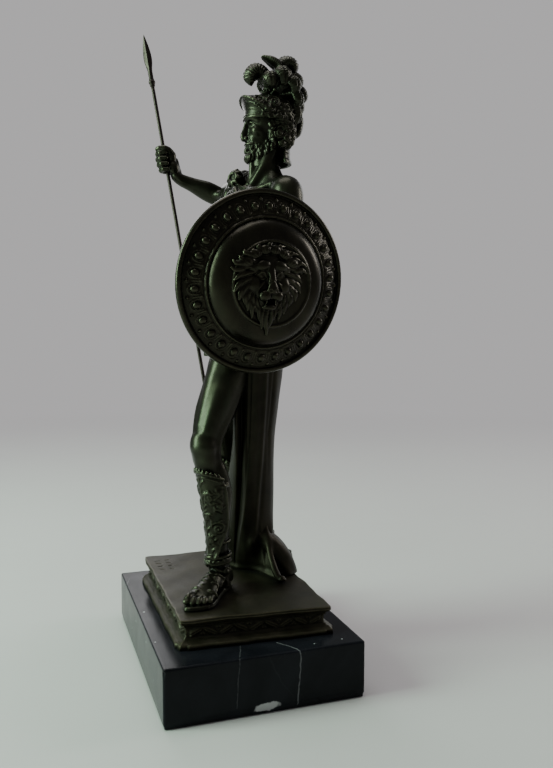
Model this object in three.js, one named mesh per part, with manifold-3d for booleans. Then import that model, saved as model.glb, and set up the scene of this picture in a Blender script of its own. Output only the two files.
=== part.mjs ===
// Statuette of a classical warrior standing on a moulded bronze plinth on a black marble block.
// Millimetres, +Z up. The figure looks towards -Y, its left is +X.
// Origin: centre of the underside of the marble block.
import * as THREE from 'three';
import { mergeVertices } from 'three/addons/utils/BufferGeometryUtils.js';
import Module from 'manifold-3d';

const wasm = await Module();
wasm.setup();
const { Manifold, Mesh } = wasm;

// ---------------------------------------------------------------- driving dimensions
const MARBLE = { x: 172, y: 120, z: 34, chamfer: 1.3 };
const PLINTH = { x: 129, y: 92, z0: 34, top: 51.2 };
const GAP = 0.3;                       // clearance between separate castings
const FLOOR = PLINTH.top + GAP;        // level on which the soles and the hem stand
const SOLE = 3;                        // sandal sole thickness
const SHIELD = { c: [50.4, 7.9, 244.4], r: 54.6, tilt: -6.8, turn: 8.4, tongues: 30 };
const SPEAR = { butt: [-50, 18.5, 51.5], grip: [-85, -23.7, 340.2], tipZ: 435, r: 1.35 };
const HEAD = { c: [0, 28.5, 349], turn: -2 };
const BUDGET = { warrior: 6100, shield: 2000, plinth: 1150 };   // facets kept on the carved pieces

const DEG = Math.PI / 180;
const V = (x, y, z) => new THREE.Vector3(x, y, z);
const lerp = THREE.MathUtils.lerp;
const smooth = (x, a, b) => THREE.MathUtils.smoothstep(x, a, b);

// ---------------------------------------------------------------- solids
function solid(geometry) {
  const g = geometry.clone();
  g.deleteAttribute('normal');
  g.deleteAttribute('uv');
  const m = mergeVertices(g, 1e-4);
  return new Manifold(new Mesh({
    numProp: 3,
    vertProperties: new Float32Array(m.attributes.position.array),
    triVerts: new Uint32Array(m.index.array),
  }));
}

function geometryOf(man) {
  const mesh = man.getMesh();
  const g = new THREE.BufferGeometry();
  g.setAttribute('position', new THREE.BufferAttribute(new Float32Array(mesh.vertProperties), 3));
  g.setIndex(new THREE.BufferAttribute(new Uint32Array(mesh.triVerts), 1));
  g.computeVertexNormals();
  return g;
}

const join = (list) => list.map((g) => (g.isBufferGeometry ? solid(g) : g)).reduce((a, b) => a.add(b));

// Facet thinning by edge collapse: each vertex carries the sum of its facets' squared-distance
// forms, the cheapest edge goes first, and the surface stays one closed body throughout.
function thin(geometry, target) {
  const g = geometry.clone();
  g.deleteAttribute('normal');
  const m = mergeVertices(g, 1e-5), P = Array.from(m.attributes.position.array), F = [];
  for (let i = 0; i < m.index.count; i += 3) F.push([m.index.getX(i), m.index.getX(i + 1), m.index.getX(i + 2)]);
  const n = P.length / 3, Q = Array.from({ length: n }, () => new Float64Array(10)), at = Array.from({ length: n }, () => new Set());
  const normal = (a, b, c) => {
    const ux = P[3 * b] - P[3 * a], uy = P[3 * b + 1] - P[3 * a + 1], uz = P[3 * b + 2] - P[3 * a + 2];
    const vx = P[3 * c] - P[3 * a], vy = P[3 * c + 1] - P[3 * a + 1], vz = P[3 * c + 2] - P[3 * a + 2];
    return [uy * vz - uz * vy, uz * vx - ux * vz, ux * vy - uy * vx];
  };
  F.forEach((f, i) => {
    const k = normal(...f), l = Math.hypot(...k);
    f.forEach((v) => at[v].add(i));
    if (l < 1e-12) return;
    const [x, y, z] = k.map((s) => s / l), d = -(x * P[3 * f[0]] + y * P[3 * f[0] + 1] + z * P[3 * f[0] + 2]), w = l / 2 + 1e-3;
    const q = [x * x, x * y, x * z, x * d, y * y, y * z, y * d, z * z, z * d, d * d];
    for (const v of f) q.forEach((s, j) => { Q[v][j] += w * s; });
  });
  const err = (q, x, y, z) => q[0] * x * x + 2 * q[1] * x * y + 2 * q[2] * x * z + 2 * q[3] * x + q[4] * y * y + 2 * q[5] * y * z + 2 * q[6] * y + q[7] * z * z + 2 * q[8] * z + q[9];
  const best = (a, b) => {
    const q = Q[a].map((s, j) => s + Q[b][j]);
    const A = new THREE.Matrix3().set(q[0], q[1], q[2], q[1], q[4], q[5], q[2], q[5], q[7]);
    const pa = [P[3 * a], P[3 * a + 1], P[3 * a + 2]], pb = [P[3 * b], P[3 * b + 1], P[3 * b + 2]];
    const mid = pa.map((s, j) => (s + pb[j]) / 2), len = Math.hypot(...pa.map((s, j) => s - pb[j]));
    const options = [pa, pb, mid], trace = q[0] + q[4] + q[7];
    if (Math.abs(A.determinant()) > 1e-4 * trace ** 3) {
      const p = V(-q[3], -q[6], -q[8]).applyMatrix3(A.invert()).toArray();
      if (Math.hypot(...p.map((s, j) => s - mid[j])) < 1.5 * len) options.unshift(p);
    }
    let out = null;
    for (const p of options) { const e = err(q, ...p) + 1e-5 * len * len; if (!out || e < out.e) out = { e, p }; }
    return out;
  };
  const heap = [], stamp = new Uint32Array(n);
  const push = (item) => {
    let i = heap.push(item) - 1;
    while (i > 0) { const p = (i - 1) >> 1; if (heap[p].e <= heap[i].e) break; [heap[p], heap[i]] = [heap[i], heap[p]]; i = p; }
  };
  const pop = () => {
    const top = heap[0], last = heap.pop();
    if (heap.length) {
      heap[0] = last;
      for (let i = 0; ;) {
        let c = 2 * i + 1;
        if (c >= heap.length) break;
        if (c + 1 < heap.length && heap[c + 1].e < heap[c].e) c++;
        if (heap[i].e <= heap[c].e) break;
        [heap[i], heap[c]] = [heap[c], heap[i]]; i = c;
      }
    }
    return top;
  };
  const ring = (v) => { const s = new Set(); for (const f of at[v]) for (const w of F[f]) if (w !== v) s.add(w); return s; };
  const offer = (a, b) => push({ ...best(a, b), a, b, s: stamp[a], t: stamp[b] });
  for (let v = 0; v < n; v++) for (const w of ring(v)) if (v < w) offer(v, w);
  let left = F.length;
  while (left > target && heap.length) {
    const { a, b, s, t, p } = pop();
    if (s !== stamp[a] || t !== stamp[b] || !at[a].size || !at[b].size) continue;
    const ra = ring(a), rb = ring(b);
    let shared = 0;
    for (const w of ra) if (rb.has(w)) shared++;
    if (shared !== 2) continue;
    let fine = true;
    for (const [v, other] of [[a, b], [b, a]]) {
      for (const f of at[v]) {
        if (F[f].includes(other)) continue;
        const before = normal(...F[f]), old = [P[3 * v], P[3 * v + 1], P[3 * v + 2]];
        P[3 * v] = p[0]; P[3 * v + 1] = p[1]; P[3 * v + 2] = p[2];
        const after = normal(...F[f]);
        P[3 * v] = old[0]; P[3 * v + 1] = old[1]; P[3 * v + 2] = old[2];
        const lb = Math.hypot(...before), la = Math.hypot(...after), dot = before[0] * after[0] + before[1] * after[1] + before[2] * after[2];
        if (la < 1e-3 || (lb > 1e-6 && dot < 0.35 * lb * la)) { fine = false; break; }
      }
      if (!fine) break;
    }
    if (!fine) continue;
    for (const f of [...at[b]]) {
      if (F[f].includes(a)) { for (const w of F[f]) at[w].delete(f); F[f] = null; left--; } else { F[f] = F[f].map((w) => (w === b ? a : w)); at[a].add(f); }
    }
    at[b].clear();
    P[3 * a] = p[0]; P[3 * a + 1] = p[1]; P[3 * a + 2] = p[2];
    Q[b].forEach((s2, j) => { Q[a][j] += s2; });
    stamp[b]++;
    stamp[a]++;
    for (const w of ring(a)) offer(a, w);
  }
  const out = new THREE.BufferGeometry(), keep = new Map(), pos = [], idx = [];
  for (const f of F) if (f) for (const v of f) {
    if (!keep.has(v)) { keep.set(v, pos.length / 3); pos.push(P[3 * v], P[3 * v + 1], P[3 * v + 2]); }
    idx.push(keep.get(v));
  }
  out.setAttribute('position', new THREE.Float32BufferAttribute(pos, 3));
  out.setIndex(idx);
  return out;
}

// closed loft through rings of equal point count, ends closed by fans
function loft(rings) {
  const n = rings[0].length, m = rings.length, pos = [], idx = [];
  for (const ring of rings) for (const p of ring) pos.push(p.x, p.y, p.z);
  for (const ring of [rings[0], rings[m - 1]]) {
    const c = V(0, 0, 0);
    for (const p of ring) c.addScaledVector(p, 1 / n);
    pos.push(c.x, c.y, c.z);
  }
  for (let i = 0; i < m - 1; i++) {
    for (let j = 0; j < n; j++) {
      const k = (j + 1) % n, a = i * n + j, b = i * n + k, c = a + n, d = b + n;
      idx.push(a, b, d, a, d, c);
    }
  }
  for (let j = 0; j < n; j++) {
    const k = (j + 1) % n;
    idx.push(m * n, k, j, m * n + 1, (m - 1) * n + j, (m - 1) * n + k);
  }
  let vol = 0;
  const at = (i) => V(pos[3 * i], pos[3 * i + 1], pos[3 * i + 2]);
  for (let i = 0; i < idx.length; i += 3) vol += at(idx[i]).dot(at(idx[i + 1]).cross(at(idx[i + 2])));
  if (vol < 0) for (let i = 0; i < idx.length; i += 3) [idx[i], idx[i + 1]] = [idx[i + 1], idx[i]];
  const g = new THREE.BufferGeometry();
  g.setAttribute('position', new THREE.Float32BufferAttribute(pos, 3));
  g.setIndex(idx);
  return g;
}

// limb: stations [x, y, z, half width, half depth], swept along a smooth curve;
// `across` is the direction in which the half width is measured
function limb(stations, { sides = 14, steps = 3, across = [1, 0, 0], shape = null } = {}) {
  const path = new THREE.CatmullRomCurve3(stations.map((s) => V(s[0], s[1], s[2])));
  const size = new THREE.CatmullRomCurve3(stations.map((s) => V(s[3], s[4], 0)));
  const count = (stations.length - 1) * steps, rings = [];
  for (let i = 0; i <= count; i++) {
    const t = i / count, c = path.getPoint(t), k = path.getTangent(t).normalize(), r = size.getPoint(t);
    const u = V(...across).addScaledVector(k, -V(...across).dot(k)).normalize();
    const v = k.clone().cross(u);
    const ring = [];
    for (let j = 0; j < sides; j++) {
      const q = (2 * Math.PI * j) / sides, f = shape ? shape(t, q) : 1;
      ring.push(c.clone().addScaledVector(u, r.x * f * Math.cos(q)).addScaledVector(v, r.y * f * Math.sin(q)));
    }
    rings.push(ring);
  }
  return loft(rings);
}

function blob([x, y, z], [a, b, c], { w = 10, h = 7, rx = 0, ry = 0, rz = 0 } = {}) {
  const g = new THREE.SphereGeometry(1, w, h);
  g.scale(a, b, c);
  g.rotateX(rx * DEG); g.rotateY(ry * DEG); g.rotateZ(rz * DEG);
  g.translate(x, y, z);
  return g;
}

// ---------------------------------------------------------------- marble block
function marble() {
  const { x, y, z, chamfer: c } = MARBLE;
  const ring = (ix, h) => [[-1, -1], [1, -1], [1, 1], [-1, 1]].flatMap(([sx, sy]) => {
    const px = sx * (x / 2 - ix), py = sy * (y / 2 - ix);
    const a = V(px - sx * c, py, h), b = V(px, py - sy * c, h);
    return sx * sy > 0 ? [b, a] : [a, b];
  });
  return loft([ring(0.6, 0), ring(0, 0.6), ring(0, z - c), ring(c, z)]);
}

// ---------------------------------------------------------------- plinth
// moulding profile from the foot up: [inset from the top slab's edge, height]
const PLINTH_PROFILE = [
  [-2, 34], [-2, 36.6], [-0.4, 37.3], [1.2, 38.4], [2.6, 39.1], [2.6, 39.8], [3.7, 39.9],
  [3.7, 45.4], [2.9, 45.6], [2.9, 46.3], [2.0, 47.5], [0.9, 48.5], [0.9, 49.0],
  [0, 49.1], [0, 50.0], [0.5, 50.2], [0.1, 50.4], [0.1, 50.9], [0.5, 51.2],
];

function plinth() {
  const hx = PLINTH.x / 2, hy = PLINTH.y / 2;
  const rings = PLINTH_PROFILE.map(([i, z]) => [V(-hx + i, -hy + i, z), V(hx - i, -hy + i, z), V(hx - i, hy - i, z), V(-hx + i, hy - i, z)]);
  const parts = [loft(rings)];
  // frieze: a running row of leaves leaning to and fro on each of the four sides
  const fx = hx - 3.7, fy = hy - 3.7, zc = 42.6, pitch = 9.2;
  for (const [len, at, turn] of [[2 * fx, fy, 0], [2 * fy, fx, 90], [2 * fx, fy, 180], [2 * fy, fx, 270]]) {
    const n = Math.floor((len - 5) / pitch);
    for (let k = 0; k < n; k++) {
      const s = (k - (n - 1) / 2) * pitch, up = k % 2 ? 1 : -1;
      const leaf = new THREE.OctahedronGeometry(1);
      leaf.scale(5.0, 0.95, 1.5);
      leaf.rotateY(-up * 27 * DEG);
      leaf.translate(s, -at - 0.02, zc);
      leaf.rotateZ(turn * DEG);
      parts.push(leaf);
    }
  }
  let p = join(parts);
  // two short rows of shallow slanting strokes near the figure's right front corner of the top
  for (let row = 0; row < 2; row++) {
    for (let k = 0; k < 4; k++) {
      const s = new THREE.BoxGeometry(0.7, row ? 3.4 : 4.4, 1.2);
      s.rotateZ((k % 2 ? -24 : 12) * DEG);
      s.translate(-51 + 6.4 * k, -38.5 + 7 * row, PLINTH.top + 0.2);
      p = p.subtract(solid(s));
    }
  }
  return p;
}

// ---------------------------------------------------------------- spear
const spearLine = (z) => {
  const [bx, by, bz] = SPEAR.butt, [gx, gy, gz] = SPEAR.grip, t = (z - bz) / (gz - bz);
  return [lerp(bx, gx, t), lerp(by, gy, t), z];
};

function spear() {
  // [height, half width, half thickness] up the shaft, over the socket collar to the leaf blade
  const b = SPEAR.butt[2], t = SPEAR.tipZ, s = SPEAR.r;
  const rows = [
    [b, s, s], [b + 150, s, s], [t - 31.5, s, s],
    [t - 31, 2.1, 2.1], [t - 29.4, 2.5, 2.5], [t - 27.8, 2.1, 2.1], [t - 27.3, 1.5, 1.5], [t - 22, 1.5, 1.4],
    [t - 19, 2.2, 1.25], [t - 15, 3.0, 1.15], [t - 10, 2.3, 0.95], [t - 5, 1.35, 0.7], [t, 0.25, 0.2],
  ];
  const along = V(...spearLine(400)).sub(V(...spearLine(100))).normalize();
  const u = V(0.33, 0.94, 0).addScaledVector(along, -V(0.33, 0.94, 0).dot(along)).normalize();
  const v = along.clone().cross(u);
  return loft(rows.map(([z, a, c], i) => {
    const blade = i >= 8, ring = [], p = V(...spearLine(z));
    for (let j = 0; j < 8; j++) {
      const q = (2 * Math.PI * j) / 8, k = blade && j % 2 ? 0.62 : 1;   // lozenge section on the blade
      const d = p.clone().addScaledVector(u, a * k * Math.cos(q)).addScaledVector(v, c * k * Math.sin(q));
      if (i === 0) d.z = b;                                             // butt cut level with the plinth
      ring.push(d);
    }
    return ring;
  }));
}

const spearClearance = () => {
  const g = new THREE.CylinderGeometry(SPEAR.r + GAP + 0.1, SPEAR.r + GAP + 0.1, 420, 8);
  const a = V(...spearLine(40)), b = V(...spearLine(440));
  g.applyQuaternion(new THREE.Quaternion().setFromUnitVectors(V(0, 1, 0), b.clone().sub(a).normalize()));
  const m = a.add(b).multiplyScalar(0.5);
  g.translate(m.x, m.y, m.z);
  return g;
};

// ---------------------------------------------------------------- shield
// local frame: +Z is the outward normal, +Y is up on the face
const shieldMatrix = () => {
  const ct = Math.cos(SHIELD.tilt * DEG), n = V(ct * Math.cos(SHIELD.turn * DEG), ct * Math.sin(SHIELD.turn * DEG), Math.sin(SHIELD.tilt * DEG));
  const x = V(0, 0, 1).cross(n).normalize();
  const m = new THREE.Matrix4().makeBasis(x, n.clone().cross(x), n);
  m.setPosition(...SHIELD.c);
  return m;
};
const SHIELD_FRONT = [[0, 12.9], [14, 12.4], [23.4, 11.4], [24.4, 12.1], [25.6, 10.95], [29, 10.2], [32, 9.1], [34.4, 7.6], [36.2, 5.9], [37.3, 4.8], [38.4, 5.4], [39.2, 4.1], [50.8, -0.4], [51.6, 0.9], [53.2, 1.1], [54.6, -0.4]];
const SHIELD_BACK = [[54.0, -2.3], [51, -2.8], [45, -0.8], [39, 1.2], [36, 2.6], [32, 5.6], [20, 9.0], [0, 10.5]];

function shieldSkin(front, back, segments) {
  return new THREE.LatheGeometry([...back].reverse().concat([...front].reverse()).map(([r, z]) => new THREE.Vector2(r, z)), segments).rotateX(Math.PI / 2);
}

function lionMask() {
  const p = [], k = 1.5;
  const o = (c, s, opt) => p.push(blob([c[0] * k - 3, c[1] * k - 0.6, c[2] + 1.6], [s[0] * k, s[1] * k, s[2]], opt));
  o([0, 0, 10.6], [10.4, 13.4, 3.8], { w: 14, h: 8 });                 // face mass
  for (let i = 0; i < 16; i++) {                                       // mane locks
    const q = (i / 16) * 2 * Math.PI, low = q > Math.PI ? 1.12 : 1, r = 12.2 + 1.2 * (i % 2);
    o([r * 0.84 * Math.cos(q), r * low * Math.sin(q), 10.4], [4.0, 1.8, 2.1], { w: 6, h: 4, rz: (q / DEG) + (i % 2 ? 16 : -12) });
  }
  for (const s of [-1, 1]) {
    o([s * 3.7, 5.0, 13.6], [3.4, 1.7, 2.2], { w: 8, h: 5, rz: s * 16 });   // brow
    o([s * 5.6, -1.2, 12.8], [2.7, 3.4, 2.4], { w: 8, h: 5 });              // cheek
    o([s * 2.2, -4.8, 14.2], [2.5, 2.2, 2.6], { w: 8, h: 5 });              // whisker pad
    o([s * 8.2, 9.4, 11.4], [2.4, 2.4, 2.2], { w: 7, h: 5 });               // ear
  }
  o([0, 1.2, 14.4], [1.7, 5.4, 2.6], { w: 8, h: 6 });                   // bridge of the nose
  o([0, -2.8, 15.8], [2.1, 1.4, 1.8], { w: 8, h: 5 });                  // nose pad
  o([0, -9.0, 13.0], [2.8, 1.8, 2.2], { w: 8, h: 5 });                  // lower jaw
  o([0, -14.6, 11.2], [2.0, 4.6, 2.2], { w: 6, h: 5 });                 // beard lock
  return p;
}

function shield() {
  const parts = [solid(shieldSkin(SHIELD_FRONT, SHIELD_BACK, 40))];
  for (let k = 0; k < SHIELD.tongues; k++) {
    const q = (k / SHIELD.tongues) * 2 * Math.PI;
    parts.push(solid(blob([44.6 * Math.cos(q), 44.6 * Math.sin(q), 2.3], [3.6, 2.7, 1.5], { w: 6, h: 4, rz: q / DEG })));
  }
  parts.push(...lionMask().map(solid));
  let s = solid(thin(geometryOf(join(parts)), BUDGET.shield));
  // arm band: a flat strap standing off the hollow of the shield, its feet inside the skin
  const band = new THREE.Shape();
  [[-14, 10.6], [-11.4, -11], [11.4, -11], [14, 10.6], [11.8, 10.6], [9.6, -9.4], [-9.6, -9.4], [-11.8, 10.6]].forEach(([a, b], i) => (i ? band.lineTo(a, b) : band.moveTo(a, b)));
  const g = new THREE.ExtrudeGeometry(band, { depth: 8, bevelEnabled: false });
  g.translate(0, 0, -4); g.rotateX(Math.PI / 2); g.rotateZ(Math.PI / 2);
  g.translate(9, 0, 0);
  s = s.add(solid(g));
  return s.transform(shieldMatrix().toArray());
}

// ---------------------------------------------------------------- legs and feet
const LEFT_LEG = [
  [13, 12, 226, 15, 16.5], [15, 7.4, 212, 15.2, 16.2], [18.5, -3.2, 192, 14.2, 14.4], [22.5, -13.2, 169, 11.6, 12.2],
  [25.6, -20.6, 150, 9.6, 9.2], [26.2, -21.6, 141, 9.0, 8.6], [26.2, -18.6, 130, 8.7, 8.3], [25.6, -15.2, 115, 9.0, 9.2],
  [24.6, -13.4, 98, 7.8, 8.0], [23.9, -13.0, 82, 6.0, 6.6], [23.4, -13.0, 70, 5.7, 6.6], [22.9, -11.9, 62, 6.2, 7.4], [22.9, -11.9, 56, 6.2, 7.6],
];
const RIGHT_LEG = [
  [-13, 14, 226, 15, 16.5], [-14.4, 12.4, 212, 15.2, 16.2], [-15.4, 8.2, 190, 14, 14.6], [-16.2, 4.8, 166, 11.8, 12.4],
  [-16.4, 3.2, 148, 9.8, 9.4], [-16.4, 3.6, 140, 9.2, 8.8], [-16.4, 7.0, 129, 9.1, 9.0], [-16.4, 13.6, 113, 9.6, 10],
  [-16.2, 20.4, 97, 8.3, 8.6], [-15.6, 26.4, 82, 6.3, 6.7], [-14.6, 30.8, 70, 5.9, 6.4], [-13.8, 33.4, 62, 6.2, 7.2], [-13.6, 34.2, 56, 6.2, 7.6],
];
// cut-away prism in front of the calf that leaves the greave standing proud of the shin
function greave(leg, front) {
  const shin = leg.slice(5, 11).map(([x, y, z, a, b]) => [x, y, z, a + 1.3, b + 1.3]);
  const shell = solid(limb(shin, { sides: 16, steps: 2 }));
  const a = leg[5], b = leg[10], mid = V((a[0] + b[0]) / 2, (a[1] + b[1]) / 2, (a[2] + b[2]) / 2);
  const box = new THREE.BoxGeometry(40, 40, 90);
  box.translate(0, -20 + 1.6, 0);
  box.rotateX(Math.atan2(b[1] - a[1], a[2] - b[2]));
  box.rotateZ(front * DEG);
  box.translate(mid.x, mid.y, mid.z);
  // the upper edge rises to a point over the knee and slopes back to the calf strap
  const slope = new THREE.BoxGeometry(60, 90, 40);
  slope.translate(0, 0, 20);
  slope.rotateX(-24 * DEG); slope.rotateZ(front * DEG);
  slope.translate(a[0], a[1], a[2] - 6);
  return shell.intersect(solid(box)).subtract(solid(slope));
}
// spiral of relief wire lying on the greave, centre given as angle round the shin and height
function scroll(leg, q0, z0, size, turns, wire) {
  const at = (z) => {
    for (let i = 0; i < leg.length - 1; i++) {
      if (z <= leg[i][2] && z >= leg[i + 1][2]) {
        const t = (leg[i][2] - z) / (leg[i][2] - leg[i + 1][2]);
        return leg[i].map((v, k) => lerp(v, leg[i + 1][k], t));
      }
    }
    return leg[leg.length - 1];
  };
  const pts = [], n = 9;
  for (let i = 0; i < n; i++) {
    const t = i / (n - 1), w = turns * 2 * Math.PI * t, rad = size * (0.22 + 0.78 * t);
    const z = z0 + rad * Math.sin(w), [cx, cy, , a, b] = at(z), q = q0 + (rad * Math.cos(w)) / (a + 1.3);
    pts.push([cx + (a + 1.2) * Math.cos(q), cy + (b + 1.2) * Math.sin(q), z, wire, wire]);
  }
  return limb(pts, { sides: 4, steps: 1, across: [0, 0.3, 1] });
}

// outline of a sandal sole, heel at the origin, toes towards +X; side +1 puts the big toe on +Y
function sole(side) {
  const s = new THREE.Shape();
  const p = [[-6.2, 0], [-4.6, 4.6], [4, 5.4], [14, 4.6 + side * 0.6], [25, 7.2 + side * 0.4], [33, 8.2 + side * 0.5], [39.5, side > 0 ? 6.8 : 3.6], [41, 1.5 * side], [38.6, side > 0 ? -4.2 : -6.8], [31, -8.0 + side * 0.5], [22, -7.0 + side * 0.4], [12, -5.0 + side * 0.6], [2, -5.4], [-4.6, -4.6]];
  s.setFromPoints(p.map(([x, y]) => new THREE.Vector2(x, y)));
  return new THREE.ExtrudeGeometry(s, { depth: SOLE, bevelEnabled: false, curveSegments: 1 });
}

// foot in a sandal: heel at (x, y), pointing along heading (degrees), side +1 big toe on the left of travel
function foot(x, y, heading, side) {
  const parts = [sole(side)];
  parts.push(limb([[-5, 0, 7.5, 2.6, 3.4], [-2, 0, 8.2, 5.2, 5.4], [5, 0, 9.6, 5.8, 6.4], [13, 0.4 * side, 8.6, 5.9, 5.6], [22, 0.8 * side, 6.8, 6.8, 4.0], [31, 0.7 * side, 5.2, 7.4, 2.7], [34.5, 0.5 * side, 4.8, 6.8, 2.2]], { sides: 12, steps: 1, across: [0, 1, 0] }));
  [[37.2, 5.4, 2.3, 3.6], [37.4, 1.6, 1.75, 3.3], [36.2, -1.5, 1.6, 3.1], [34.6, -4.3, 1.5, 2.9], [32.4, -6.6, 1.5, 2.7]].forEach(([tx, ty, w, l]) => {
    parts.push(blob([tx, ty * side, SOLE + w * 0.75], [l, w, w], { w: 6, h: 5 }));
  });
  // instep strap
  parts.push(limb([[3, 0, 16.2, 2.2, 0.9], [12, 0.4 * side, 13.9, 2.4, 1.1], [21, 0.8 * side, 10.6, 2.6, 1.1], [30, 1.4 * side, 7.4, 2.2, 1.1], [34, 2.6 * side, 5.2, 1.2, 0.9]], { sides: 6, steps: 1, across: [0, 1, 0] }));
  const M = new THREE.Matrix4().makeTranslation(x, y, FLOOR).multiply(new THREE.Matrix4().makeRotationZ(heading * DEG)).multiply(new THREE.Matrix4().makeScale(1.05, 1, 1));
  return join(parts).transform(M.toArray());
}

function legs() {
  const parts = [limb(LEFT_LEG, { sides: 14, steps: 1 }), limb(RIGHT_LEG, { sides: 14, steps: 1 })];
  parts.push(greave(LEFT_LEG, 20), greave(RIGHT_LEG, -14), foot(19.4, -8.6, -39, -1), foot(-10.5, 41, 239, 1));
  parts.push(scroll(LEFT_LEG, -20 * DEG, 120, 4.4, 1.5, 0.75), scroll(LEFT_LEG, -50 * DEG, 106, 4.6, -1.4, 0.75), scroll(LEFT_LEG, -25 * DEG, 93, 3.8, 1.4, 0.7));
  parts.push(scroll(RIGHT_LEG, -150 * DEG, 120, 4.4, 1.5, 0.75), scroll(RIGHT_LEG, -120 * DEG, 105, 4.4, -1.4, 0.75));
  // knee caps and ankle cuffs
  parts.push(blob([27.6, -27.6, 145.5], [4.6, 3.4, 5.4], { w: 8, h: 6 }), blob([-17.0, -3.6, 144], [4.6, 3.4, 5.4], { w: 8, h: 6 }));
  for (const [x, y] of [[23.5, -13.0], [-14.9, 29.8]]) parts.push(limb([[x, y, 75.5, 7.2, 7.7], [x, y, 73.6, 7.9, 8.4], [x, y, 71.6, 7.2, 7.8]], { sides: 12, steps: 1 }));
  parts.push(blob([29.6, -12.6, 66], [1.8, 2.4, 2.4], { w: 6, h: 5 }), blob([-20.4, 32.6, 66], [1.8, 2.4, 2.4], { w: 6, h: 5 }));
  return parts;
}

// ---------------------------------------------------------------- trunk, tunic and arms
const TRUNK = [ // [x, y, z, half width, half depth, turn in degrees, roll in degrees]
  [1, 11, 206, 27, 20, -6, 0], [0.5, 12, 220, 28.5, 19.5, -5, 0], [0, 14.5, 234, 25.5, 17.2, -1, -2], [0, 17.2, 248, 22.6, 15.2, 4, -5],
  [0, 19.8, 262, 24.2, 16.4, 8, -8], [0, 22.2, 277, 27.6, 18.2, 11, -10], [0.4, 24.4, 291, 29.4, 18.6, 13, -11], [0.6, 26.2, 303, 27.6, 16.4, 14, -11.5],
  [0.4, 27.6, 312, 21, 13, 14, -11.5], [0, 28.2, 319, 12, 10.2, 10, -8],
];
function trunkRings(grow, from, to, steps, sides, shape) {
  const path = new THREE.CatmullRomCurve3(TRUNK.map((s) => V(s[0], s[1], s[2])));
  const size = new THREE.CatmullRomCurve3(TRUNK.map((s) => V(s[3], s[4], 0)));
  const turn = new THREE.CatmullRomCurve3(TRUNK.map((s) => V(s[5], s[6], 0)));
  const rings = [];
  for (let i = 0; i <= steps; i++) {
    const t = lerp(from, to, i / steps), c = path.getPoint(t), r = size.getPoint(t), w = turn.getPoint(t);
    const u = V(Math.cos(w.x * DEG) * Math.cos(w.y * DEG), Math.sin(w.x * DEG) * Math.cos(w.y * DEG), Math.sin(w.y * DEG));
    const k = V(0, 0, 1).cross(u).normalize();
    const ring = [];
    for (let j = 0; j < sides; j++) {
      const q = (2 * Math.PI * j) / sides, f = shape ? shape(t, q) : 1, g = typeof grow === 'function' ? grow(t, q) : grow;
      ring.push(c.clone().addScaledVector(u, (r.x + g) * f * Math.cos(q)).addScaledVector(k, (r.y + g) * f * Math.sin(q)));
    }
    rings.push(ring);
  }
  return rings;
}

function trunk() {
  const parts = [];
  // chest swells over the two breast muscles, back has a shallow spine hollow
  parts.push(loft(trunkRings(0, 0, 1, 16, 20, (t, q) => 1 + 0.05 * smooth(t, 0.55, 0.72) * Math.cos(2 * (q + Math.PI / 2)) * (Math.sin(q) < 0 ? -1 : 0) - 0.05 * Math.exp(-((q - Math.PI / 2) ** 2) / 0.05))));
  // tunic pulled into folds below the belt, with a dagged hem
  const skirt = [[0, 16.4, 246, 23.8, 16.4], [0.2, 15.4, 240, 25.8, 18.2], [0.8, 12.6, 228, 30, 22], [1.6, 9.2, 215, 32.6, 25], [2.2, 7.2, 203, 34.4, 27]];
  parts.push(limb(skirt, { sides: 44, steps: 1, across: [1, -0.1, 0], shape: (t, q) => 1 + (0.012 + 0.03 * t) * Math.cos(11 * q) }));
  // belt
  parts.push(limb([[0, 16.2, 243, 24.4, 17], [0, 16.7, 245.4, 25.0, 17.6], [0, 17.2, 248, 24.2, 16.8]], { sides: 20, steps: 1, across: [1, 0.04, 0] }));
  // neck
  parts.push(limb([[0, 29, 312, 15, 12], [0, 27.8, 320, 10.6, 10.2], [-0.2, 26.4, 328, 9.5, 9.7], [-0.4, 25.6, 338, 9.4, 10.4]], { sides: 14, steps: 1 }));
  // slope of the shoulders from the neck to both upper arms
  parts.push(limb([[4, 28.6, 318, 6.4, 6.6], [12, 29.2, 313.6, 7.0, 7.4], [21, 29.8, 309.4, 7.8, 8.4], [29, 30, 305, 8.6, 9.2]], { sides: 12, steps: 1, across: [0, 1, 0] }));
  // shoulders
  parts.push(blob([30, 30, 300.5], [10.6, 10.4, 12.5], { w: 12, h: 8, ry: 20 }));
  parts.push(blob([-30, 20.5, 310.5], [13, 10.4, 10.6], { w: 12, h: 8, ry: 8 }));
  return parts;
}

const LEFT_ARM = [[28, 29.6, 306, 8.5, 9], [31.5, 30, 292, 9, 9.6], [33.6, 28.4, 275, 7.8, 8.8], [35.2, 26, 258, 6.8, 7.6], [35.6, 24, 247, 6.8, 7], [35.8, 14.4, 243.4, 6.8, 6.8], [36, 4, 243, 6.4, 6.4], [36.2, -8, 243, 5.2, 5], [36.4, -17, 243, 4.4, 5]];
const RIGHT_ARM = [[-26, 20, 311, 9.5, 9.5], [-40, 21, 312.2, 8.8, 8.8], [-56, 22, 313, 8.2, 8.4], [-70, 22.8, 313.8, 6.8, 7.2], [-80.4, 22.4, 314.6, 6.7, 6.9], [-84.6, 13.4, 317.8, 6.8, 6.9], [-85, 3, 322.2, 6.2, 6.4], [-85, -8, 327.2, 5, 5.1], [-85, -16.4, 331.4, 4.1, 5]];

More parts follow.
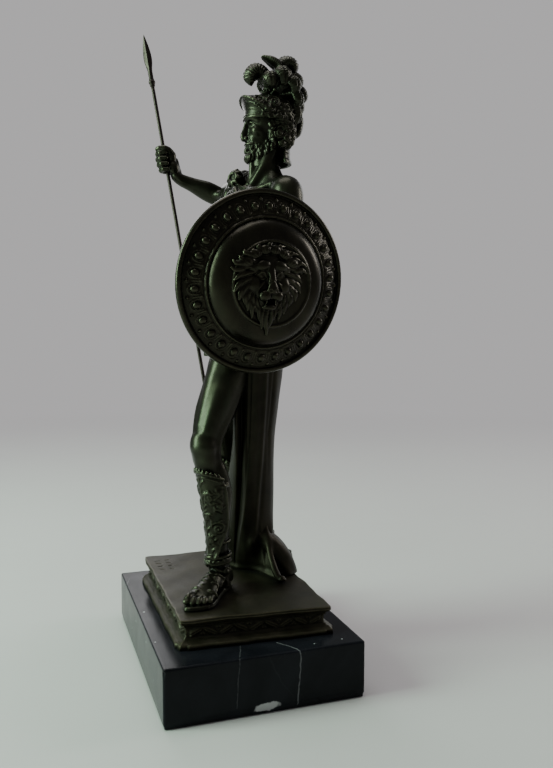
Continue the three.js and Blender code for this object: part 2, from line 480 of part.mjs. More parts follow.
function arms() {
  const parts = [limb(LEFT_ARM, { sides: 12, steps: 1, across: [1, 0.1, 0.2] }), limb(RIGHT_ARM, { sides: 12, steps: 1, across: [0.1, -0.3, 1] })];
  // right hand closed round the shaft
  const g = V(...SPEAR.grip), k = V(...spearLine(400)).sub(V(...spearLine(100))).normalize();
  const u = V(0, -1, 0).addScaledVector(k, k.y).normalize(), v = k.clone().cross(u);   // u forward, v to the side
  const at = (a, b, c) => g.clone().addScaledVector(u, a).addScaledVector(v, b).addScaledVector(k, c);
  const arr = (p, a, b) => [p.x, p.y, p.z, a, b];
  parts.push(limb([arr(at(-8.4, 0.4, -7), 3.6, 4.6), arr(at(-5.4, 0.8, -3.6), 4.6, 5.8), arr(at(-3.4, 1.2, 0.8), 4.6, 6.4), arr(at(-2.6, 1.4, 4.6), 3.4, 5.2)], { sides: 10, steps: 1, across: [1, 0, 0] }));
  for (let f = 0; f < 4; f++) {
    const h = 5.2 - 3.5 * f, rr = 3.9 - 0.12 * f, pts = [];
    for (let i = 0; i <= 5; i++) {
      const w = (-150 + 56 * i) * DEG;
      pts.push(arr(at(rr * Math.cos(w + Math.PI / 2) * 0.98, -rr * Math.sin(w + Math.PI / 2), h + 0.3 * i), 1.75, 1.7));
    }
    parts.push(limb(pts, { sides: 6, steps: 1, across: [k.x, k.y, k.z] }));
  }
  parts.push(limb([arr(at(-4, 2.6, 2.4), 2.1, 2.1), arr(at(-0.4, 5.0, 5.6), 2.0, 2.0), arr(at(2.6, 3.6, 7.6), 1.8, 1.8), arr(at(4.2, 1.2, 8.2), 1.4, 1.4)], { sides: 6, steps: 1, across: [0, 0, 1] }));
  // left hand, closed on the grip behind the shield
  parts.push(blob([37, -22.5, 243.4], [4.4, 6, 6.6], { w: 10, h: 7 }));
  for (let f = 0; f < 4; f++) parts.push(blob([40.2, -24 - 0.3 * f, 248 - 3.3 * f], [2.8, 3.2, 1.8], { w: 6, h: 5 }));
  parts.push(blob([38.4, -19.4, 250.2], [2, 4.4, 2], { w: 6, h: 5, rx: 20 }));
  return parts;
}

// ---------------------------------------------------------------- cloak
// outline of the falling cloth at each height: [z, depth of the back, [s, x] along the front], with y = s - 0.293 x
const FALL = [
  [262, 16, [[9, 28], [10, 31], [11, 33], [12.4, 34], [14, 34], [15.4, 35], [17, 36], [19, 36.5], [22, 36.5], [25, 36], [28, 35], [31, 33.5], [34, 31], [36, 28], [36.5, 25]]],
  [240, 9, [[3, 20], [4.4, 26], [6.4, 29], [8.4, 29], [10, 27.5], [12, 31], [15.5, 34], [19, 36], [23, 36], [27, 35.4], [30.5, 34], [33.5, 31.5], [36, 28], [37.5, 23.5], [37.8, 19]]],
  [205, 3, [[2.4, 13], [3.4, 22], [5.6, 27], [8, 26.6], [10, 21.4], [12, 26.5], [15.5, 30.5], [19.8, 33.5], [23.5, 33], [27, 32], [30.5, 30.6], [33, 28.5], [35, 25], [36, 20], [36, 15]]],
  [190, 1, [[2.4, 12], [3.6, 21], [5.6, 25.5], [8, 25], [9.8, 19.4], [11.6, 24.5], [15, 28.5], [19.6, 31.8], [23.2, 31.2], [26.6, 30], [29.8, 28.4], [32.4, 26.2], [34.4, 22.5], [35.4, 18], [35.4, 13]]],
  [170, -1, [[2.4, 10], [3.8, 18.5], [5.6, 23], [7.8, 22.4], [9.6, 16.4], [11.4, 21.5], [14.6, 25.5], [19, 28.6], [22.6, 28], [25.6, 26.8], [28.4, 25], [30.6, 22.8], [32.2, 19], [33, 15], [33, 10]]],
  [150, -3, [[2.4, 8], [3.8, 16], [5.4, 20], [7.4, 19.4], [9.4, 13.4], [11.2, 18.5], [14.2, 22], [18.5, 24.8], [21.6, 24.2], [24.2, 23], [26.6, 21.2], [28.6, 19], [30, 15.5], [30.6, 11.5], [30.5, 7]]],
  [130, -6, [[2.4, 4], [4, 11], [5.8, 14.5], [7.4, 13.8], [8.8, 9.6], [10.4, 13.8], [12.8, 17], [16.4, 19.4], [20, 19], [23.2, 18], [26, 16.4], [28.2, 14], [29.4, 10.5], [29.9, 6.5], [29.8, 2]]],
  [110, -10, [[1, -4], [3.2, 3], [5.4, 6.6], [7, 6.4], [8.2, 4.2], [9.6, 8], [11.2, 11], [13.4, 13], [17.4, 13.2], [21.4, 12.4], [25, 10.8], [27.8, 8.4], [29.2, 5], [29.7, 1], [29.6, -4]]],
  [92, -16, [[-0.2, -12], [2, -4.5], [4.4, -0.6], [6.2, 0], [7.4, -1], [8.6, 2.6], [9.6, 5], [10.8, 6.8], [14.8, 8], [19.6, 7.8], [24, 6.6], [27.4, 4.4], [29.1, 1], [29.7, -3], [29.6, -8]]],
  [76, -20, [[-1, -18], [0.8, -11.5], [3, -7.8], [4.6, -6.6], [5.6, -7.4], [6.6, -4.6], [7.4, -2.6], [8.6, -0.8], [12.4, 1.8], [17, 4], [22.4, 3.8], [26.6, 4.2], [29.2, 4.6], [30.6, 1], [30.2, -8]]],
  [62, -24, [[-1, -21], [0.6, -17.4], [2.4, -14.6], [3.8, -13], [4.8, -13.2], [5.6, -10.8], [6.4, -9], [7.8, -7.2], [11.4, -4.6], [16.2, -2.4], [21.2, 0.2], [25.6, 3.4], [29.6, 8.6], [32.4, 8.4], [32.4, -4]]],
  [51, -27, [[-0.6, -23.6], [0.8, -21.4], [2.4, -19.6], [4, -18], [5.2, -16.4], [6.4, -15], [8, -14], [10.4, -13], [14.6, -11.4], [19, -8.4], [23.8, -1], [29, 8.4], [33.6, 14.4], [36.4, 15.6], [35.8, 2]]],
];
function fall() {
  const rows = FALL.map(([z, xb, front]) => {
    const sl = front[0][0] + 1.5 - (z < 150 ? 3 * Math.min(1, (150 - z) / 20) : 0), sr = front[front.length - 1][0] - 1.5;
    const back = [[0.03, 5], [0.14, -0.5], [0.27, 2.2], [0.40, -1.2], [0.53, 2.0], [0.66, -1.4], [0.78, 1.8], [0.89, -0.6], [0.98, 4.5]].map(([f, o]) => [sr + (sl - sr) * f, xb + o + (z < 140 ? 5 * (1 - f) : 0)]);
    return front.concat(back).map(([s, x]) => V(x, s - 0.293 * x, z));
  });
  const rings = [];
  rows.forEach((row, i) => {
    const pick = (r) => { const c = new THREE.CatmullRomCurve3(r, true), out = []; for (let j = 0; j < 48; j++) out.push(c.getPoint(j / 48)); return out; };
    const here = pick(row);
    rings.push(here);
    if (i + 1 < rows.length && row[0].z - rows[i + 1][0].z > 14) {
      const next = pick(rows[i + 1]);
      rings.push(here.map((p, j) => p.clone().lerp(next[j], 0.5)));
    }
  });
  return loft(rings);
}

function cloak() {
  const parts = [];
  // long fall of folds from the left forearm to the plinth
  parts.push(fall());
  // ball weight on a rolled edge, and the end of the cloth trailing over the rear heel
  parts.push(blob([20.6, 31.0, FLOOR + 1.9], [2.3, 2.3, 2.3], { w: 8, h: 6 }));
  parts.push(limb([[19.6, 29.8, FLOOR + 1.2, 2.2, 2.2], [16.0, 28.4, 56.5, 2.3, 2.3], [12.4, 27.4, 61.5, 2.3, 2.3], [9.0, 26.6, 67.5, 2.1, 2.1], [6.0, 26.0, 76, 1.8, 1.8], [3.6, 25.2, 86, 1.4, 1.4]], { sides: 8, steps: 1 }));
  parts.push(limb([[1, 22, 90, 4.6, 4.0], [0.6, 27.4, 82, 6.8, 6.0], [-0.6, 33.6, 74, 8.8, 7.0], [-2.0, 39.2, 66, 9.8, 7.0], [-3.2, 43.2, 58, 10.4, 7.0], [-3.6, 45.0, FLOOR - 1, 11.0, 7.2]], { sides: 16, steps: 1, shape: (t, q) => 1 + 0.06 * Math.sin(6 * q) }));
  // cloth across the back, from the right shoulder down to the left hip
  const wrap = solid(loft(trunkRings((t) => 3.2 + 1.2 * (1 - t), 0.06, 0.94, 12, 36, (t, q) => 1 + 0.022 * Math.sin(12 * q + 16 * t))));
  const behind = new THREE.BoxGeometry(160, 100, 160);
  behind.translate(0, 50, 0); behind.rotateZ(11 * DEG); behind.rotateX(-6 * DEG); behind.translate(0, 21, 262);
  const edge = new THREE.BoxGeometry(200, 200, 100);
  edge.translate(0, 0, 50); edge.rotateY(28 * DEG); edge.translate(4, 30, 311);
  parts.push(wrap.intersect(solid(behind)).subtract(solid(edge)));
  // roll of cloth over the shoulder and round the upper right arm
  parts.push(limb([[-14, 13, 313, 4, 3.4], [-20, 12, 318, 6.2, 4.2], [-27, 17.5, 321, 8.2, 4.4], [-28, 27, 318, 9, 4.2], [-22, 37, 308, 10, 3.6]], { sides: 10, steps: 2, across: [1, 0.3, 0.2], shape: (t, q) => 1 + 0.07 * Math.sin(5 * q) }));
  parts.push(limb([[-32, 12.4, 318, 5, 3], [-35, 8.6, 308, 5.6, 2.8], [-34, 8.6, 297, 4.6, 2.4], [-31, 10, 287, 2.2, 1.6]], { sides: 10, steps: 1, across: [1, 0.2, 0], shape: (t, q) => 1 + 0.09 * Math.sin(5 * q) }));
  // neckline band crossing the chest to the left armpit
  parts.push(limb([[-15, 9.6, 315, 3.4, 2.6], [-6, 7.8, 307.5, 3.6, 2.4], [6, 8.4, 301, 3.8, 2.4], [17, 12.6, 296, 3.6, 2.4], [25.5, 20.6, 291, 2.8, 2.2]], { sides: 8, steps: 2, across: [0.3, 0, 1] }));
  // brooch: a boss in a ring of petals
  parts.push(blob([-14, 9.4, 317.4], [3.1, 3.1, 3.1], { w: 8, h: 6 }));
  for (let k = 0; k < 7; k++) {
    const q = (k / 7) * 2 * Math.PI;
    parts.push(blob([-14 + 4.9 * Math.cos(q), 10.3 + 1.6 * Math.sin(q), 317.2 + 4.9 * Math.sin(q)], [2.4, 2.0, 2.4], { w: 6, h: 5 }));
  }
  // bunched cloth over the forearm
  parts.push(limb([[18, 29, 266, 7, 5], [26, 25, 258, 9, 6.4], [32.6, 18, 253, 10.0, 6.6], [33.4, 8, 249.6, 8.2, 6.2], [32.6, 0, 244, 5, 5]], { sides: 14, steps: 1, across: [0.7, 0.6, 0], shape: (t, q) => 1 + 0.06 * Math.sin(6 * q) }));
  return parts;
}

// ---------------------------------------------------------------- head, helmet and plume
// local frame of the head: origin at its middle, -Y is where it looks
function head() {
  const p = [];
  const o = (c, s, opt) => p.push(blob(c, s, opt));
  o([0, 0, 4], [12.4, 15.2, 15.2], { w: 16, h: 10 });
  // face from chin to brow, on even thirds
  p.push(limb([[0, -9.6, -19.6, 4.6, 4.6], [0, -9.6, -17, 7.0, 7.2], [0, -7.6, -12, 9.2, 9.6], [0, -6.6, -6, 10.6, 10.6], [0, -5.6, 0, 11.4, 11.2], [0, -4.4, 7, 11.8, 12], [0, -2, 13, 11, 12]], { sides: 16, steps: 1 }));
  p.push(limb([[0, -16.4, 4, 1.4, 1.4], [0, -17.6, 0, 1.7, 1.8], [0, -18.6, -4, 2.3, 2.2], [0, -17.0, -6, 1.8, 1.6]], { sides: 6, steps: 1 }));
  for (const s of [-1, 1]) {
    o([s * 4.6, -14.6, 3.2], [4.2, 2.2, 1.3], { w: 8, h: 4, rz: -s * 18 });   // brow
    o([s * 4.6, -14.2, 0.2], [2.2, 1.8, 1.5], { w: 8, h: 5 });                // eye
    o([s * 6.8, -11.6, -4], [3.4, 3.4, 3.0], { w: 8, h: 5 });                 // cheek bone
    o([s * 12.0, 1.4, -7], [1.5, 3.0, 4.4], { w: 8, h: 6, rx: -12 });         // ear
    // beard along the jaw, curls over the temples
    for (let k = 0; k < 5; k++) o([s * (10.6 - 0.35 * k * k), -2 - 3.1 * k, -9 - 2.3 * k], [2.6, 2.6, 3.0], { w: 6, h: 4 });
    for (let k = 0; k < 4; k++) o([s * (11.8 - 0.3 * k), -4 + 3.2 * k, 1.4 + 0.4 * k], [2.0, 2.4, 2.4], { w: 6, h: 4 });
    o([s * 11.2, 7.0, -6], [2.4, 3.4, 4.4], { w: 6, h: 5 });
  }
  o([0, -16.8, -9.0], [3.6, 1.9, 1.2], { w: 8, h: 4 });                        // moustache
  o([0, -16.0, -11.6], [2.6, 1.6, 0.9], { w: 8, h: 4 });                       // lower lip
  o([0, -14.4, -17.2], [4.6, 4.0, 3.9], { w: 8, h: 5 });                       // chin tuft
  for (let k = 0; k < 5; k++) o([-6 + 3 * k, 10.4 - 0.12 * (k - 2) ** 2, -10], [2.2, 3.4, 4.0], { w: 6, h: 4 });
  return p;
}

function helmet() {
  const p = [];
  // bowl, cut off along the brow and over the ears
  const bowl = solid(blob([0, 0.4, 5], [14.2, 17.0, 17.2], { w: 20, h: 12 }));
  const under = new THREE.BoxGeometry(60, 60, 40);
  under.translate(0, 0, -20); under.rotateX(-7 * DEG); under.translate(0, 0, 2.4);
  p.push(bowl.subtract(solid(under)));
  // raised peak: a swept wedge whose rim stands forward over the forehead
  const rim = [], n = 14;
  for (let i = 0; i <= n; i++) {
    const s = (i / n) * 2 - 1, w = s * 82 * DEG, c = Math.cos(w), e = 0.35 + 0.65 * c;
    const root = V(13.2 * Math.sin(w), -2.6 - 13.0 * c + 0.6, 6.4 + 1.6 * c);
    const top = V(11.4 * Math.sin(w), -1.0 - 8.6 * c, 8.6 + 9.8 * c);
    const tip = V(14.4 * Math.sin(w), -3.2 - 17.4 * c, 8.2 + 5.2 * c);
    const lip = V(14.0 * Math.sin(w), -3.0 - 16.0 * c, 8.8 + 9.0 * c);
    const inner = V(9 * Math.sin(w), -2 - 8 * c, 9 + 2 * e);
    rim.push([root, tip, lip, top, inner]);
  }
  p.push(loft(rim));
  // brow band
  const band = [];
  for (let i = 0; i <= 10; i++) {
    const w = ((i / 10) * 2 - 1) * 88 * DEG;
    band.push([13.4 * Math.sin(w), -1.6 - 14.6 * Math.cos(w), 5.2 + 1.7 * Math.cos(w), 1.3, 1.5]);
  }
  p.push(limb(band, { sides: 6, steps: 1, across: [0, 0, 1] }));
  // neck guard down the nape, flaring at its foot
  p.push(limb([[0, 13.6, 2, 11.5, 3.0], [0, 12.6, -6, 11.0, 3.0], [0, 11.0, -14, 10.4, 2.8], [0, 10.2, -20, 10.0, 2.6], [0, 10.8, -24.0, 10.6, 2.8]], { sides: 12, steps: 1, across: [1, 0, 0] }));
  // scroll relief on both sides of the bowl
  for (const s of [-1, 1]) {
    for (const [cy, cz, size, turns] of [[-5, 12.6, 4.4, 1.4], [5.6, 9.0, 4.8, -1.4]]) {
      const pts = [];
      for (let i = 0; i < 9; i++) {
        const t = i / 8, w = turns * 2 * Math.PI * t, rad = size * (0.2 + 0.8 * t), y = cy + rad * Math.cos(w), z = cz + rad * Math.sin(w);
        const k = 1 - ((y - 0.4) / 17.0) ** 2 - ((z - 5) / 17.2) ** 2;
        pts.push([s * 14.3 * Math.sqrt(Math.max(k, 0.05)), y, z, 0.85, 0.85]);
      }
      p.push(limb(pts, { sides: 4, steps: 1, across: [0, 0.4, 1] }));
    }
  }
  return p;
}

// plume of broad curling feathers rising from a crest ridge on the bowl
const FEATHERS = [ // [points..., half width, half thickness] in the head frame
  [[[0, 0, 22], [0, -2, 29.4], [0, -5.6, 34.2], [0, -10, 34.9], [0, -13.1, 31.2], [0, -12.4, 26.8]], 6.2, 4.4],
  [[[0.4, 1.6, 22], [0.9, 5.6, 33], [0.7, 5.2, 39.2], [0.3, 0.8, 42.4], [0, -5, 44.6]], 6.2, 2.8],
  [[[-0.6, 3, 22], [-1, 6.8, 33], [-0.8, 7.8, 39.4], [-0.4, 11.4, 42], [0, 15.4, 40.6], [0.2, 15.8, 35.8]], 6.4, 3.6],
  [[[0.6, 4, 21], [1, 9.8, 29.6], [1.4, 15.2, 33], [1.4, 19.4, 30.6], [1, 19.6, 26.2]], 5.4, 3.5],
  [[[-0.5, 6, 19], [-1, 13, 24.4], [-1.4, 19.8, 26.2], [-1.2, 23.4, 22.4], [-0.8, 22.6, 17.4]], 5.2, 3.5],
  [[[0.5, 10, 15], [0.9, 15.6, 18.4], [1, 20, 16.6], [1, 20.4, 12.6], [0.8, 17.8, 10.2]], 4.8, 2.8],
  [[[-0.4, 13, 11], [-0.6, 17.6, 11], [-0.6, 20.4, 7.2], [-0.4, 20.2, 2.4], [0, 18.8, -2.4], [0, 17.6, -5.4]], 4.8, 2.8],
  [[[1, 0.2, 21], [3.4, -0.8, 27.4], [6.2, -1.6, 30.2], [8.8, -1.6, 28.6], [8.8, -1.2, 25.2]], 4.5, 3.3],
  [[[-1, 0.2, 21], [-3.4, -0.8, 27.4], [-6.2, -1.6, 30.2], [-8.8, -1.6, 28.6], [-8.8, -1.2, 25.2]], 4.5, 3.3],
  [[[1.8, 3.4, 22], [4.4, 5.4, 30], [7, 6.4, 33.8], [9.6, 7, 31.4], [9.6, 7, 27]], 4.9, 3.1],
  [[[-1.8, 3.4, 22], [-4.4, 5.4, 30], [-7, 6.4, 33.8], [-9.6, 7, 31.4], [-9.6, 7, 27]], 4.9, 3.1],
  [[[2, 5, 20], [5.4, 9.6, 26.2], [8.4, 12.6, 28.6], [10.4, 14.4, 25.6], [9.8, 13.8, 21.6]], 4.7, 3.3],
  [[[-2, 5, 20], [-5.4, 9.6, 26.2], [-8.4, 12.6, 28.6], [-10.4, 14.4, 25.6], [-9.8, 13.8, 21.6]], 4.7, 3.3],
  [[[2.2, 7, 18], [5.6, 12.6, 21], [8, 16, 20.4], [8.6, 17.4, 16.2], [7.4, 16, 12.6]], 4.4, 3.1],
  [[[-2.2, 7, 18], [-5.6, 12.6, 21], [-8, 16, 20.4], [-8.6, 17.4, 16.2], [-7.4, 16, 12.6]], 4.4, 3.1],
  [[[2.2, 11, 13], [5.4, 15.4, 13.6], [7, 17.2, 10], [6.6, 16.8, 5.2], [5.4, 15.8, 1.8]], 4.1, 2.7],
  [[[-2.2, 11, 13], [-5.4, 15.4, 13.6], [-7, 17.2, 10], [-6.6, 16.8, 5.2], [-5.4, 15.8, 1.8]], 4.1, 2.7],
];
function plume() {
  const p = [];
  p.push(limb([[0, -8, 16.8, 2.6, 3], [0, -2, 21.0, 3.6, 4.4], [0, 5, 21.8, 4.2, 5], [0, 11.4, 17.6, 4, 5], [0, 16, 9, 3.2, 3.6]], { sides: 8, steps: 1, across: [1, 0, 0] }));
  for (const [pts, w, th] of FEATHERS) {
    const n = pts.length - 1;
    const st = pts.map((q, i) => {
      const t = i / n, f = 0.55 + 0.5 * Math.sin(Math.PI * Math.min(1, 0.2 + 0.68 * t));
      return [...q, w * f * (i === n ? 0.62 : 1), th * f * (i === n ? 0.62 : 1)];
    });
    const d = V(...pts[1]).sub(V(...pts[0]));
    const side = Math.abs(d.x) > 2 ? [0.3, 1, 0] : [1, 0, 0];
    p.push(limb(st, { sides: 8, steps: 2, across: side, shape: (t, q) => 1 - 0.12 * Math.exp(-((q - Math.PI / 2) ** 2) / 0.3) }));
  }
  return p;
}

function headGroup() {
  const m = new THREE.Matrix4().makeTranslation(...HEAD.c).multiply(new THREE.Matrix4().makeRotationZ(HEAD.turn * DEG));
  return join([...head(), ...helmet(), ...plume()]).transform(m.toArray());
}

// ---------------------------------------------------------------- figure
function warrior() {
  let body = solid(thin(geometryOf(join([...legs(), ...trunk(), ...arms(), ...cloak(), headGroup()])), BUDGET.warrior));
  // nothing reaches below the level on which the soles stand
  const below = new THREE.BoxGeometry(300, 300, 60);
  below.translate(0, 0, FLOOR - 30);
  body = body.subtract(solid(below));
  // clearance for the spear and for the shield with its arm band
  body = body.subtract(solid(spearClearance()));
  const back = SHIELD_BACK.map(([r, z], i) => [r + (i === 0 ? GAP : 0), z - GAP]);
  const cap = [[0, 30], [SHIELD.r + GAP, 30], [SHIELD.r + GAP, -0.9]];
  body = body.subtract(solid(shieldSkin(cap, back, 40)).transform(shieldMatrix().toArray()));
  const sleeve = new THREE.Shape();
  [[-14.9, 11], [-12.2, -11.8], [12.2, -11.8], [14.9, 11], [11.3, 11], [9.1, -8.9], [-9.1, -8.9], [-11.3, 11]].forEach(([a, b], i) => (i ? sleeve.lineTo(a, b) : sleeve.moveTo(a, b)));
  const g = new THREE.ExtrudeGeometry(sleeve, { depth: 8.8, bevelEnabled: false });
  g.translate(0, 0, -4.4); g.rotateX(Math.PI / 2); g.rotateZ(Math.PI / 2);
  g.translate(9, 0, 0);
  return body.subtract(solid(g).transform(shieldMatrix().toArray()));
}

// ---------------------------------------------------------------- scene
const bronze = (color) => new THREE.MeshStandardMaterial({ color, roughness: 0.34, metalness: 0.9 });
const group = new THREE.Group();
function add(name, geometry, material) {
  const mesh = new THREE.Mesh(geometry, material);
  mesh.name = name;
  group.add(mesh);
}

add('marble_base', marble(), new THREE.MeshStandardMaterial({ color: 0x141416, roughness: 0.18, metalness: 0 }));
add('bronze_plinth', thin(geometryOf(plinth()), BUDGET.plinth), bronze(0x3a3426));
add('warrior', geometryOf(warrior()), bronze(0x2c2a1e));
add('shield', geometryOf(shield()), bronze(0x2e2820));
add('spear', spear(), bronze(0x2c281e));

export default group;
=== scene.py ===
import math
from concurrent.futures import ThreadPoolExecutor
import numpy as np
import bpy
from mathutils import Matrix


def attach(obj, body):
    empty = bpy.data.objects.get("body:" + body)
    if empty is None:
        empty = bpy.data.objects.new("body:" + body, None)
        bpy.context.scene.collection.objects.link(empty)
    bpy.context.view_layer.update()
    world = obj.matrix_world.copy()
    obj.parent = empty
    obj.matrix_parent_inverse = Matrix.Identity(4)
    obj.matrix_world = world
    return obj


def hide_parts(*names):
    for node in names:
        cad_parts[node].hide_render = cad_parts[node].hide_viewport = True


F32 = np.float32


# ---------------------------------------------------------------- solid modelling by distance fields, in millimetres
def smin(a, b, k):
    if k <= 0:
        return np.minimum(a, b)
    h = np.maximum(F32(k) - np.abs(a - b), 0)
    return np.minimum(a, b) - h * h * F32(0.25 / k)


def smax(a, b, k):
    return -smin(-a, -b, k)


def sstep(x, a, b):
    t = np.clip((x - a) / (b - a), 0, 1)
    return t * t * (3 - 2 * t)


def gauss(x, w):
    return np.exp(-(x / w) ** 2)


def unit(v):
    v = np.asarray(v, float)
    return v / (np.linalg.norm(v) + 1e-12)


def rot(rx=0, ry=0, rz=0):
    a, b, c = (math.radians(v) for v in (rx, ry, rz))
    X = np.array([[1, 0, 0], [0, math.cos(a), -math.sin(a)], [0, math.sin(a), math.cos(a)]])
    Y = np.array([[math.cos(b), 0, math.sin(b)], [0, 1, 0], [-math.sin(b), 0, math.cos(b)]])
    Z = np.array([[math.cos(c), -math.sin(c), 0], [math.sin(c), math.cos(c), 0], [0, 0, 1]])
    return Z @ Y @ X


def catmull(rows, steps):
    """Points of a smooth curve through rows, with `steps` spans between each two."""
    R = np.asarray(rows, float)
    Q = np.vstack([2 * R[0] - R[1], R, 2 * R[-1] - R[-2]])
    out = []
    for i in range(len(R) - 1):
        p0, p1, p2, p3 = Q[i], Q[i + 1], Q[i + 2], Q[i + 3]
        for s in range(steps):
            t = s / steps
            out.append(0.5 * ((2 * p1) + (p2 - p0) * t + (2 * p0 - 5 * p1 + 4 * p2 - p3) * t * t + (3 * p1 - p0 - 3 * p2 + p3) * t ** 3))
    out.append(R[-1])
    return np.array(out)


class Ball:
    """Ellipsoid with half axes r, turned by the matrix m."""

    def __init__(self, c, r, m=None):
        self.c = np.asarray(c, float)
        r = np.ones(3) * r if np.isscalar(r) else np.asarray(r, float)
        self.r, self.m = r, m
        e = r if m is None else np.sqrt(((np.asarray(m) * r) ** 2).sum(1))
        self.lo, self.hi = self.c - e, self.c + e

    def __call__(self, P, lo=None, hi=None):
        q = P - self.c.astype(F32)
        if self.m is not None:
            q = q @ np.asarray(self.m, F32)
        if self.r[0] == self.r[1] == self.r[2]:
            return np.sqrt((q * q).sum(-1)) - F32(self.r[0])
        a = q / self.r.astype(F32)
        b = a / self.r.astype(F32)
        k0 = np.sqrt((a * a).sum(-1))
        k1 = np.sqrt((b * b).sum(-1)) + F32(1e-6)
        return k0 * (k0 - 1) / k1


class Limb:
    """Solid swept through stations [x, y, z, half width, half depth]; `across` gives the width's direction.
    shape(t, q, P) scales the section at the share t of the length and the angle q."""

    def __init__(self, rows, across=(1, 0, 0), steps=3, shape=None, grow=0.0, across2=None, flat=False, sharp=2.0):
        C = catmull(rows, steps)
        C[:, 3:5] += grow
        self.n = len(C) - 1
        self.p = C[:, :3]
        self.ab = np.maximum(C[:, 3:5], 0.05)
        T = np.gradient(self.p, axis=0)
        T /= np.linalg.norm(T, axis=1)[:, None] + 1e-12
        A0 = unit(across)
        A1 = A0 if across2 is None else unit(across2)
        w = np.linspace(0, 1, len(C))[:, None]
        A = A0 * (1 - w) + A1 * w
        U = A - (A * T).sum(1)[:, None] * T
        U /= np.linalg.norm(U, axis=1)[:, None] + 1e-12
        self.U, self.V = U, np.cross(T, U)
        self.shape, self.flat, self.sharp = shape, flat, sharp
        m = self.ab.max(1) * (1.4 if shape is not None else 1.05)
        self.slo = np.minimum(self.p[:-1] - m[:-1, None], self.p[1:] - m[1:, None])
        self.shi = np.maximum(self.p[:-1] + m[:-1, None], self.p[1:] + m[1:, None])
        self.lo, self.hi = self.slo.min(0), self.shi.max(0)

    def __call__(self, P, lo=None, hi=None):
        out = None
        for i in range(self.n):
            if lo is not None and (np.any(self.slo[i] > hi) or np.any(self.shi[i] < lo)):
                continue
            p0, d = self.p[i], self.p[i + 1] - self.p[i]
            L2 = float(d @ d) + 1e-9
            q = P - p0.astype(F32)
            h = np.clip(q @ (d / L2).astype(F32), 0, 1)
            du, dv = self.U[i + 1] - self.U[i], self.V[i + 1] - self.V[i]
            M = np.stack([self.U[i], self.V[i], d / math.sqrt(L2)], 1).astype(F32)
            r = (q - h[..., None] * d.astype(F32)) @ M
            x, y, w = r[..., 0], r[..., 1], r[..., 2]
            if np.abs(du).max() > 0.02:
                q2 = q - h[..., None] * d.astype(F32)
                x = x + h * (q2 @ du.astype(F32))
                y = y + h * (q2 @ dv.astype(F32))
            a = F32(self.ab[i, 0]) + h * F32(self.ab[i + 1, 0] - self.ab[i, 0])
            b = F32(self.ab[i, 1]) + h * F32(self.ab[i + 1, 1] - self.ab[i, 1])
            if self.shape is not None:
                f = self.shape((F32(i) + h) / F32(self.n), np.arctan2(y / b, x / a), P).astype(F32)
                a, b = a * f, b * f
            X, Y = x / a, y / b
            if self.sharp != 2.0:
                p = self.sharp
                k0 = (np.abs(X) ** p + np.abs(Y) ** p) ** F32(1 / p)
                m = np.minimum(a, b)
                e = (k0 - 1) * m
                e = np.maximum(e, np.abs(w) - F32(0.02)) if self.flat else np.sqrt(np.maximum(e, 0) ** 2 + w * w) + np.minimum(e, 0)
            elif self.flat:
                k0 = np.sqrt(X * X + Y * Y)
                k1 = np.sqrt((X / a) ** 2 + (Y / b) ** 2) + F32(1e-5)
                e = np.maximum(k0 * (k0 - 1) / k1, np.abs(w) - F32(0.02))
            else:
                m = np.minimum(a, b)
                W = w / m
                k0 = np.sqrt(X * X + Y * Y + W * W)
                k1 = np.sqrt((X / a) ** 2 + (Y / b) ** 2 + (W / m) ** 2) + F32(1e-5)
                e = k0 * (k0 - 1) / k1
            out = e if out is None else np.minimum(out, e)
        return out


class Tube:
    """Round rod through points with radii, for wires, locks of hair, fingers and straps."""

    def __init__(self, pts, rad, steps=1):
        pts = np.asarray(pts, float)
        rad = np.ones(len(pts)) * rad if np.isscalar(rad) else np.asarray(rad, float)
        C = catmull(np.column_stack([pts, rad]), steps) if steps > 1 else np.column_stack([pts, rad])
        self.p, self.r = C[:, :3], np.maximum(C[:, 3], 0.02)
        self.n = len(C) - 1
        m = self.r[:, None]
        self.slo = np.minimum(self.p[:-1] - m[:-1], self.p[1:] - m[1:])
        self.shi = np.maximum(self.p[:-1] + m[:-1], self.p[1:] + m[1:])
        self.lo, self.hi = self.slo.min(0), self.shi.max(0)

    def __call__(self, P, lo=None, hi=None):
        out = None
        ok = range(self.n) if lo is None else np.nonzero(((self.slo <= hi) & (self.shi >= lo)).all(1))[0]
        for i in ok:
            d = self.p[i + 1] - self.p[i]
            q = P - self.p[i].astype(F32)
            h = np.clip(q @ (d / (d @ d + 1e-9)).astype(F32), 0, 1)
            r = q - h[..., None] * d.astype(F32)
            e = np.sqrt((r * r).sum(-1)) - (F32(self.r[i]) + h * F32(self.r[i + 1] - self.r[i]))
            out = e if out is None else np.minimum(out, e)
        return out


class Box:
    def __init__(self, c, s, m=None, r=0.0):
        self.c, self.s, self.m, self.r = np.asarray(c, float), np.asarray(s, float), m, r
        e = self.s if m is None else np.abs(np.asarray(m)) @ self.s
        self.lo, self.hi = self.c - e, self.c + e

    def __call__(self, P, lo=None, hi=None):
        q = P - self.c.astype(F32)
        if self.m is not None:
            q = q @ np.asarray(self.m, F32)
        q = np.abs(q) - (self.s - self.r).astype(F32)
        return np.sqrt((np.maximum(q, 0) ** 2).sum(-1)) + np.minimum(q.max(-1), 0) - F32(self.r)


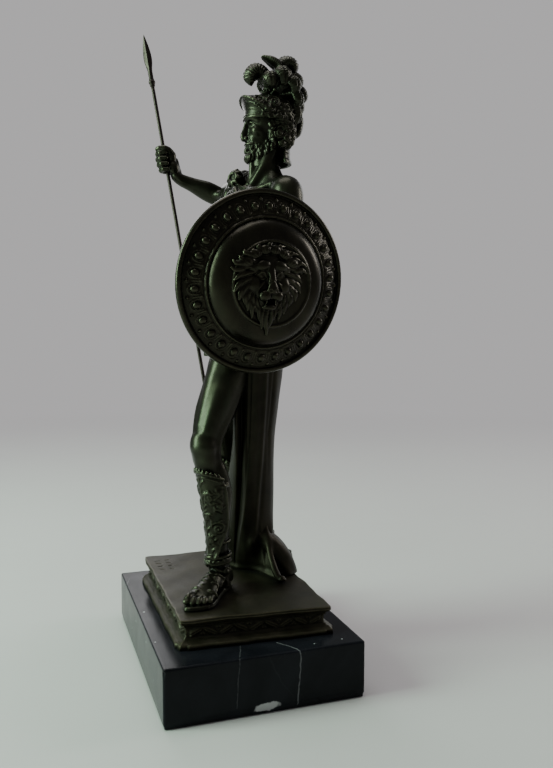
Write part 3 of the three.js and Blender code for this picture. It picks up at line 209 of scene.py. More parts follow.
def outline(poly, x, y):
    """Signed distance to a closed polygon in a plane, negative inside."""
    d = np.full(x.shape, 1e9, F32)
    ins = np.zeros(x.shape, bool)
    n = len(poly)
    for i in range(n):
        (ax, ay), (bx, by) = poly[i], poly[(i + 1) % n]
        ex, ey = F32(bx - ax), F32(by - ay)
        wx, wy = x - F32(ax), y - F32(ay)
        t = np.clip((wx * ex + wy * ey) / (ex * ex + ey * ey), 0, 1)
        d = np.minimum(d, (wx - t * ex) ** 2 + (wy - t * ey) ** 2)
        if abs(ey) > 1e-9:
            ins ^= ((ay <= y) != (by <= y)) & (wx < wy * (ex / ey))
    return np.sqrt(d) * np.where(ins, F32(-1), F32(1))


class Field:
    """Any formula, with the box outside which it doesn't matter."""

    def __init__(self, f, lo, hi):
        self.f, self.lo, self.hi = f, np.asarray(lo, float), np.asarray(hi, float)

    def __call__(self, P, lo=None, hi=None):
        return self.f(P).astype(F32)


class Layer:
    """Shapes joined, cut and displaced in order."""

    def __init__(self, join=0.25, m=None, at=(0, 0, 0)):
        self.join, self.ops, self.packed = join, [], None
        self.m = None if m is None else np.asarray(m, float)
        self.o = np.asarray(at, float)

    def add(self, prim, k=1.0):
        self.ops.append(("+", prim, k))
        return self

    def cut(self, prim, k=0.3):
        self.ops.append(("-", prim, k))
        return self

    def keep(self, prim, k=0.3):
        self.ops.append(("&", prim, k))
        return self

    def push(self, f, lo, hi):
        """Raise the surface by f(P) millimetres inside the box."""
        self.ops.append(("d", Field(f, lo, hi), 0))
        return self

    def pack(self):
        self.LO = np.array([p.lo for _, p, _ in self.ops])
        self.HI = np.array([p.hi for _, p, _ in self.ops])
        self.K = np.array([k for _, _, k in self.ops])[:, None]
        self.packed = len(self.ops)

    def value(self, P, lo, hi, far):
        if self.m is not None:
            P = (P - self.o.astype(F32)) @ self.m.astype(F32)
            lo, hi = P.reshape(-1, 3).min(0), P.reshape(-1, 3).max(0)
        return self.local(P, lo, hi, far)

    def local(self, P, lo, hi, far, upto=None):
        if self.packed != len(self.ops):
            self.pack()
        pad = self.K + far
        on = ((self.LO - pad <= hi) & (self.HI + pad >= lo)).all(1)
        if not on.any():
            return None
        D = None
        for i, (op, prim, k) in enumerate(self.ops[:upto]):
            if not on[i]:
                if op == "&" and D is not None:
                    D = np.full(D.shape, far, F32)
                continue
            if op == "d":
                if D is not None:
                    D = D - prim(P)
                continue
            if op != "+" and D is None:
                continue
            v = prim(P, lo - (k + far), hi + (k + far))
            if v is None:
                continue
            if op == "+":
                D = v if D is None else smin(D, v, k)
            elif op == "-":
                D = smax(D, -v, k)
            else:
                D = smax(D, v, k)
        return D

    def slope(self, p, upto=None, far=9.0):
        """Distance to the surface and its outward direction at local points."""
        e = F32(0.08)
        O = np.array([[0, 0, 0], [e, 0, 0], [-e, 0, 0], [0, e, 0], [0, -e, 0], [0, 0, e], [0, 0, -e]], F32)
        A = (p[None] + O[:, None]).astype(F32)
        D = self.local(A, A.reshape(-1, 3).min(0), A.reshape(-1, 3).max(0), far, upto)
        g = np.stack([D[1] - D[2], D[3] - D[4], D[5] - D[6]], -1) / (2 * e)
        return D[0], g / (np.linalg.norm(g, axis=-1, keepdims=True) + 1e-6)

    def snap(self, pts, off=0.0, rounds=5, upto=None):
        """Lays local points on the layer's surface, `off` above it."""
        p = np.asarray(pts, F32)
        for _ in range(rounds):
            d, n = self.slope(p, upto)
            p = p - (np.clip(d - off, -3, 3)[:, None] * n).astype(F32)
        return p, n


def field(layers, P, far=1.5):
    lo, hi = P.reshape(-1, 3).min(0), P.reshape(-1, 3).max(0)
    F = None
    for L in layers:
        D = L.value(P, lo, hi, far)
        if D is None:
            continue
        F = D if F is None else smin(F, D, L.join)
    return np.full(P.shape[:-1], far, F32) if F is None else F.astype(F32)


def polygonise(layers, lo, hi, h, clip=None):
    """Surface net of the layers' union over a box, with cells of size h. Where clip(P) > 0 there is nothing."""
    lo = np.asarray(lo, float)
    B, S = 24, 4
    n = np.ceil((np.asarray(hi, float) - lo) / h / B).astype(int) * B
    nc = n // S
    for L in layers:
        L.pack()

    def fn(P, far):
        F = field(layers, P, far)
        return F if clip is None else np.maximum(F, clip(P).astype(F32))

    C = np.empty(tuple(nc + 1), F32)
    ax = [F32(lo[i] + h * S * np.arange(nc[i] + 1)) for i in range(3)]
    step = 8

    def coarse(ijk):
        i, j, k = ijk
        P = np.stack(np.meshgrid(ax[0][i:i + step], ax[1][j:j + step], ax[2][k:k + step], indexing="ij"), -1)
        C[i:i + step, j:j + step, k:k + step] = fn(P, 3.0 * h * S)

    F = np.empty(tuple(n + 1), F32)
    fx = [F32(lo[i] + h * np.arange(n[i] + 1)) for i in range(3)]
    nb, b, near = n // B, B // S, 2.0 * h * S

    def fine(ijk):
        s = tuple(slice(v * B, v * B + B + 1) for v in ijk)
        P = np.stack(np.meshgrid(*(fx[a][s[a]] for a in range(3)), indexing="ij"), -1)
        F[s] = fn(P, 2.5 * h)

    with ThreadPoolExecutor(4) as pool:
        list(pool.map(coarse, [(i, j, k) for i in range(0, nc[0] + 1, step) for j in range(0, nc[1] + 1, step) for k in range(0, nc[2] + 1, step)]))
        todo = []
        for i in range(nb[0]):
            for j in range(nb[1]):
                for k in range(nb[2]):
                    c = C[i * b:i * b + b + 1, j * b:j * b + b + 1, k * b:k * b + b + 1]
                    if np.abs(c).min() < near or (c.min() < 0) != (c.max() < 0):
                        todo.append((i, j, k))
                    else:
                        F[i * B:i * B + B + 1, j * B:j * B + B + 1, k * B:k * B + B + 1] = c[0, 0, 0]
        list(pool.map(fine, todo))
    for a in range(3):          # the grid's shell counts as outside, so the surface is closed
        for e in (0, -1):
            s = [slice(None)] * 3
            s[a] = e
            F[tuple(s)] = np.maximum(F[tuple(s)], 1e-3)
    return net(F, lo, h)


def net(F, lo, h):
    N = F < 0
    sub = lambda dx, dy, dz: N[dx:N.shape[0] - 1 + dx, dy:N.shape[1] - 1 + dy, dz:N.shape[2] - 1 + dz]
    corners = [(0, 0, 0), (1, 0, 0), (0, 1, 0), (1, 1, 0), (0, 0, 1), (1, 0, 1), (0, 1, 1), (1, 1, 1)]
    some, every = sub(0, 0, 0).copy(), sub(0, 0, 0).copy()
    for c in corners[1:]:
        some |= sub(*c)
        every &= sub(*c)
    mixed = some & ~every
    I = np.argwhere(mixed)
    idx = np.full(mixed.shape, -1, np.int32)
    idx[mixed] = np.arange(len(I), dtype=np.int32)
    V = np.stack([F[I[:, 0] + c[0], I[:, 1] + c[1], I[:, 2] + c[2]] for c in corners], 1).astype(np.float64)
    acc, cnt = np.zeros((len(I), 3)), np.zeros(len(I))
    for p, q in [(0, 1), (2, 3), (4, 5), (6, 7), (0, 2), (1, 3), (4, 6), (5, 7), (0, 4), (1, 5), (2, 6), (3, 7)]:
        u, v = V[:, p], V[:, q]
        m = (u < 0) != (v < 0)
        t = np.where(m, u / np.where(m, u - v, 1), 0)
        cp, cq = np.array(corners[p]), np.array(corners[q])
        acc += m[:, None] * (cp + t[:, None] * (cq - cp))
        cnt += m
    X = lo + h * (I + acc / cnt[:, None])
    quads = []
    for a in range(3):
        b, c = (a + 1) % 3, (a + 2) % 3
        s0, s1 = [slice(None)] * 3, [slice(None)] * 3
        s0[a], s1[a] = slice(None, -1), slice(1, None)
        u, v = N[tuple(s0)], N[tuple(s1)]
        E = np.argwhere(u != v)
        E = E[(E[:, b] > 0) & (E[:, c] > 0) & (E[:, b] < N.shape[b] - 1) & (E[:, c] < N.shape[c] - 1)]
        inside = u[E[:, 0], E[:, 1], E[:, 2]]
        cells = []
        for ob, oc in ((-1, -1), (0, -1), (0, 0), (-1, 0)):
            k = E.copy()
            k[:, b] += ob
            k[:, c] += oc
            cells.append(idx[k[:, 0], k[:, 1], k[:, 2]])
        q = np.stack(cells, 1)
        q[~inside] = q[~inside][:, ::-1]
        quads.append(q)
    return X, np.concatenate(quads)


def biggest(X, Q, least=400):
    """Drops loose crumbs: bodies with fewer than `least` faces."""
    n = len(X)
    lab = np.arange(n)
    E = np.concatenate([Q[:, [0, 1]], Q[:, [1, 2]], Q[:, [2, 3]], Q[:, [3, 0]]])
    while True:
        m = np.minimum(lab[E[:, 0]], lab[E[:, 1]])
        new = lab.copy()
        np.minimum.at(new, E[:, 0], m)
        np.minimum.at(new, E[:, 1], m)
        new = new[new]
        new = new[new]
        if (new == lab).all():
            break
        lab = new
    fl = lab[Q[:, 0]]
    ids, cnt = np.unique(fl, return_counts=True)
    ok = np.isin(fl, ids[cnt >= least])
    Q = Q[ok]
    use = np.unique(Q)
    m = np.full(n, -1)
    m[use] = np.arange(len(use))
    return X[use], m[Q]


def relax(X, Q, rounds=1, f=0.4):
    n = len(X)
    for _ in range(rounds):
        S, c = np.zeros_like(X), np.zeros(n)
        for a, b in ((0, 1), (1, 2), (2, 3), (3, 0)):
            for k in range(3):
                S[:, k] += np.bincount(Q[:, a], X[Q[:, b], k], n) + np.bincount(Q[:, b], X[Q[:, a], k], n)
            c += np.bincount(Q[:, a], minlength=n) + np.bincount(Q[:, b], minlength=n)
        X = X + f * (S / c[:, None] - X)
    return X

# ---------------------------------------------------------------- head, helmet and plume
# Local frame of the head: origin at its middle, -Y is where it looks, +X its left.
HEAD_C, HEAD_M = (0.0, 28.5, 349.0), rot(0, 0, -2)
BOWL_C, BOWL_R = np.array([0, 0.8, 6.2]), np.array([14.4, 17.2, 14.6])


def curl(c, n, r, turns, wire, start=0.0, dome=0.35, steps=7):
    """Spiral lock of hair lying on a surface with normal n."""
    n = unit(n)
    u = unit(np.cross(n, (0.1, 0.2, 1)))
    v = np.cross(n, u)
    k = int(steps * abs(turns)) + 3
    pts, rad = [], []
    for i in range(k + 1):
        t = i / k
        w = start + 2 * math.pi * turns * t
        q = r * (1 - 0.86 * t)
        pts.append(np.asarray(c) + u * q * math.cos(w) + v * q * math.sin(w) + n * r * dome * t)
        rad.append(wire * (0.75 + 0.45 * t))
    return Tube(pts, rad)


def face(L):
    L.add(Ball((0, 1.4, 5.0), (12.8, 15.6, 14.2)))
    L.add(Ball((0, -7.0, 5.6), (10.8, 9.0, 8.6)), 3)
    L.add(Ball((0, -5.6, -6.0), (9.6, 9.2, 11.4)), 4)
    for s in (-1, 1):
        L.add(Ball((s * 6.3, -9.7, -4.6), (3.9, 4.3, 3.3), rot(0, 0, s * 24)), 2.6)          # cheek bones
        L.add(Tube([(s * 3.2, -10.2, -18.6), (s * 6.4, -5.8, -17.0), (s * 8.0, -0.4, -13.4), (s * 8.8, 2.6, -6.0)], [2.8, 2.7, 2.7, 2.6], 3), 3)
        L.add(Ball((s * 9.5, -3.0, 1.5), (2.5, 5.6, 5.0)), 3)
    L.add(Ball((0, -10.6, -10.6), (6.2, 5.4, 5.4)), 3)
    L.add(Ball((0, -11.0, -18.8), (4.1, 4.3, 3.6)), 2.6)
    # nose in line with the forehead
    L.add(Limb([(0, -14.2, 4.2, 2.4, 1.8), (0, -15.0, 0.6, 1.7, 2.1), (0, -16.1, -3.4, 1.6, 2.3), (0, -17.3, -6.6, 1.95, 2.3), (0, -17.4, -8.4, 2.2, 2.0)], steps=3), 1.6)
    for s in (-1, 1):
        L.add(Ball((s * 1.85, -15.6, -8.7), (1.5, 2.0, 1.35), rot(0, 0, s * 20)), 0.7)
        L.cut(Ball((s * 1.15, -16.6, -10.2), (0.62, 1.15, 0.55)), 0.4)
        # brow, socket, eyeball between its lids
        L.add(Tube([(s * 1.9, -14.6, 2.4), (s * 4.4, -14.9, 3.3), (s * 7.2, -13.2, 3.0), (s * 9.2, -10.6, 1.5)], [1.2, 1.35, 1.3, 1.1], 3), 1.6)
        L.cut(Ball((s * 4.7, -15.2, -0.3), (3.3, 2.7, 2.0), rot(0, 0, s * 12)), 1.5)
        L.add(Ball((s * 4.6, -11.45, -0.3), (2.75, 2.4, 2.3)), 0.3)
        L.add(Tube([(s * 2.3, -13.5, -0.7), (s * 3.3, -14.2, 0.6), (s * 4.7, -14.3, 1.0), (s * 6.2, -13.6, 0.6), (s * 7.6, -12.1, -0.6)], [0.4, 0.55, 0.6, 0.55, 0.4], 3), 0.35)
        L.add(Tube([(s * 2.4, -13.4, -0.9), (s * 3.6, -13.9, -1.7), (s * 5.0, -13.8, -1.9), (s * 6.6, -12.9, -1.4), (s * 7.6, -12.0, -0.8)], [0.35, 0.45, 0.48, 0.42, 0.35], 3), 0.35)
        # fold from the nostril's wing
        L.cut(Tube([(s * 3.6, -15.4, -8.6), (s * 4.9, -14.5, -11.2), (s * 5.6, -13.2, -13.6)], [0.35, 0.5, 0.3], 3), 1.2)
    # lips
    L.add(Tube([(-3.7, -13.8, -13.7), (-1.5, -15.6, -12.9), (0, -15.6, -13.2), (1.5, -15.6, -12.9), (3.7, -13.8, -13.7)], [0.5, 0.85, 0.8, 0.85, 0.5], 3), 0.6)
    L.add(Tube([(-3.2, -13.8, -14.9), (0, -15.4, -15.3), (3.2, -13.8, -14.9)], [0.55, 1.05, 0.55], 3), 0.6)
    L.cut(Tube([(-3.9, -14.4, -14.1), (-1.6, -16.3, -13.9), (0, -16.6, -14.1), (1.6, -16.3, -13.9), (3.9, -14.4, -14.1)], 0.24, 3), 0.35)
    L.cut(Ball((0, -16.6, -17.0), (2.6, 1.3, 0.8)), 1.2)
    # ears
    for s in (-1, 1):
        L.add(Ball((s * 11.5, 3.2, -6.2), (1.6, 2.6, 3.9), rot(-14, 0, 0)), 1.0)
        L.add(Tube([(s * 12.2, 1.0, -5.2), (s * 13.0, 2.2, -2.4), (s * 13.3, 4.8, -2.2), (s * 13.1, 6.0, -5.0), (s * 12.5, 4.4, -8.6), (s * 12.1, 2.6, -10.0)], [0.55, 0.7, 0.75, 0.7, 0.8, 0.9], 3), 0.4)
        L.cut(Ball((s * 13.5, 3.2, -6.0), (0.9, 1.5, 2.2), rot(-14, 0, 0)), 0.5)


def hair(L):
    rng = np.random.default_rng(11)
    for s in (-1, 1):
        # curls in front of, over and behind the ear, down to the nape
        L.add(Ball((s * 9.6, 4.6, -2.0), (3.2, 9.6, 6.4)), 1)
        L.add(Ball((s * 8.6, 8.2, -8.4), (3.8, 6.0, 7.4)), 3)
        L.add(Ball((s * 10.4, -1.8, -5.4), (1.7, 2.0, 6.0)), 1)
        base = len(L.ops)
        spots = [(-4.6, 1.4, 1.7), (-1.8, 1.2, 2.0), (1.4, 1.2, 2.1), (4.8, 1.2, 2.2), (8.0, 0.8, 2.4), (11.2, -0.8, 2.4), (-2.9, -1.7, 1.5), (-1.2, -3.9, 1.45), (-2.4, -6.0, 1.5), (-0.9, -8.2, 1.45), (-1.0, -0.9, 1.2), (7.6, -2.2, 2.2),
                 (9.2, -5.0, 2.5), (7.4, -8.4, 2.3), (12.6, -4.6, 2.4), (5.4, -11.4, 2.1), (9.0, -11.2, 2.4), (12.6, -8.6, 2.3), (3.0, -13.2, 1.8), (6.4, -14.4, 2.1), (9.8, -14.6, 2.1), (12.4, -12.4, 2.1), (-3.6, -0.6, 1.3)]
        for y, z, r in spots:
            q, n = L.snap([(s * 14.0, y, z)], 0.0, 8, base)
            q, n = q[0], n[0]
            L.add(Ball(q - 0.8 * n, r * 0.92), 0.5)
            L.add(curl(q + 0.75 * n, n, r, s * (1.6 + 0.3 * rng.random()), 0.56, rng.random() * 6.28), 0.15)
        # beard on jaw and cheek: short waved locks in three rows
        for row, (lift, n) in enumerate([(0.0, 13), (3.0, 12), (5.6, 8)]):
            for i in range(n):
                t = (i + 0.5 * (row % 2)) / 12.0
                a = catmull([(0.8, -14.6, -20.6), (5.2, -11.4, -19.6), (8.7, -5.4, -17.2), (10.9, -0.8, -12.8), (11.7, 0.2, -7.2)], 6)
                j = min(t, 0.999) * (len(a) - 1)
                p = a[int(j)] * (1 - j % 1) + a[min(int(j) + 1, len(a) - 1)] * (j % 1)
                out = unit((p[0] / 9 + 0.15, (p[1] + 1) / 14, -0.25))
                up = np.array([-0.12 * out[0], 0.05, 1.0])
                root = p + up * lift - out * (0.2 + 0.12 * row) + np.array([-0.02 * lift, -0.25 * lift * (1 - t), 0])
                side = unit(np.cross(out, (0, 0, 1)))
                bend = (0.9 if i % 2 else -0.7) * (0.7 + 0.5 * rng.random())
                ln = 2.6 + 0.9 * rng.random()
                pts = [root + up * 1.2, root + out * 0.7 + side * bend * 0.35, root + out * 0.8 - up * ln * 0.55 + side * bend, root + out * 0.2 - up * ln + side * bend * 0.1]
                pts = [q * np.array([s, 1, 1]) for q in pts]
                L.add(Tube(pts, [0.6, 1.0, 0.85, 0.35], 2), 0.22)
        L.add(Tube([(s * 0.4, -16.5, -11.9), (s * 2.4, -15.8, -12.0), (s * 4.4, -14.4, -12.3), (s * 6.2, -12.4, -12.2)], [0.5, 0.8, 0.7, 0.35], 3), 0.3)
    # tuft under the lower lip and on the chin
    for x, z, l in [(0, -16.6, 2.0), (-1.1, -16.9, 1.7), (1.1, -16.9, 1.7)]:
        L.add(Tube([(x, -15.2, z), (x * 1.2, -15.8, z - 0.9), (x * 1.1, -15.2, z - l)], [0.35, 0.55, 0.3], 2), 0.2)
    for i in range(7):
        x = -4.2 + 1.4 * i
        y = -15.2 + 0.10 * x * x
        L.add(Tube([(x, y, -18.4), (x * 1.12, y - 0.9, -20.2), (x * 1.0 + (0.5 if i % 2 else -0.5), y - 0.5, -22.2), (x * 0.8, y + 0.9, -23.9)], [0.8, 1.15, 1.0, 0.35], 3), 0.25)
    # nape
    for i in range(9):
        w = math.radians(-68 + 17 * i)
        for z, r in [(-6.5, 2.2), (-10.6, 2.0)]:
            c = np.array([10.6 * math.sin(w), 2.4 + 11.0 * math.cos(w), z + 0.8 * (i % 2)])
            L.add(Ball(c - 0.5 * unit((c[0], c[1] - 2, 0)), (r, r, r)), 0.8)


def ear_curls(L):
    for s in (-1, 1):
        for (y, z), r, t in (((2.6, -6.8), 3.6, 1.7), ((7.6, -9.2), 3.3, -1.6), ((4.6, -12.6), 2.5, 1.5)):
            c, n = np.array([s * 12.6, y, z]), unit((s, 0.12, -0.1))
            L.add(Ball(c - n * 1.2, (2.2, r, r)), 0.4)
            L.add(curl(c + n * 0.9, n, r * 0.86, t, 0.95), 0.2)


def peak_rim(w):
    """Rim of the upturned peak at the angle w from the front: (direction x, direction y, radius, height)."""
    c = max(math.cos(w), 0.0)
    rb = 1 / math.sqrt((math.sin(w) / BOWL_R[0]) ** 2 + (math.cos(w) / BOWL_R[1]) ** 2)
    return math.sin(w), -math.cos(w), rb + 0.5 + 2.1 * c + 1.5 * math.exp(-((abs(w) - 0.62) / 0.42) ** 2), 7.2 + 10.8 * c ** 2.0


def helmet(L):
    # bowl, open over the face and the ears
    L.add(Ball(BOWL_C, BOWL_R))
    edge = lambda P: (np.where(P[..., 1] < 0, 3.0, np.where(P[..., 1] < 12, 3.0 - 0.26 * P[..., 1], -0.12 + 0 * P[..., 1])) - P[..., 2]) * 0.95
    L.keep(Field(edge, (-30, -40, -40), (30, 40, 60)), 0.5)

    # upturned peak over the brow: concave in front, its rim swept down to the temples
    def peak(P):
        x, y, z = P[..., 0], P[..., 1] - F32(BOWL_C[1]), P[..., 2]
        w = np.arctan2(x, -y)
        c = np.clip(np.cos(w), 0, 1)
        r = np.sqrt(x * x + y * y)
        rb = 1 / np.sqrt((np.sin(w) / F32(BOWL_R[0])) ** 2 + (np.cos(w) / F32(BOWL_R[1])) ** 2)
        rr, zr = rb + 0.5 + 2.1 * c + 1.5 * gauss(np.abs(w) - F32(0.62), F32(0.42)), 7.2 + 10.8 * c * c
        s = np.clip((z - 4.2) / (zr - 4.2), 0, 1)
        front = (r - (rb - 0.5 + (rr - rb + 0.5) * s ** 1.7)) * 0.85
        top = (z - (zr + 0.2 * np.clip(rr - r, 0, 12) * c + 1.2 * (1 - c) * np.clip(rr - r, 0, 4))) * 0.9
        low = 3.6 - z
        back = (0.30 - c) * 9
        return np.maximum(np.maximum(front, top), np.maximum(low, back))

    L.add(Field(peak, (-18, -22, 3), (18, 6, 24)), 0.6)
    rim = []
    for i in range(33):
        w = math.radians(-76 + 4.75 * i)
        dx, dy, r, z = peak_rim(w)
        rim.append((dx * (r - 0.2), BOWL_C[1] + dy * (r - 0.2), z - 0.1))
    L.add(Tube(rim, 0.72), 0.25)
    # raised lines along the side of the peak, and a row of small leaves under its rim
    def on_peak(w, f):
        dx, dy, r, z = peak_rim(w)
        rb = 1 / math.sqrt((math.sin(w) / BOWL_R[0]) ** 2 + (math.cos(w) / BOWL_R[1]) ** 2)
        q = rb - 0.5 + (r - rb + 0.5) * f ** 1.7
        return np.array((dx * q, BOWL_C[1] + dy * q, 4.2 + (z - 4.2) * f))
    for s in (-1, 1):
        for f, r in ((0.42, 0.30), (0.74, 0.34)):
            L.add(Tube([on_peak(s * w, f) for w in np.linspace(0.30, 1.24, 14)], r), 0.25)
        for w in np.linspace(0.26, 1.22, 10):
            L.add(Tube([on_peak(s * w, 0.97), on_peak(s * (w + 0.05), 0.86)], [0.85, 0.4]), 0.2)
    # brow band with a roped edge, running back over the ears
    band = [(14.6 * math.sin(w), 0.4 - 17.0 * math.cos(w), 3.2 + 1.0 * math.cos(w)) for w in [math.radians(-100 + 8 * i) for i in range(26)]]
    L.add(Tube(band, 1.15), 0.4)
    band2 = [(x * 1.035, (y - 0.4) * 1.035 + 0.4, z + 1.5) for x, y, z in band]
    L.add(Tube(band2[2:-2], 0.4), 0.15)
    for s in (-1, 1):
        L.add(Tube([(s * 14.2, 2.8, 2.6), (s * 14.2, 7.0, 1.6), (s * 12.6, 11.0, -0.2), (s * 9.6, 14.6, -3.0)], [0.95, 0.9, 0.9, 0.9], 3), 0.4)

    base = len(L.ops)

    def wire(pts, rad, k=0.2, steps=1):
        p, n = L.snap(pts, 0.05, 6, base)
        rad = np.ones(len(p)) * rad if np.isscalar(rad) else np.asarray(rad, float)
        ok = (n[:, 1] > -0.7) | (p[:, 2] < 4)          # the hollow front of the peak stays smooth
        i = 0
        while i < len(p):
            j = i
            while j < len(p) and ok[j]:
                j += 1
            if j - i > 2:
                L.add(Tube(p[i:j], rad[i:j]), k)
            i = max(j, i) + 1

    # scrolls with leaves on both sides, and on top of the peak
    for s in (-1, 1):
        for cy, cz, size, turns, st in [(-9.4, 13.6, 4.3, 1.5, 0.6), (-0.4, 13.6, 4.9, -1.6, 2.8), (8.8, 10.6, 4.9, 1.6, 3.4), (3.0, 5.6, 3.0, -1.4, 0.6), (-5.4, 7.0, 3.0, 1.4, 3.2), (13.2, 3.8, 3.2, -1.4, 1.6)]:
            pts, rad, k = [], [], int(11 * abs(turns)) + 2
            for i in range(k + 1):
                t = i / k
                w = st + 2 * math.pi * turns * t
                q = size * (1 - 0.86 * t ** 0.85)
                y, z = cy + q * math.cos(w), cz + q * math.sin(w)
                x = 15.0 * math.sqrt(max(1 - ((y - 0.8) / 21.0) ** 2 - (max(z - 4, 0) / 19.5) ** 2, 0.02))
                pts.append((s * x, y, z))
                rad.append(0.86 - 0.18 * t + (0.45 if i == k else 0))
            wire(pts, rad)
            for j in range(4):                      # leaf tips springing from the outside of the scroll
                w = st + 0.5 + 1.15 * j * np.sign(turns)
                e = []
                for q, v in ((size, w), (size + 1.4, w + 0.2 * np.sign(turns)), (size + 2.8, w + 0.6 * np.sign(turns))):
                    y, z = cy + q * math.cos(v), cz + q * math.sin(v)
                    e.append((s * 15.0 * math.sqrt(max(1 - ((y - 0.8) / 21.0) ** 2 - (max(z - 4, 0) / 19.5) ** 2, 0.02)), y, z))
                wire(e, [0.78, 0.74, 0.3], 0.2)
    # socket for the plume and crest ridge to the nape
    L.add(Limb([(0, -2.6, 18.2, 4.4, 4.6), (0, -1.4, 21.4, 3.6, 3.8), (0, -0.6, 24.4, 3.9, 4.0)], steps=2), 1.0)
    L.add(Tube([(0, 3, 20.6), (0, 10, 18.2), (0, 15.4, 12.4), (0, 17.8, 5.0), (0, 17.2, -2.0)], [1.8, 1.7, 1.6, 1.5, 1.4], 3), 0.8)
    for i in range(14):
        w = 2 * math.pi * i / 14
        L.add(Ball((4.1 * math.cos(w), -0.9 + 4.3 * math.sin(w), 22.6), 0.75), 0.2)
    for s in (-1, 1):
        L.add(Ball((s * 7.6, 1.4, 22.2), 1.3), 0.3)
        L.add(Tube([(s * 4, 0.6, 21), (s * 7.4, 1.4, 22)], [1.0, 0.7]), 0.4)

    # neck guard: curved plates below the nape, ribbed across and turned out at the foot
    def guard(P):
        x, y, z = P[..., 0], P[..., 1] - F32(1.6), P[..., 2]
        r = np.sqrt(x * x + y * y)
        w = np.abs(np.arctan2(x, y))
        R = 11.8 + 2.8 * sstep(z, -14.0, 0.0) + 1.2 * sstep(-z, 19.5, 24.0) + 0.38 * np.abs(np.sin(z * (math.pi / 2.6))) * sstep(-z, 7, 10)
        sideways = (w - F32(math.radians(62)) - 0.05 * sstep(-z, 18, 25)) * r
        return np.maximum(np.maximum(np.abs(r - R + 1.2) - 1.2, sideways * 0.9), np.maximum(z + 1.0, -24.0 - z))

    L.add(Field(guard, (-17, 0, -26), (17, 20, 0)), 0.5)
    rimz = [(12.2 * math.sin(w), 1.6 + 12.2 * math.cos(w), -23.6) for w in [math.radians(-62 + 8 * i) for i in range(16)]]
    L.add(Tube(rimz, 0.75), 0.25)


def feather(L, pts, width, thick, across, k=0.35, tip=0.5, pitch=1.7, steps=4, ribs=0.055):
    """Curled feather: a lens-shaped tongue along pts with slanting barbs and a groove along its quill."""
    n = len(pts) - 1
    rows = []
    for i, p in enumerate(pts):
        t = i / n
        f = 0.6 + 0.46 * math.sin(math.pi * min(1.0, 0.10 + 0.72 * t))
        if i == n:
            f = tip
        rows.append((*p, width * f, thick * (f if i < n else 0.75 * tip)))
    d = sum(np.linalg.norm(np.subtract(pts[i + 1], pts[i])) for i in range(n))
    N = d / pitch

    def shape(t, q, P):
        c = np.cos(q)
        u = np.abs(c)
        saw = np.mod(N * t - 1.5 * u, 1.0)
        return 1.0 - ribs * (1 - saw) ** 2 * (0.3 + u) * (u > 0.05) - 0.15 * gauss(c, 0.13) + 0.05 * gauss(u - 0.3, 0.16)

    L.add(Limb(rows, across=across, steps=steps, shape=shape, sharp=1.75), k)


def plume(L):
    X, Yd = (1, 0, 0), (0, 1, 0)
    F = lambda *a, **b: feather(L, *a, **b)
    # the middle row, front to back
    F([(0, 0.0, 23), (0, -2.0, 29.4), (0, -5.6, 34.2), (0, -10.0, 34.9), (0, -13.1, 31.2), (0, -12.4, 26.8)], 6.2, 4.7, X, ribs=0.09)
    F([(0.4, 1.6, 24), (0.9, 5.6, 33), (0.7, 5.2, 39.2), (0.3, 0.8, 42.4), (0, -5.0, 44.6)], 6.2, 2.8, X, tip=0.5)
    F([(-0.6, 3, 24), (-1.0, 6.8, 33), (-0.8, 7.8, 39.4), (-0.4, 11.4, 42.0), (0, 15.4, 40.2), (0.2, 15.8, 34.8)], 6.6, 4.6, X)
    F([(0.6, 4, 22), (1.0, 9.8, 29.6), (1.4, 15.2, 33.0), (1.4, 19.4, 30.6), (1.0, 19.6, 26.2)], 5.4, 3.5, X)
    F([(-0.5, 6, 20), (-1, 13.0, 24.4), (-1.4, 19.8, 26.2), (-1.2, 23.4, 22.4), (-0.8, 22.6, 17.4)], 5.2, 3.5, X)
    F([(0.5, 10, 17), (0.9, 15.6, 18.4), (1.0, 20.0, 16.6), (1.0, 20.4, 12.6), (0.8, 17.8, 10.2)], 4.8, 2.8, X)
    F([(-0.4, 13, 12), (-0.6, 17.6, 11.0), (-0.6, 20.4, 7.2), (-0.4, 20.2, 2.4), (0, 18.8, -2.4), (0, 17.6, -5.4)], 4.8, 2.8, X)
    F([(0, 15.5, 2), (0.2, 16.8, -2), (0.2, 15.0, -7.4), (0, 12.6, -12.4)], 4.2, 2.0, X)
    for s in (-1, 1):
        # side feathers curling outwards, their round tips turned to the viewer on each side
        F([(s * 1.0, 0.2, 23), (s * 3.4, -0.8, 27.4), (s * 6.2, -1.6, 30.2), (s * 8.8, -1.6, 28.6), (s * 9.4, -1.2, 24.2)], 4.8, 3.7, (0.15 * s, 1, 0.1))
        F([(s * 1.8, 3.4, 24), (s * 4.4, 5.4, 30.0), (s * 7.0, 6.4, 33.8), (s * 9.6, 7.0, 31.4), (s * 10.0, 7.4, 25.6)], 5.2, 3.8, (0.0, 1, 0.1))
        F([(s * 2.0, 5.0, 22), (s * 5.4, 9.6, 26.2), (s * 8.4, 12.6, 28.6), (s * 10.4, 14.4, 25.6), (s * 10.2, 14.2, 20.6)], 4.8, 3.5, (-0.3 * s, 1, 0.1))
        F([(s * 2.2, 7.0, 20), (s * 5.6, 12.6, 21.0), (s * 8.0, 16.0, 20.4), (s * 8.6, 17.4, 16.2), (s * 7.4, 16.0, 12.6)], 4.4, 3.1, (-0.6 * s, 1, 0.1))
        F([(s * 2.2, 11.0, 15), (s * 5.4, 15.4, 13.6), (s * 7.0, 17.2, 10.0), (s * 6.6, 16.8, 5.2), (s * 5.4, 15.8, 1.8)], 4.1, 2.7, (-0.8 * s, 0.8, 0))


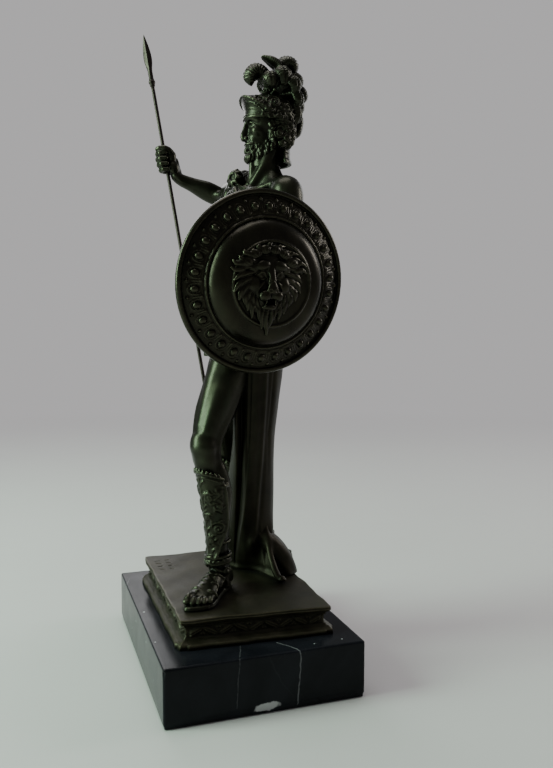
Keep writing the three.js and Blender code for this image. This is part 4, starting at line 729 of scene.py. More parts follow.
def head_layers():
    skin, curls, helm, pl = (Layer(j, HEAD_M, HEAD_C) for j in (0.3, 0.35, 0.3, 0.35))
    face(skin)
    # upper part of the neck, which runs on inside the collar of the bust
    skin.add(Limb([(0, -1.4, -10, 9.4, 9.8), (0, -3.0, -20, 9.3, 9.6), (0.2, -2.6, -27, 9.6, 9.6)], steps=2), 2.0)
    hair(curls)
    ear_curls(curls)
    helmet(helm)
    plume(pl)
    return [skin, curls, helm, pl]

# ---------------------------------------------------------------- trunk, tunic, arms and hands
FLOOR = 51.5
SPEAR_BUTT, SPEAR_GRIP, SPEAR_TIP, SPEAR_R = np.array([-50, 18.5, 51.5]), np.array([-85, -23.7, 340.2]), 435.0, 1.35
SPEAR_K = unit(SPEAR_GRIP - SPEAR_BUTT)


def folds(u, sharp=0.8):
    """Row of round ridges with narrow valleys, one for each unit of u, between 0 and 1."""
    return np.abs(np.cos(np.pi * u)) ** sharp


def torso(L, g=0.0):
    L.add(Limb([(1, 11, 204, 25, 18), (0.5, 12, 220, 26.5, 18), (0, 14.5, 234, 23.8, 15.8), (0, 17.2, 248, 21.2, 14.0), (0, 19.8, 262, 22.2, 14.8), (0, 22, 276, 25.2, 16.4), (0.2, 24, 288, 26, 16.6)], across=(1, -0.1, 0), across2=(1, 0.2, 0), grow=g))
    L.add(Ball((0.3, 23.8, 285), (27.0 + g, 17.0 + g, 27 + g), rot(0, 8, 13)), 5)
    # breast muscles, shoulder blades, flank
    L.add(Ball((14.2, 13.6, 296.5), (13.0 + g, 5.4 + g, 9.0 + g), rot(0, 14, 20)), 4)
    L.add(Ball((-11.5, 9.8, 300.5), (13.0 + g, 5.6 + g, 9.0 + g), rot(0, 10, 8)), 4)
    L.add(Ball((15, 38.0, 291), (10 + g, 5.0 + g, 13 + g), rot(0, 12, 10)), 4)
    L.add(Ball((-15, 34.5, 298), (10 + g, 5.6 + g, 13 + g), rot(0, -6, 14)), 4)
    for s in (-1, 1):
        L.add(Ball((s * 19, 27 + 3 * s, 276), (7 + g, 10.5 + g, 20 + g), rot(-8, s * 8, 10)), 4)


def skin_trunk(L):
    torso(L)
    # slope of the neck to both shoulders, then the shoulder caps
    L.add(Limb([(5, 28.6, 316, 6.4, 6.4), (14, 30.3, 307.4, 8.0, 7.4), (24, 30.6, 302.6, 9.0, 8.2)], across=(0, 1, 0)), 5)
    L.add(Limb([(-5, 28, 320, 7, 7), (-15, 25, 315.5, 8.6, 8), (-27, 21.5, 312, 9.6, 8.8)], across=(0, 1, 0)), 5)
    L.add(Ball((29.6, 30.2, 299.6), (10.4, 10.0, 12.4), rot(0, -10, 0)), 4)
    L.add(Ball((-31, 20.8, 311), (13.0, 10.4, 9.6), rot(0, 4, 0)), 4)
    L.push(lambda P: -1.1 * gauss(P[..., 0], 2.6) * sstep(P[..., 1], 36, 40) * sstep(P[..., 2], 240, 262), (-8, 30, 235), (8, 60, 312))
    # neck with its two long muscles, the throat between, collar bones
    L.add(Limb([(0, 28.0, 307, 13.5, 10.8), (0, 27.0, 317, 9.8, 8.8), (-0.1, 26.0, 327, 8.9, 8.7), (-0.3, 25.7, 337, 9.0, 9.0)], across=(1, 0, 0)), 4)
    L.add(Tube([(8.6, 28.6, 333), (8.2, 22.8, 323.5), (6.0, 17.4, 314.8), (4.0, 14.0, 308.6)], [1.6, 2.1, 2.1, 1.7], 4), 4.6)
    L.add(Tube([(-9.0, 27.0, 333), (-8.0, 21.0, 324), (-3.8, 16.2, 315.5), (0.4, 13.6, 309.2)], [1.4, 1.8, 1.8, 1.5], 4), 5.0)
    L.add(Tube([(0.2, 17.4, 327), (1.6, 16.6, 319.5), (2.4, 15.0, 312)], [3.0, 2.8, 2.2], 3), 2)
    L.cut(Ball((2.6, 11.6, 309.8), (1.7, 2.4, 1.9)), 2)
    L.add(Tube([(4.6, 12.9, 307.4), (11.5, 13.0, 306.2), (18.5, 17.6, 306.6), (24.6, 24.0, 309), (29, 28.6, 310)], [1.8, 1.6, 1.6, 1.8, 2.0], 4), 2.2)
    L.add(Tube([(0.4, 12.5, 308.4), (-7, 10.6, 310.6), (-15, 12.6, 314.4), (-23, 17, 318)], [1.8, 1.6, 1.6, 1.8], 4), 2.2)
    # middle line of the chest
    L.cut(Tube([(3.6, 9.6, 304), (2.8, 6.4, 296), (1.8, 5.6, 288)], [0.5, 0.9, 0.6], 4), 2.4)


def muscled_arms(L):
    # left: upper arm hanging, forearm level behind the shield
    L.add(Limb([(29, 30, 303, 8.6, 9), (31.8, 30, 291, 8.4, 8.8), (33.8, 28.6, 275, 7.2, 8.2), (35.2, 26.2, 258, 6.2, 7.0), (35.6, 24.4, 248, 6.3, 6.6)], across=(1, 0.1, 0.2), steps=4), 3)
    L.add(Limb([(30.5, 24.6, 288, 5.0, 5.0), (32.6, 22.4, 275, 5.6, 5.4), (34.4, 20.8, 262, 4.6, 4.4), (35.4, 19.0, 252, 3.0, 3.0)], steps=3), 2)
    L.add(Limb([(32.4, 35, 288, 4.6, 4.8), (34.4, 34.4, 275, 4.9, 5.0), (35.4, 31, 260, 4.2, 4.2), (35.8, 27, 250, 3.4, 3.4)], steps=3), 2)
    L.add(Limb([(35.6, 25.4, 246, 6.2, 6.4), (35.8, 14.4, 243.6, 6.5, 6.7), (36, 4, 243, 6.1, 6.3), (36.2, -8, 243, 4.9, 4.8), (36.4, -16, 243, 3.9, 4.7), (36.6, -20, 243.2, 4.0, 5.2)], across=(1, 0, 0), steps=3), 2)
    # right: stretched out to the side, forearm raised to the front
    L.add(Limb([(-28, 20, 311, 9.4, 9.2), (-40, 21, 312, 8.2, 8.2), (-56, 22, 313, 7.4, 7.6), (-70, 22.8, 313.8, 6.3, 6.6), (-80, 22.4, 314.4, 6.4, 6.6)], across=(0.1, -0.3, 1), steps=4), 3)
    L.add(Limb([(-38, 17.8, 315.5, 4.6, 4.8), (-50, 17.2, 317.2, 5.9, 5.9), (-62, 17.4, 317.8, 5.4, 5.4), (-73, 17.2, 317.8, 3.2, 3.2), (-79, 13.6, 318.2, 2.6, 2.6)], across=(0, 0, 1), steps=3), 2)
    L.add(Limb([(-37, 25.6, 309.6, 5.2, 5.2), (-50, 26.4, 309, 5.9, 5.6), (-64, 27, 309.4, 5.2, 5.0), (-76, 26.4, 311.4, 3.6, 3.6), (-82, 25.2, 313, 3.4, 3.4)], across=(0, 0, 1), steps=3), 2)
    L.add(Ball((-85.4, 25.4, 313.2), (3.6, 4.2, 3.8)), 2)
    L.add(Ball((-83.6, 19.6, 308.9), (3.2, 3.4, 3.0)), 2)
    L.add(Limb([(-83.6, 20.6, 316.3, 6.3, 6.4), (-85.2, 12.6, 319.8, 6.5, 6.6), (-85.4, 3.4, 323.5, 5.6, 5.7), (-85.2, -6.2, 326.6, 4.5, 4.7), (-85, -12.6, 328.6, 4.2, 4.6), (-85, -16.4, 331.2, 3.8, 4.8)], across=(0, -0.3, 1), steps=4), 2)
    L.add(Limb([(-80.6, 15.6, 321.4, 3.2, 3.2), (-82, 7.4, 324.4, 3.8, 3.8), (-83, -2, 326.8, 2.8, 2.8), (-83.6, -11, 330.0, 1.8, 1.8)], steps=3), 1.8)
    L.add(Limb([(-86, 14.4, 314.6, 3.4, 3.4), (-87, 5.6, 318.6, 3.5, 3.5), (-86.6, -4, 323.0, 2.5, 2.5), (-86, -11, 325.9, 2.0, 2.0)], steps=3), 1.8)


def fist(L, c, k, u, v, s=1.0, w=0.0):
    """Hand closed round a bar through c along k; u points away from the wrist, v to the fingertips' side, w draws the heel of the hand in."""
    at = lambda a, b, d: c + u * (a * s) + v * (b * s) + k * (d * s)
    L.add(Limb([(*at(-9.0 + 1.8 * w, -1.6, -6.8 - 1.2 * w), 3.4 * s, (4.8 - 0.6 * w) * s), (*at(-6.6 + 1.2 * w, -2.4, -3.6 - 0.6 * w), 3.3 * s, (6.0 - 0.4 * w) * s), (*at(-3.8, -3.4, 0.2), 3.0 * s, 7.4 * s), (*at(-1.4, -4.4, 2.2), 2.4 * s, 7.6 * s)], across=v, steps=3), 2 + w)
    L.add(Ball(at(-4.6, 1.8, -4.4), (4.2 * s, 3.4 * s, 5.2 * s), np.stack([u, v, k], 1)), 1.6)       # ball of the little finger
    L.add(Ball(at(-4.4, 1.6, 3.4), (3.6 * s, 3.6 * s, 4.4 * s), np.stack([u, v, k], 1)), 1.6)         # ball of the thumb
    for f in range(4):
        h = 7.0 - 4.15 * f
        r = (1.95, 2.1, 2.05, 1.8)[f] * s
        q = (0.0, 0.35, 0.2, -0.4)[f]
        L.add(Tube([at(-2.2, -4.9, h + 0.5), at(1.6 + q, -5.0, h + 0.7)], [r * 1.08, r * 1.12]), 0.7)
        L.add(Tube([at(1.6 + q, -5.0, h + 0.7), at(4.5 + q, -2.4, h + 0.4), at(4.9 + q, 0.4, h)], [r * 1.06, r * 1.02, r * 1.0]), 0.5)
        L.add(Tube([at(4.9 + q, 0.4, h), at(4.0 + q, 3.4, h - 0.2)], [r * 1.03, r * 0.98]), 0.4)
        L.add(Tube([at(4.0 + q, 3.4, h - 0.2), at(0.6, 4.6, h - 0.5)], [r * 0.98, r * 0.86]), 0.4)
        L.add(Ball(at(5.2 + q, -0.2, h + 0.2), r * 1.08), 0.5)
    L.add(Tube([at(-5.6, 2.0, 5.2), at(-2.6, 4.2, 8.4), at(0.6, 4.6, 10.0)], [2.5 * s, 2.3 * s, 2.1 * s], 2), 1.0)
    L.add(Tube([at(0.6, 4.6, 10.0), at(3.8, 3.2, 10.6), at(5.6, 1.6, 10.4)], [2.05 * s, 1.9 * s, 1.5 * s], 2), 0.5)


def hands(L):
    u = unit(np.array([0.0, -1, 0]) + SPEAR_K * SPEAR_K[1])
    fist(L, SPEAR_GRIP, SPEAR_K, u, np.cross(SPEAR_K, u), 0.98, 1.0)
    fist(L, np.array([40.4, -25.0, 243.4]), np.array([0, 0.05, 1.0]), np.array([0.1, -0.995, 0.0]), np.array([0.995, 0.1, 0.0]), 0.86)


NECKLINE_N, NECKLINE_P = unit((0.56, -0.05, 0.83)), np.array([25.5, 20.0, 291.5])


def tunic(L):
    torso(L, 1.5)
    L.add(Limb([(-18, 22, 305, 9, 9), (-28, 21, 311.5, 11.6, 10.6), (-36, 20.6, 312.4, 10.8, 10.4), (-41, 20.8, 312.4, 9.6, 9.4)], across=(0, 1, 0), steps=2, flat=False), 5)
    L.keep(Field(lambda P: (P - NECKLINE_P.astype(F32)) @ NECKLINE_N.astype(F32), (-60, -30, 230), (60, 70, 340)), 0.8)
    L.keep(Field(lambda P: -(P[..., 2] - F32(244)), (-60, -40, 200), (60, 80, 340)), 0.5)

    def chest(P):
        x, y, z = P[..., 0], P[..., 1], P[..., 2]
        # folds fanning out from the brooch on the right shoulder
        dx, dz = x + 15.0, 322.0 - z
        phi = np.arctan2(dx, np.maximum(dz, 1.0))
        far = np.sqrt(dx * dx + dz * dz)
        warp = 0.35 * np.sin(0.11 * far + 2.2 * phi) + 0.2 * np.sin(0.23 * far - 3 * phi)
        front = 1 - sstep(y, 18, 27)
        a = (0.55 + 0.45 * np.sin(5.1 * phi + 0.9)) * sstep(far, 6, 24)
        f = front * a * 2.1 * (folds(7.2 * phi + warp) - 0.5)
        # vertical folds drawn in by the belt
        w = np.arctan2(y - 18, x)
        near = 1 - sstep(z, 252, 272)
        f = f * (1 - 0.6 * near) + near * (0.75 + 0.25 * np.sin(3 * w)) * 1.2 * (folds(13 * w / np.pi + 0.25 * np.sin(0.2 * z + 2 * w)) - 0.5)
        # folds of the back, running from the right shoulder to the left hip
        back = sstep(y, 22, 32)
        pb = np.arctan2(x + 26.0, np.maximum(326.0 - z, 1.0))
        fb = np.sqrt((x + 26.0) ** 2 + (326.0 - z) ** 2)
        f = f + back * sstep(fb, 10, 30) * 1.8 * (folds(7.6 * pb + 0.3 * np.sin(0.1 * fb + 2 * pb)) - 0.5)
        return f * sstep(z, 243, 250)

    L.push(chest, (-48, -20, 243), (48, 60, 325))
    base = len(L.ops)
    # rolled edge of the neckline, front and back
    edge = [(-17, 9.8, 315.6), (-12, 8.6, 312.2), (-4, 6.8, 307), (6, 6.6, 301.4), (16, 9.0, 296.6), (23.5, 15.4, 292.4), (28, 23, 289.8), (29, 31, 289), (24, 39, 291.6), (14, 43.6, 297.6), (2, 44, 304.8), (-10, 40, 313), (-20, 33, 319.6)]
    p, n = L.snap(catmull(edge, 5), 0.2, 6, base)
    i = np.arange(len(p))
    L.add(Tube(p, 1.55 + 0.35 * np.sin(0.9 * i)), 0.6)
    L.add(Tube(p + np.array([-1.2, 0, -2.3]) + 0.1 * n, 0.85 + 0.3 * np.sin(0.7 * i + 1)), 0.8)


def shoulder_cloth(L):
    """Cloth gathered at the brooch, over the right shoulder and round the upper arm."""
    def pleated(n, depth):
        return lambda t, q, P: 1 + depth * (folds(n * q / (2 * np.pi) + 0.6 * t) - 0.6)
    L.add(Limb([(-14, 13, 314, 4, 3.4), (-20, 13.4, 317.4, 6.2, 4.4), (-27, 18, 320.4, 8.2, 4.6), (-28.5, 27, 317.6, 9, 4.6), (-24, 36.5, 309, 10, 4.0)], across=(1, 0.3, 0.2), steps=4, shape=pleated(9, 0.26)), 2)
    # sleeve: folds hanging from the upper arm
    L.add(Limb([(-27, 21, 311.5, 12.2, 11.6), (-34, 20.8, 312, 12.2, 11.2), (-40, 20.8, 312, 11.2, 10.6), (-43.5, 21, 312, 10.4, 9.8)], across=(0, 1, 0), steps=3, shape=pleated(15, 0.12)), 1.5)
    L.add(Limb([(-31, 12.6, 316, 5.4, 3.4), (-35, 9.8, 308, 5.8, 3.0), (-34.4, 9.6, 298, 4.8, 2.6), (-31.4, 10.4, 288, 2.6, 1.8)], across=(1, 0.2, 0), steps=4, shape=pleated(7, 0.34)), 1.5)
    L.add(Limb([(-36, 29, 312, 5.0, 4.0), (-36, 32.4, 302, 5.6, 3.6), (-33, 32.6, 290, 4.4, 3.0), (-29, 31.6, 280, 2.2, 1.8)], across=(1, 0.2, 0), steps=4, shape=pleated(7, 0.34)), 2)
    L.cut(Limb([(-42, 20.9, 312.3, 9.0, 8.8), (-48, 21.2, 312.6, 9.2, 9.0)], across=(0, 1, 0), steps=1), 0.5)
    # brooch: cloth drawn through a ring into a rosette
    c, n = np.array([-14.2, 8.9, 317.6]), unit((0.42, -0.86, 0.28))
    a = unit(np.cross(n, (0, 0, 1)))
    b = np.cross(a, n)
    L.add(Ball(c - n * 1.6, (6.4, 6.4, 3.4), np.stack([a, b, n], 1)), 1.2)
    for k in range(9):
        w = 2 * math.pi * k / 9 + 0.2
        d = a * math.cos(w) + b * math.sin(w)
        t = -a * math.sin(w) + b * math.cos(w)
        L.add(Tube([c + d * 2.2 + n * 0.8, c + d * 4.2 + n * 1.3 + t * 0.5, c + d * 6.0 + n * 0.2 + t * 1.2], [0.9, 1.45, 0.9], 3), 0.3)
    ring = [c + 3.5 * (a * math.cos(w) + b * math.sin(w)) + n * (1.5 + 0.25 * math.sin(3 * w)) for w in np.linspace(0, 2 * math.pi, 25)]
    L.add(Tube(ring, 1.35), 0.25)
    L.cut(Ball(c + n * 2.2, (2.0, 2.0, 2.4), np.stack([a, b, n], 1)), 0.5)
    L.add(Tube([c + n * 0.6 + 1.5 * (a * math.cos(w) + b * math.sin(w)) * (1 - 0.12 * w) + n * 0.12 * w for w in np.linspace(0, 6.6, 14)], 0.62), 0.2)


def skirt(L):
    rows = [(0, 16.6, 247, 23.2, 16.0), (0.2, 15.4, 240, 25.6, 18.0), (0.8, 12.6, 228, 29.4, 21.4), (1.6, 9.2, 215, 32, 24.4), (2.2, 7.6, 203.6, 33.4, 25), (2.6, 8.0, 194, 33.8, 24.6)]

    def pleats(t, q, P):
        w = q + 0.10 * np.sin(3 * q + 1) + 0.05 * np.sin(7 * q)
        u = 21 * w / (2 * np.pi)
        lobe = 0.75 + 0.25 * np.sin(2.3 * q + 0.4)
        t = np.minimum(1.17 * t, 1.0)
        return 1 + (0.012 + 0.125 * t) * lobe * (folds(u, 0.75) - 0.62) + 0.012 * t * np.sin(4 * np.pi * u + 1)
    L.add(Limb(rows, across=(1, -0.1, 0), steps=3, shape=pleats))
    # hem in soft points and a hollow under it
    q = lambda P: np.arctan2(P[..., 1] - 8, P[..., 0] - 2)
    L.keep(Field(lambda P: (F32(203.2) - 6.4 * np.exp(-((q(P) + 1.16) / 0.34) ** 2) + 1.5 * folds(21 * q(P) / (2 * np.pi) + 0.3, 1.0) + 0.8 * np.sin(2 * q(P)) - P[..., 2]) * 0.8, (-50, -40, 190), (50, 60, 250)), 0.4)
    L.cut(Limb([(2.4, 8.0, 188, 31.4, 22.4), (2.0, 8.0, 209, 28.5, 21)], across=(1, -0.1, 0), steps=1, shape=lambda t, q, P: 1 + 0.09 * (folds(21 * (q + 0.10 * np.sin(3 * q + 1) + 0.05 * np.sin(7 * q)) / (2 * np.pi), 0.75) - 0.62)), 1.0)
    # belt with beaded edges
    def girth(g, z, r, n=48, k=0.4):
        pts = []
        for i in range(n + 1):
            w = 2 * math.pi * i / n
            pts.append((g * 22.4 * math.cos(w), 16.9 + g * 15.2 * math.sin(w), z + 0.02 * 22 * math.cos(w)))
        L.add(Tube(pts, r), k)
    L.add(Limb([(0, 16.3, 242.6, 23.4, 16.2), (0, 16.7, 245.4, 23.8, 16.6), (0, 17.1, 248.2, 23.2, 16.0)], across=(1, 0.04, 0), steps=2), 0.8)
    girth(1.055, 243.0, 0.8)
    girth(1.055, 247.8, 0.8)
    for i in range(60):
        w = 2 * math.pi * i / 60
        L.add(Ball((24.0 * math.cos(w), 16.8 + 16.7 * math.sin(w), 245.4 + 0.4 * math.cos(w)), 0.62), 0.2)
    L.add(Ball((3.0, 0.4, 245.4), (3.4, 1.6, 3.4)), 0.3)
    L.add(Ball((3.0, -1.0, 245.4), 1.5), 0.3)


def cape(L):
    """Cloth lying over the back, from the right shoulder to the left forearm."""
    torso(L, 3.4)
    keep = unit((-0.17, -1.0, 0.0))
    L.keep(Field(lambda P: np.maximum((P - np.array([0, 24.0, 0], F32)) @ keep.astype(F32), -200), (-70, -40, 200), (70, 90, 340)), 1.2)
    top = unit((0.42, 0.10, 0.9))
    L.keep(Field(lambda P: (P - np.array([8, 40, 301], F32)) @ top.astype(F32), (-70, -40, 200), (70, 90, 340)), 1.2)
    L.keep(Field(lambda P: F32(238.0) - 0.35 * (P[..., 0] + 10) - P[..., 2], (-70, -40, 200), (70, 90, 340)), 1.5)

    def run(P):
        x, y, z = P[..., 0], P[..., 1], P[..., 2]
        dx, dz = x + 30.0, 330.0 - z
        phi = np.arctan2(dx, np.maximum(dz, 1.0))
        far = np.sqrt(dx * dx + dz * dz)
        warp = 0.30 * np.sin(0.07 * far + 2.0 * phi) + 0.12 * np.sin(0.19 * far)
        return sstep(far, 12, 34) * (2.3 + 0.9 * np.sin(4 * phi + 1)) * (folds(7.0 * phi + warp, 0.9) - 0.5)
    L.push(run, (-60, -20, 225), (60, 70, 330))
    # bunched over the forearm
    L.add(Limb([(8, 38.6, 266, 12, 6.4), (21, 35.2, 259, 10, 7), (31.4, 26, 254, 8.8, 7.4), (34.4, 14, 251, 8.2, 7.2), (34.4, 3, 247.4, 6.4, 6.4)], across=(0.5, 0.6, 0.8), steps=4, shape=lambda t, q, P: 1 + 0.26 * (folds(7 * q / (2 * np.pi) + 0.5 * t, 0.9) - 0.6)), 3)


def upper_layers():
    skin, arms, cloth, sh, sk, cp = (Layer(j) for j in (0.5, 0.8, 0.5, 0.6, 0.4, 0.6))
    skin_trunk(skin)
    muscled_arms(skin)
    hands(arms)
    tunic(cloth)
    shoulder_cloth(sh)
    skirt(sk)
    cape(cp)
    return [skin, arms, cloth, sh, sk, cp]


# ---------------------------------------------------------------- legs, greaves and sandals
LEG_L = [(13, 11, 226, 15, 17.2), (15, 5.2, 212, 15.4, 17.6), (18.4, -4.2, 192, 14.3, 15.4), (22.5, -13.2, 169, 11.6, 12.2), (25.6, -20.6, 150, 9.6, 9.2), (26.2, -21.6, 141, 9, 8.6), (26.2, -18.6, 130, 8.7, 8.3), (25.6, -15.2, 115, 9.0, 9.2),
         (24.6, -13.4, 98, 7.8, 8.0), (23.9, -13.0, 82, 6.0, 6.6), (23.4, -13.0, 70, 5.7, 6.6), (22.9, -11.9, 62, 6.2, 7.4), (22.9, -11.9, 56, 6.2, 7.6)]
LEG_R = [(-13, 14, 226, 15, 16.5), (-14.4, 12.4, 212, 15.2, 16.2), (-15.4, 8.2, 190, 14, 14.6), (-16.2, 4.8, 166, 11.8, 12.4), (-16.4, 3.2, 148, 9.8, 9.4), (-16.4, 3.6, 140, 9.2, 8.8), (-16.4, 7.0, 129, 9.1, 9), (-16.4, 13.6, 113, 9.6, 10),
         (-16.2, 20.4, 97, 8.3, 8.6), (-15.6, 26.4, 82, 6.3, 6.7), (-14.6, 30.8, 70, 5.9, 6.4), (-13.8, 33.4, 62, 6.2, 7.2), (-13.6, 34.2, 56, 6.2, 7.6)]


class LegFrame:
    def __init__(self, rows, front, outer):
        self.rows, self.o = np.array(rows), outer
        a = math.radians(front)
        self.f, self.s = np.array([math.sin(a), -math.cos(a), 0]), np.array([math.cos(a), math.sin(a), 0]) * outer
        self.front = a

    def row(self, z):
        R = self.rows
        return np.array([np.interp(-z, -R[:, 2], R[:, k]) for k in range(5)])

    def at(self, z, side, fwd, g=0.0):
        """Point at height z; side 1 is the outer edge, fwd 1 the front edge of the section."""
        r = self.row(z)
        return np.array([r[0], r[1], z]) + self.s * side * (r[3] + g) + self.f * fwd * (r[4] + g)

    def skin(self, deg, z, g=0.0):
        """Point at the angle deg round the section (0 front, 90 outer side)."""
        w = math.radians(deg)
        return self.at(z, math.sin(w), math.cos(w), g)


def leg_skin(L, F):
    rows = [(*r[:3], r[3] - (1.4 if 100 < r[2] < 215 else 0.7), r[4] - (1.6 if 100 < r[2] < 215 else 0.7)) for r in F.rows]
    L.add(Limb(rows, steps=3))
    A = F.at

    def mus(spec, k=2.2):
        L.add(Limb([(*A(z, s, f), a, b) for z, s, f, a, b in spec], across=F.s, steps=3), k)
    mus([(214, 0.1, 0.36, 9.5, 9), (192, 0.12, 0.40, 8.8, 8.6), (172, 0.06, 0.42, 7.0, 7.0), (158, 0.0, 0.52, 4.4, 4.4)])
    mus([(208, 0.5, 0.1, 7.6, 9), (186, 0.52, 0.16, 6.6, 8.4), (168, 0.5, 0.24, 5.4, 6.8), (154, 0.46, 0.36, 3.4, 4.2)])
    mus([(182, -0.5, 0.2, 5.8, 7.4), (167, -0.52, 0.34, 5.4, 6.4), (156, -0.48, 0.44, 4.0, 4.4), (150, -0.40, 0.5, 2.6, 3.0)])
    mus([(208, 0.2, -0.4, 9, 8.6), (186, 0.3, -0.44, 7.4, 7.4), (166, 0.40, -0.50, 5.2, 5.4), (150, 0.55, -0.56, 2.9, 3.2), (138, 0.56, -0.42, 2.4, 2.6)])
    mus([(200, -0.3, -0.36, 8, 8), (180, -0.34, -0.44, 6.6, 6.6), (163, -0.46, -0.52, 4.6, 4.8), (148, -0.58, -0.52, 2.8, 3.0), (137, -0.56, -0.4, 2.4, 2.6)])
    # knee: cap, both condyles, ligament and the bump of the shin
    L.add(Ball(A(147.0, 0, 0.66), (5.0, 4.0, 6.4), rot(-6, 0, math.degrees(F.front))), 3.6)
    for s in (-1, 1):
        L.add(Ball(A(144, 0.5 * s, 0.30), (4.6, 4.8, 6.0)), 4)
        L.add(Ball(A(136, 0.42 * s, 0.32), (4.2, 4.4, 5.0)), 4)
    L.add(Limb([(*A(143, 0, 0.70), 2.8, 2.6), (*A(137, 0, 0.66), 2.5, 2.5), (*A(130, 0, 0.68), 2.9, 2.7)], across=F.s, steps=2), 3.6)
    # calf, heel tendon, shin bone, ankle bones
    mus([(138, 0.34, -0.42, 3.8, 4.2), (126, 0.38, -0.42, 5.2, 5.8), (113, 0.34, -0.44, 5.0, 5.6), (101, 0.26, -0.40, 3.4, 4.0), (94, 0.2, -0.3, 2.6, 2.8)])
    mus([(138, -0.34, -0.42, 3.8, 4.2), (124, -0.38, -0.42, 5.4, 6.0), (110, -0.36, -0.46, 5.2, 5.8), (97, -0.26, -0.40, 3.2, 3.8), (91, -0.2, -0.3, 2.4, 2.6)])
    mus([(104, 0, -0.46, 5.0, 3.6), (88, 0, -0.60, 3.2, 2.6), (74, 0, -0.74, 2.2, 2.2), (64, 0, -0.74, 2.4, 2.6), (58, 0, -0.6, 3.2, 3.4)])
    L.add(Tube([A(133, -0.12, 0.60), A(110, -0.12, 0.62), A(86, -0.1, 0.60), (A(68, -0.1, 0.5))], [3.2, 3.0, 2.6, 2.8], 3), 2)
    L.add(Ball(A(65, 0.62, -0.06), (2.7, 2.7, 3.0)), 1.6)
    L.add(Ball(A(66.4, -0.62, 0.10), (2.7, 2.7, 3.0)), 1.6)


def greave(L, F, seed, marks):
    """Shin guard: a shell over the front and sides with a toothed collar, edged with a bead, covered with scrolls."""
    shin = [(*F.row(z)[:2], z, F.row(z)[3] + 0.9, F.row(z)[4] + 0.9) for z in (132, 126, 118, 108, 98, 90, 82, 76, 71)]
    L.add(Limb(shin, steps=2, across=F.s))
    top = lambda P: 129.6 - 0.42 * np.maximum(((P[..., 0] - F.rows[6][0]) * -F.f[0] + (P[..., 1] - F.rows[6][1]) * -F.f[1]) + 8, 0)
    L.keep(Field(lambda P: P[..., 2] - top(P), (-60, -60, 60), (60, 70, 150)), 0.3)
    c0, c1 = F.row(120), F.row(80)

    def rear(P):
        t = (P[..., 2] - 80) / 40
        cx, cy = c1[0] + t * (c0[0] - c1[0]), c1[1] + t * (c0[1] - c1[1])
        return -((P[..., 0] - cx) * F.f[0] + (P[..., 1] - cy) * F.f[1]) - 1.6 + 0.34 * np.clip(94 - P[..., 2], 0, 30)
    L.keep(Field(rear, (-60, -60, 60), (60, 70, 150)), 0.3)
    base = len(L.ops)

    def lay(pts, rad, k=0.2, off=0.05):
        L.add(Tube(L.snap(pts, off, 6, base)[0], rad), k)
    # beads along the rear edges and the foot, toothed collar at the top
    for s in (-1, 1):
        e = [F.at(z, s * 0.98 * math.sqrt(1 - 0.6 * f * f), f, 1.0) for z, f in [(z, -0.16 + 0.046 * max(94 - z, 0)) for z in np.linspace(121, 74, 20)]]
        L.add(Tube(e, 1.05), 0.4)
        L.add(Tube([F.at(z, s * 0.95 * math.sqrt(1 - 0.75 * f * f), f, 1.0) for z, f in [(z, 0.12 + 0.04 * max(94 - z, 0)) for z in np.linspace(122, 77, 20)]], 0.42), 0.2)
    for dz, r, g in ((0, 1.0, 1.2), (-2.6, 0.55, 1.0)):
        e = []
        for d in np.linspace(-100, 100, 27):
            z = 129.2 + dz - 0.42 * max(F.row(126)[4] * (1 - math.cos(math.radians(d))) , 0)
            e.append(F.skin(d, z, g))
        L.add(Tube(e, r), 0.3)
    for d in np.linspace(-84, 84, 13):
        z = 129.6 - 0.42 * F.row(126)[4] * (1 - math.cos(math.radians(d)))
        L.add(Tube([F.skin(d, z, 1.0), F.skin(d, z + 1.3, 1.2), F.skin(d, z + 2.3, 1.3)], [1.2, 0.8, 0.35]), 0.5)
    # strap behind the calf and another above the ankle
    for z, w in ((120.5, 1.25), (84, 1.0)):
        e = [F.skin(d, z - 0.6 * math.cos(math.radians(d)), 0.5) for d in np.linspace(88, 272, 19)]
        L.add(Tube(e, w), 0.3)
    # scrolls: (degrees round the shin, height, radius, turns, start)
    for d, z, size, turns, st in marks:
        k = int(12 * abs(turns)) + 3
        pts, rad = [], []
        for i in range(k + 1):
            t = i / k
            w = st + 2 * math.pi * turns * t
            q = size * (1 - 0.84 * t ** 0.85)
            pts.append(F.skin(d + math.degrees(q * math.cos(w) / (F.row(z)[3] + 1)), z + q * math.sin(w), 1.2))
            rad.append(0.80 - 0.16 * t + (0.45 if i == k else 0))
        lay(pts, rad)
        for j in range(5):
            w = st + 0.4 + 1.2 * j * np.sign(turns)
            e = [F.skin(d + math.degrees(q * math.cos(v) / (F.row(z)[3] + 1)), z + q * math.sin(v), 1.2) for q, v in ((size, w), (size + 1.0, w + 0.25 * np.sign(turns)), (size + 1.9, w + 0.65 * np.sign(turns)))]
            lay(e, [0.72, 0.66, 0.3], 0.2)
    # stem down the middle with pairs of leaves
    lay([F.skin(0, z, 1.2) for z in np.linspace(126, 76, 22)], 0.66)
    for z in np.arange(121, 76, -7.5):
        for s in (-1, 1):
            lay([F.skin(s * 3, z, 1.2), F.skin(s * 12, z + 2.4, 1.2), F.skin(s * 20, z + 3.4, 1.2), F.skin(s * 25, z + 2.2, 1.2)], [0.5, 0.78, 0.6, 0.3])
    # cuff above the foot
    for z, r, g in ((75.2, 1.2, 1.4), (73.0, 0.7, 1.7), (71.2, 1.25, 1.6)):
        L.add(Tube([F.skin(d, z + (0.8 if abs(d) < 30 else 0) - 0.9 * math.cos(math.radians(d)), g) for d in np.linspace(0, 360, 33)], r), 0.4)
    for d in np.linspace(-80, 80, 9):
        L.add(Ball(F.skin(d, 73.2 - 0.9 * math.cos(math.radians(d)), 2.2), 0.8), 0.2)


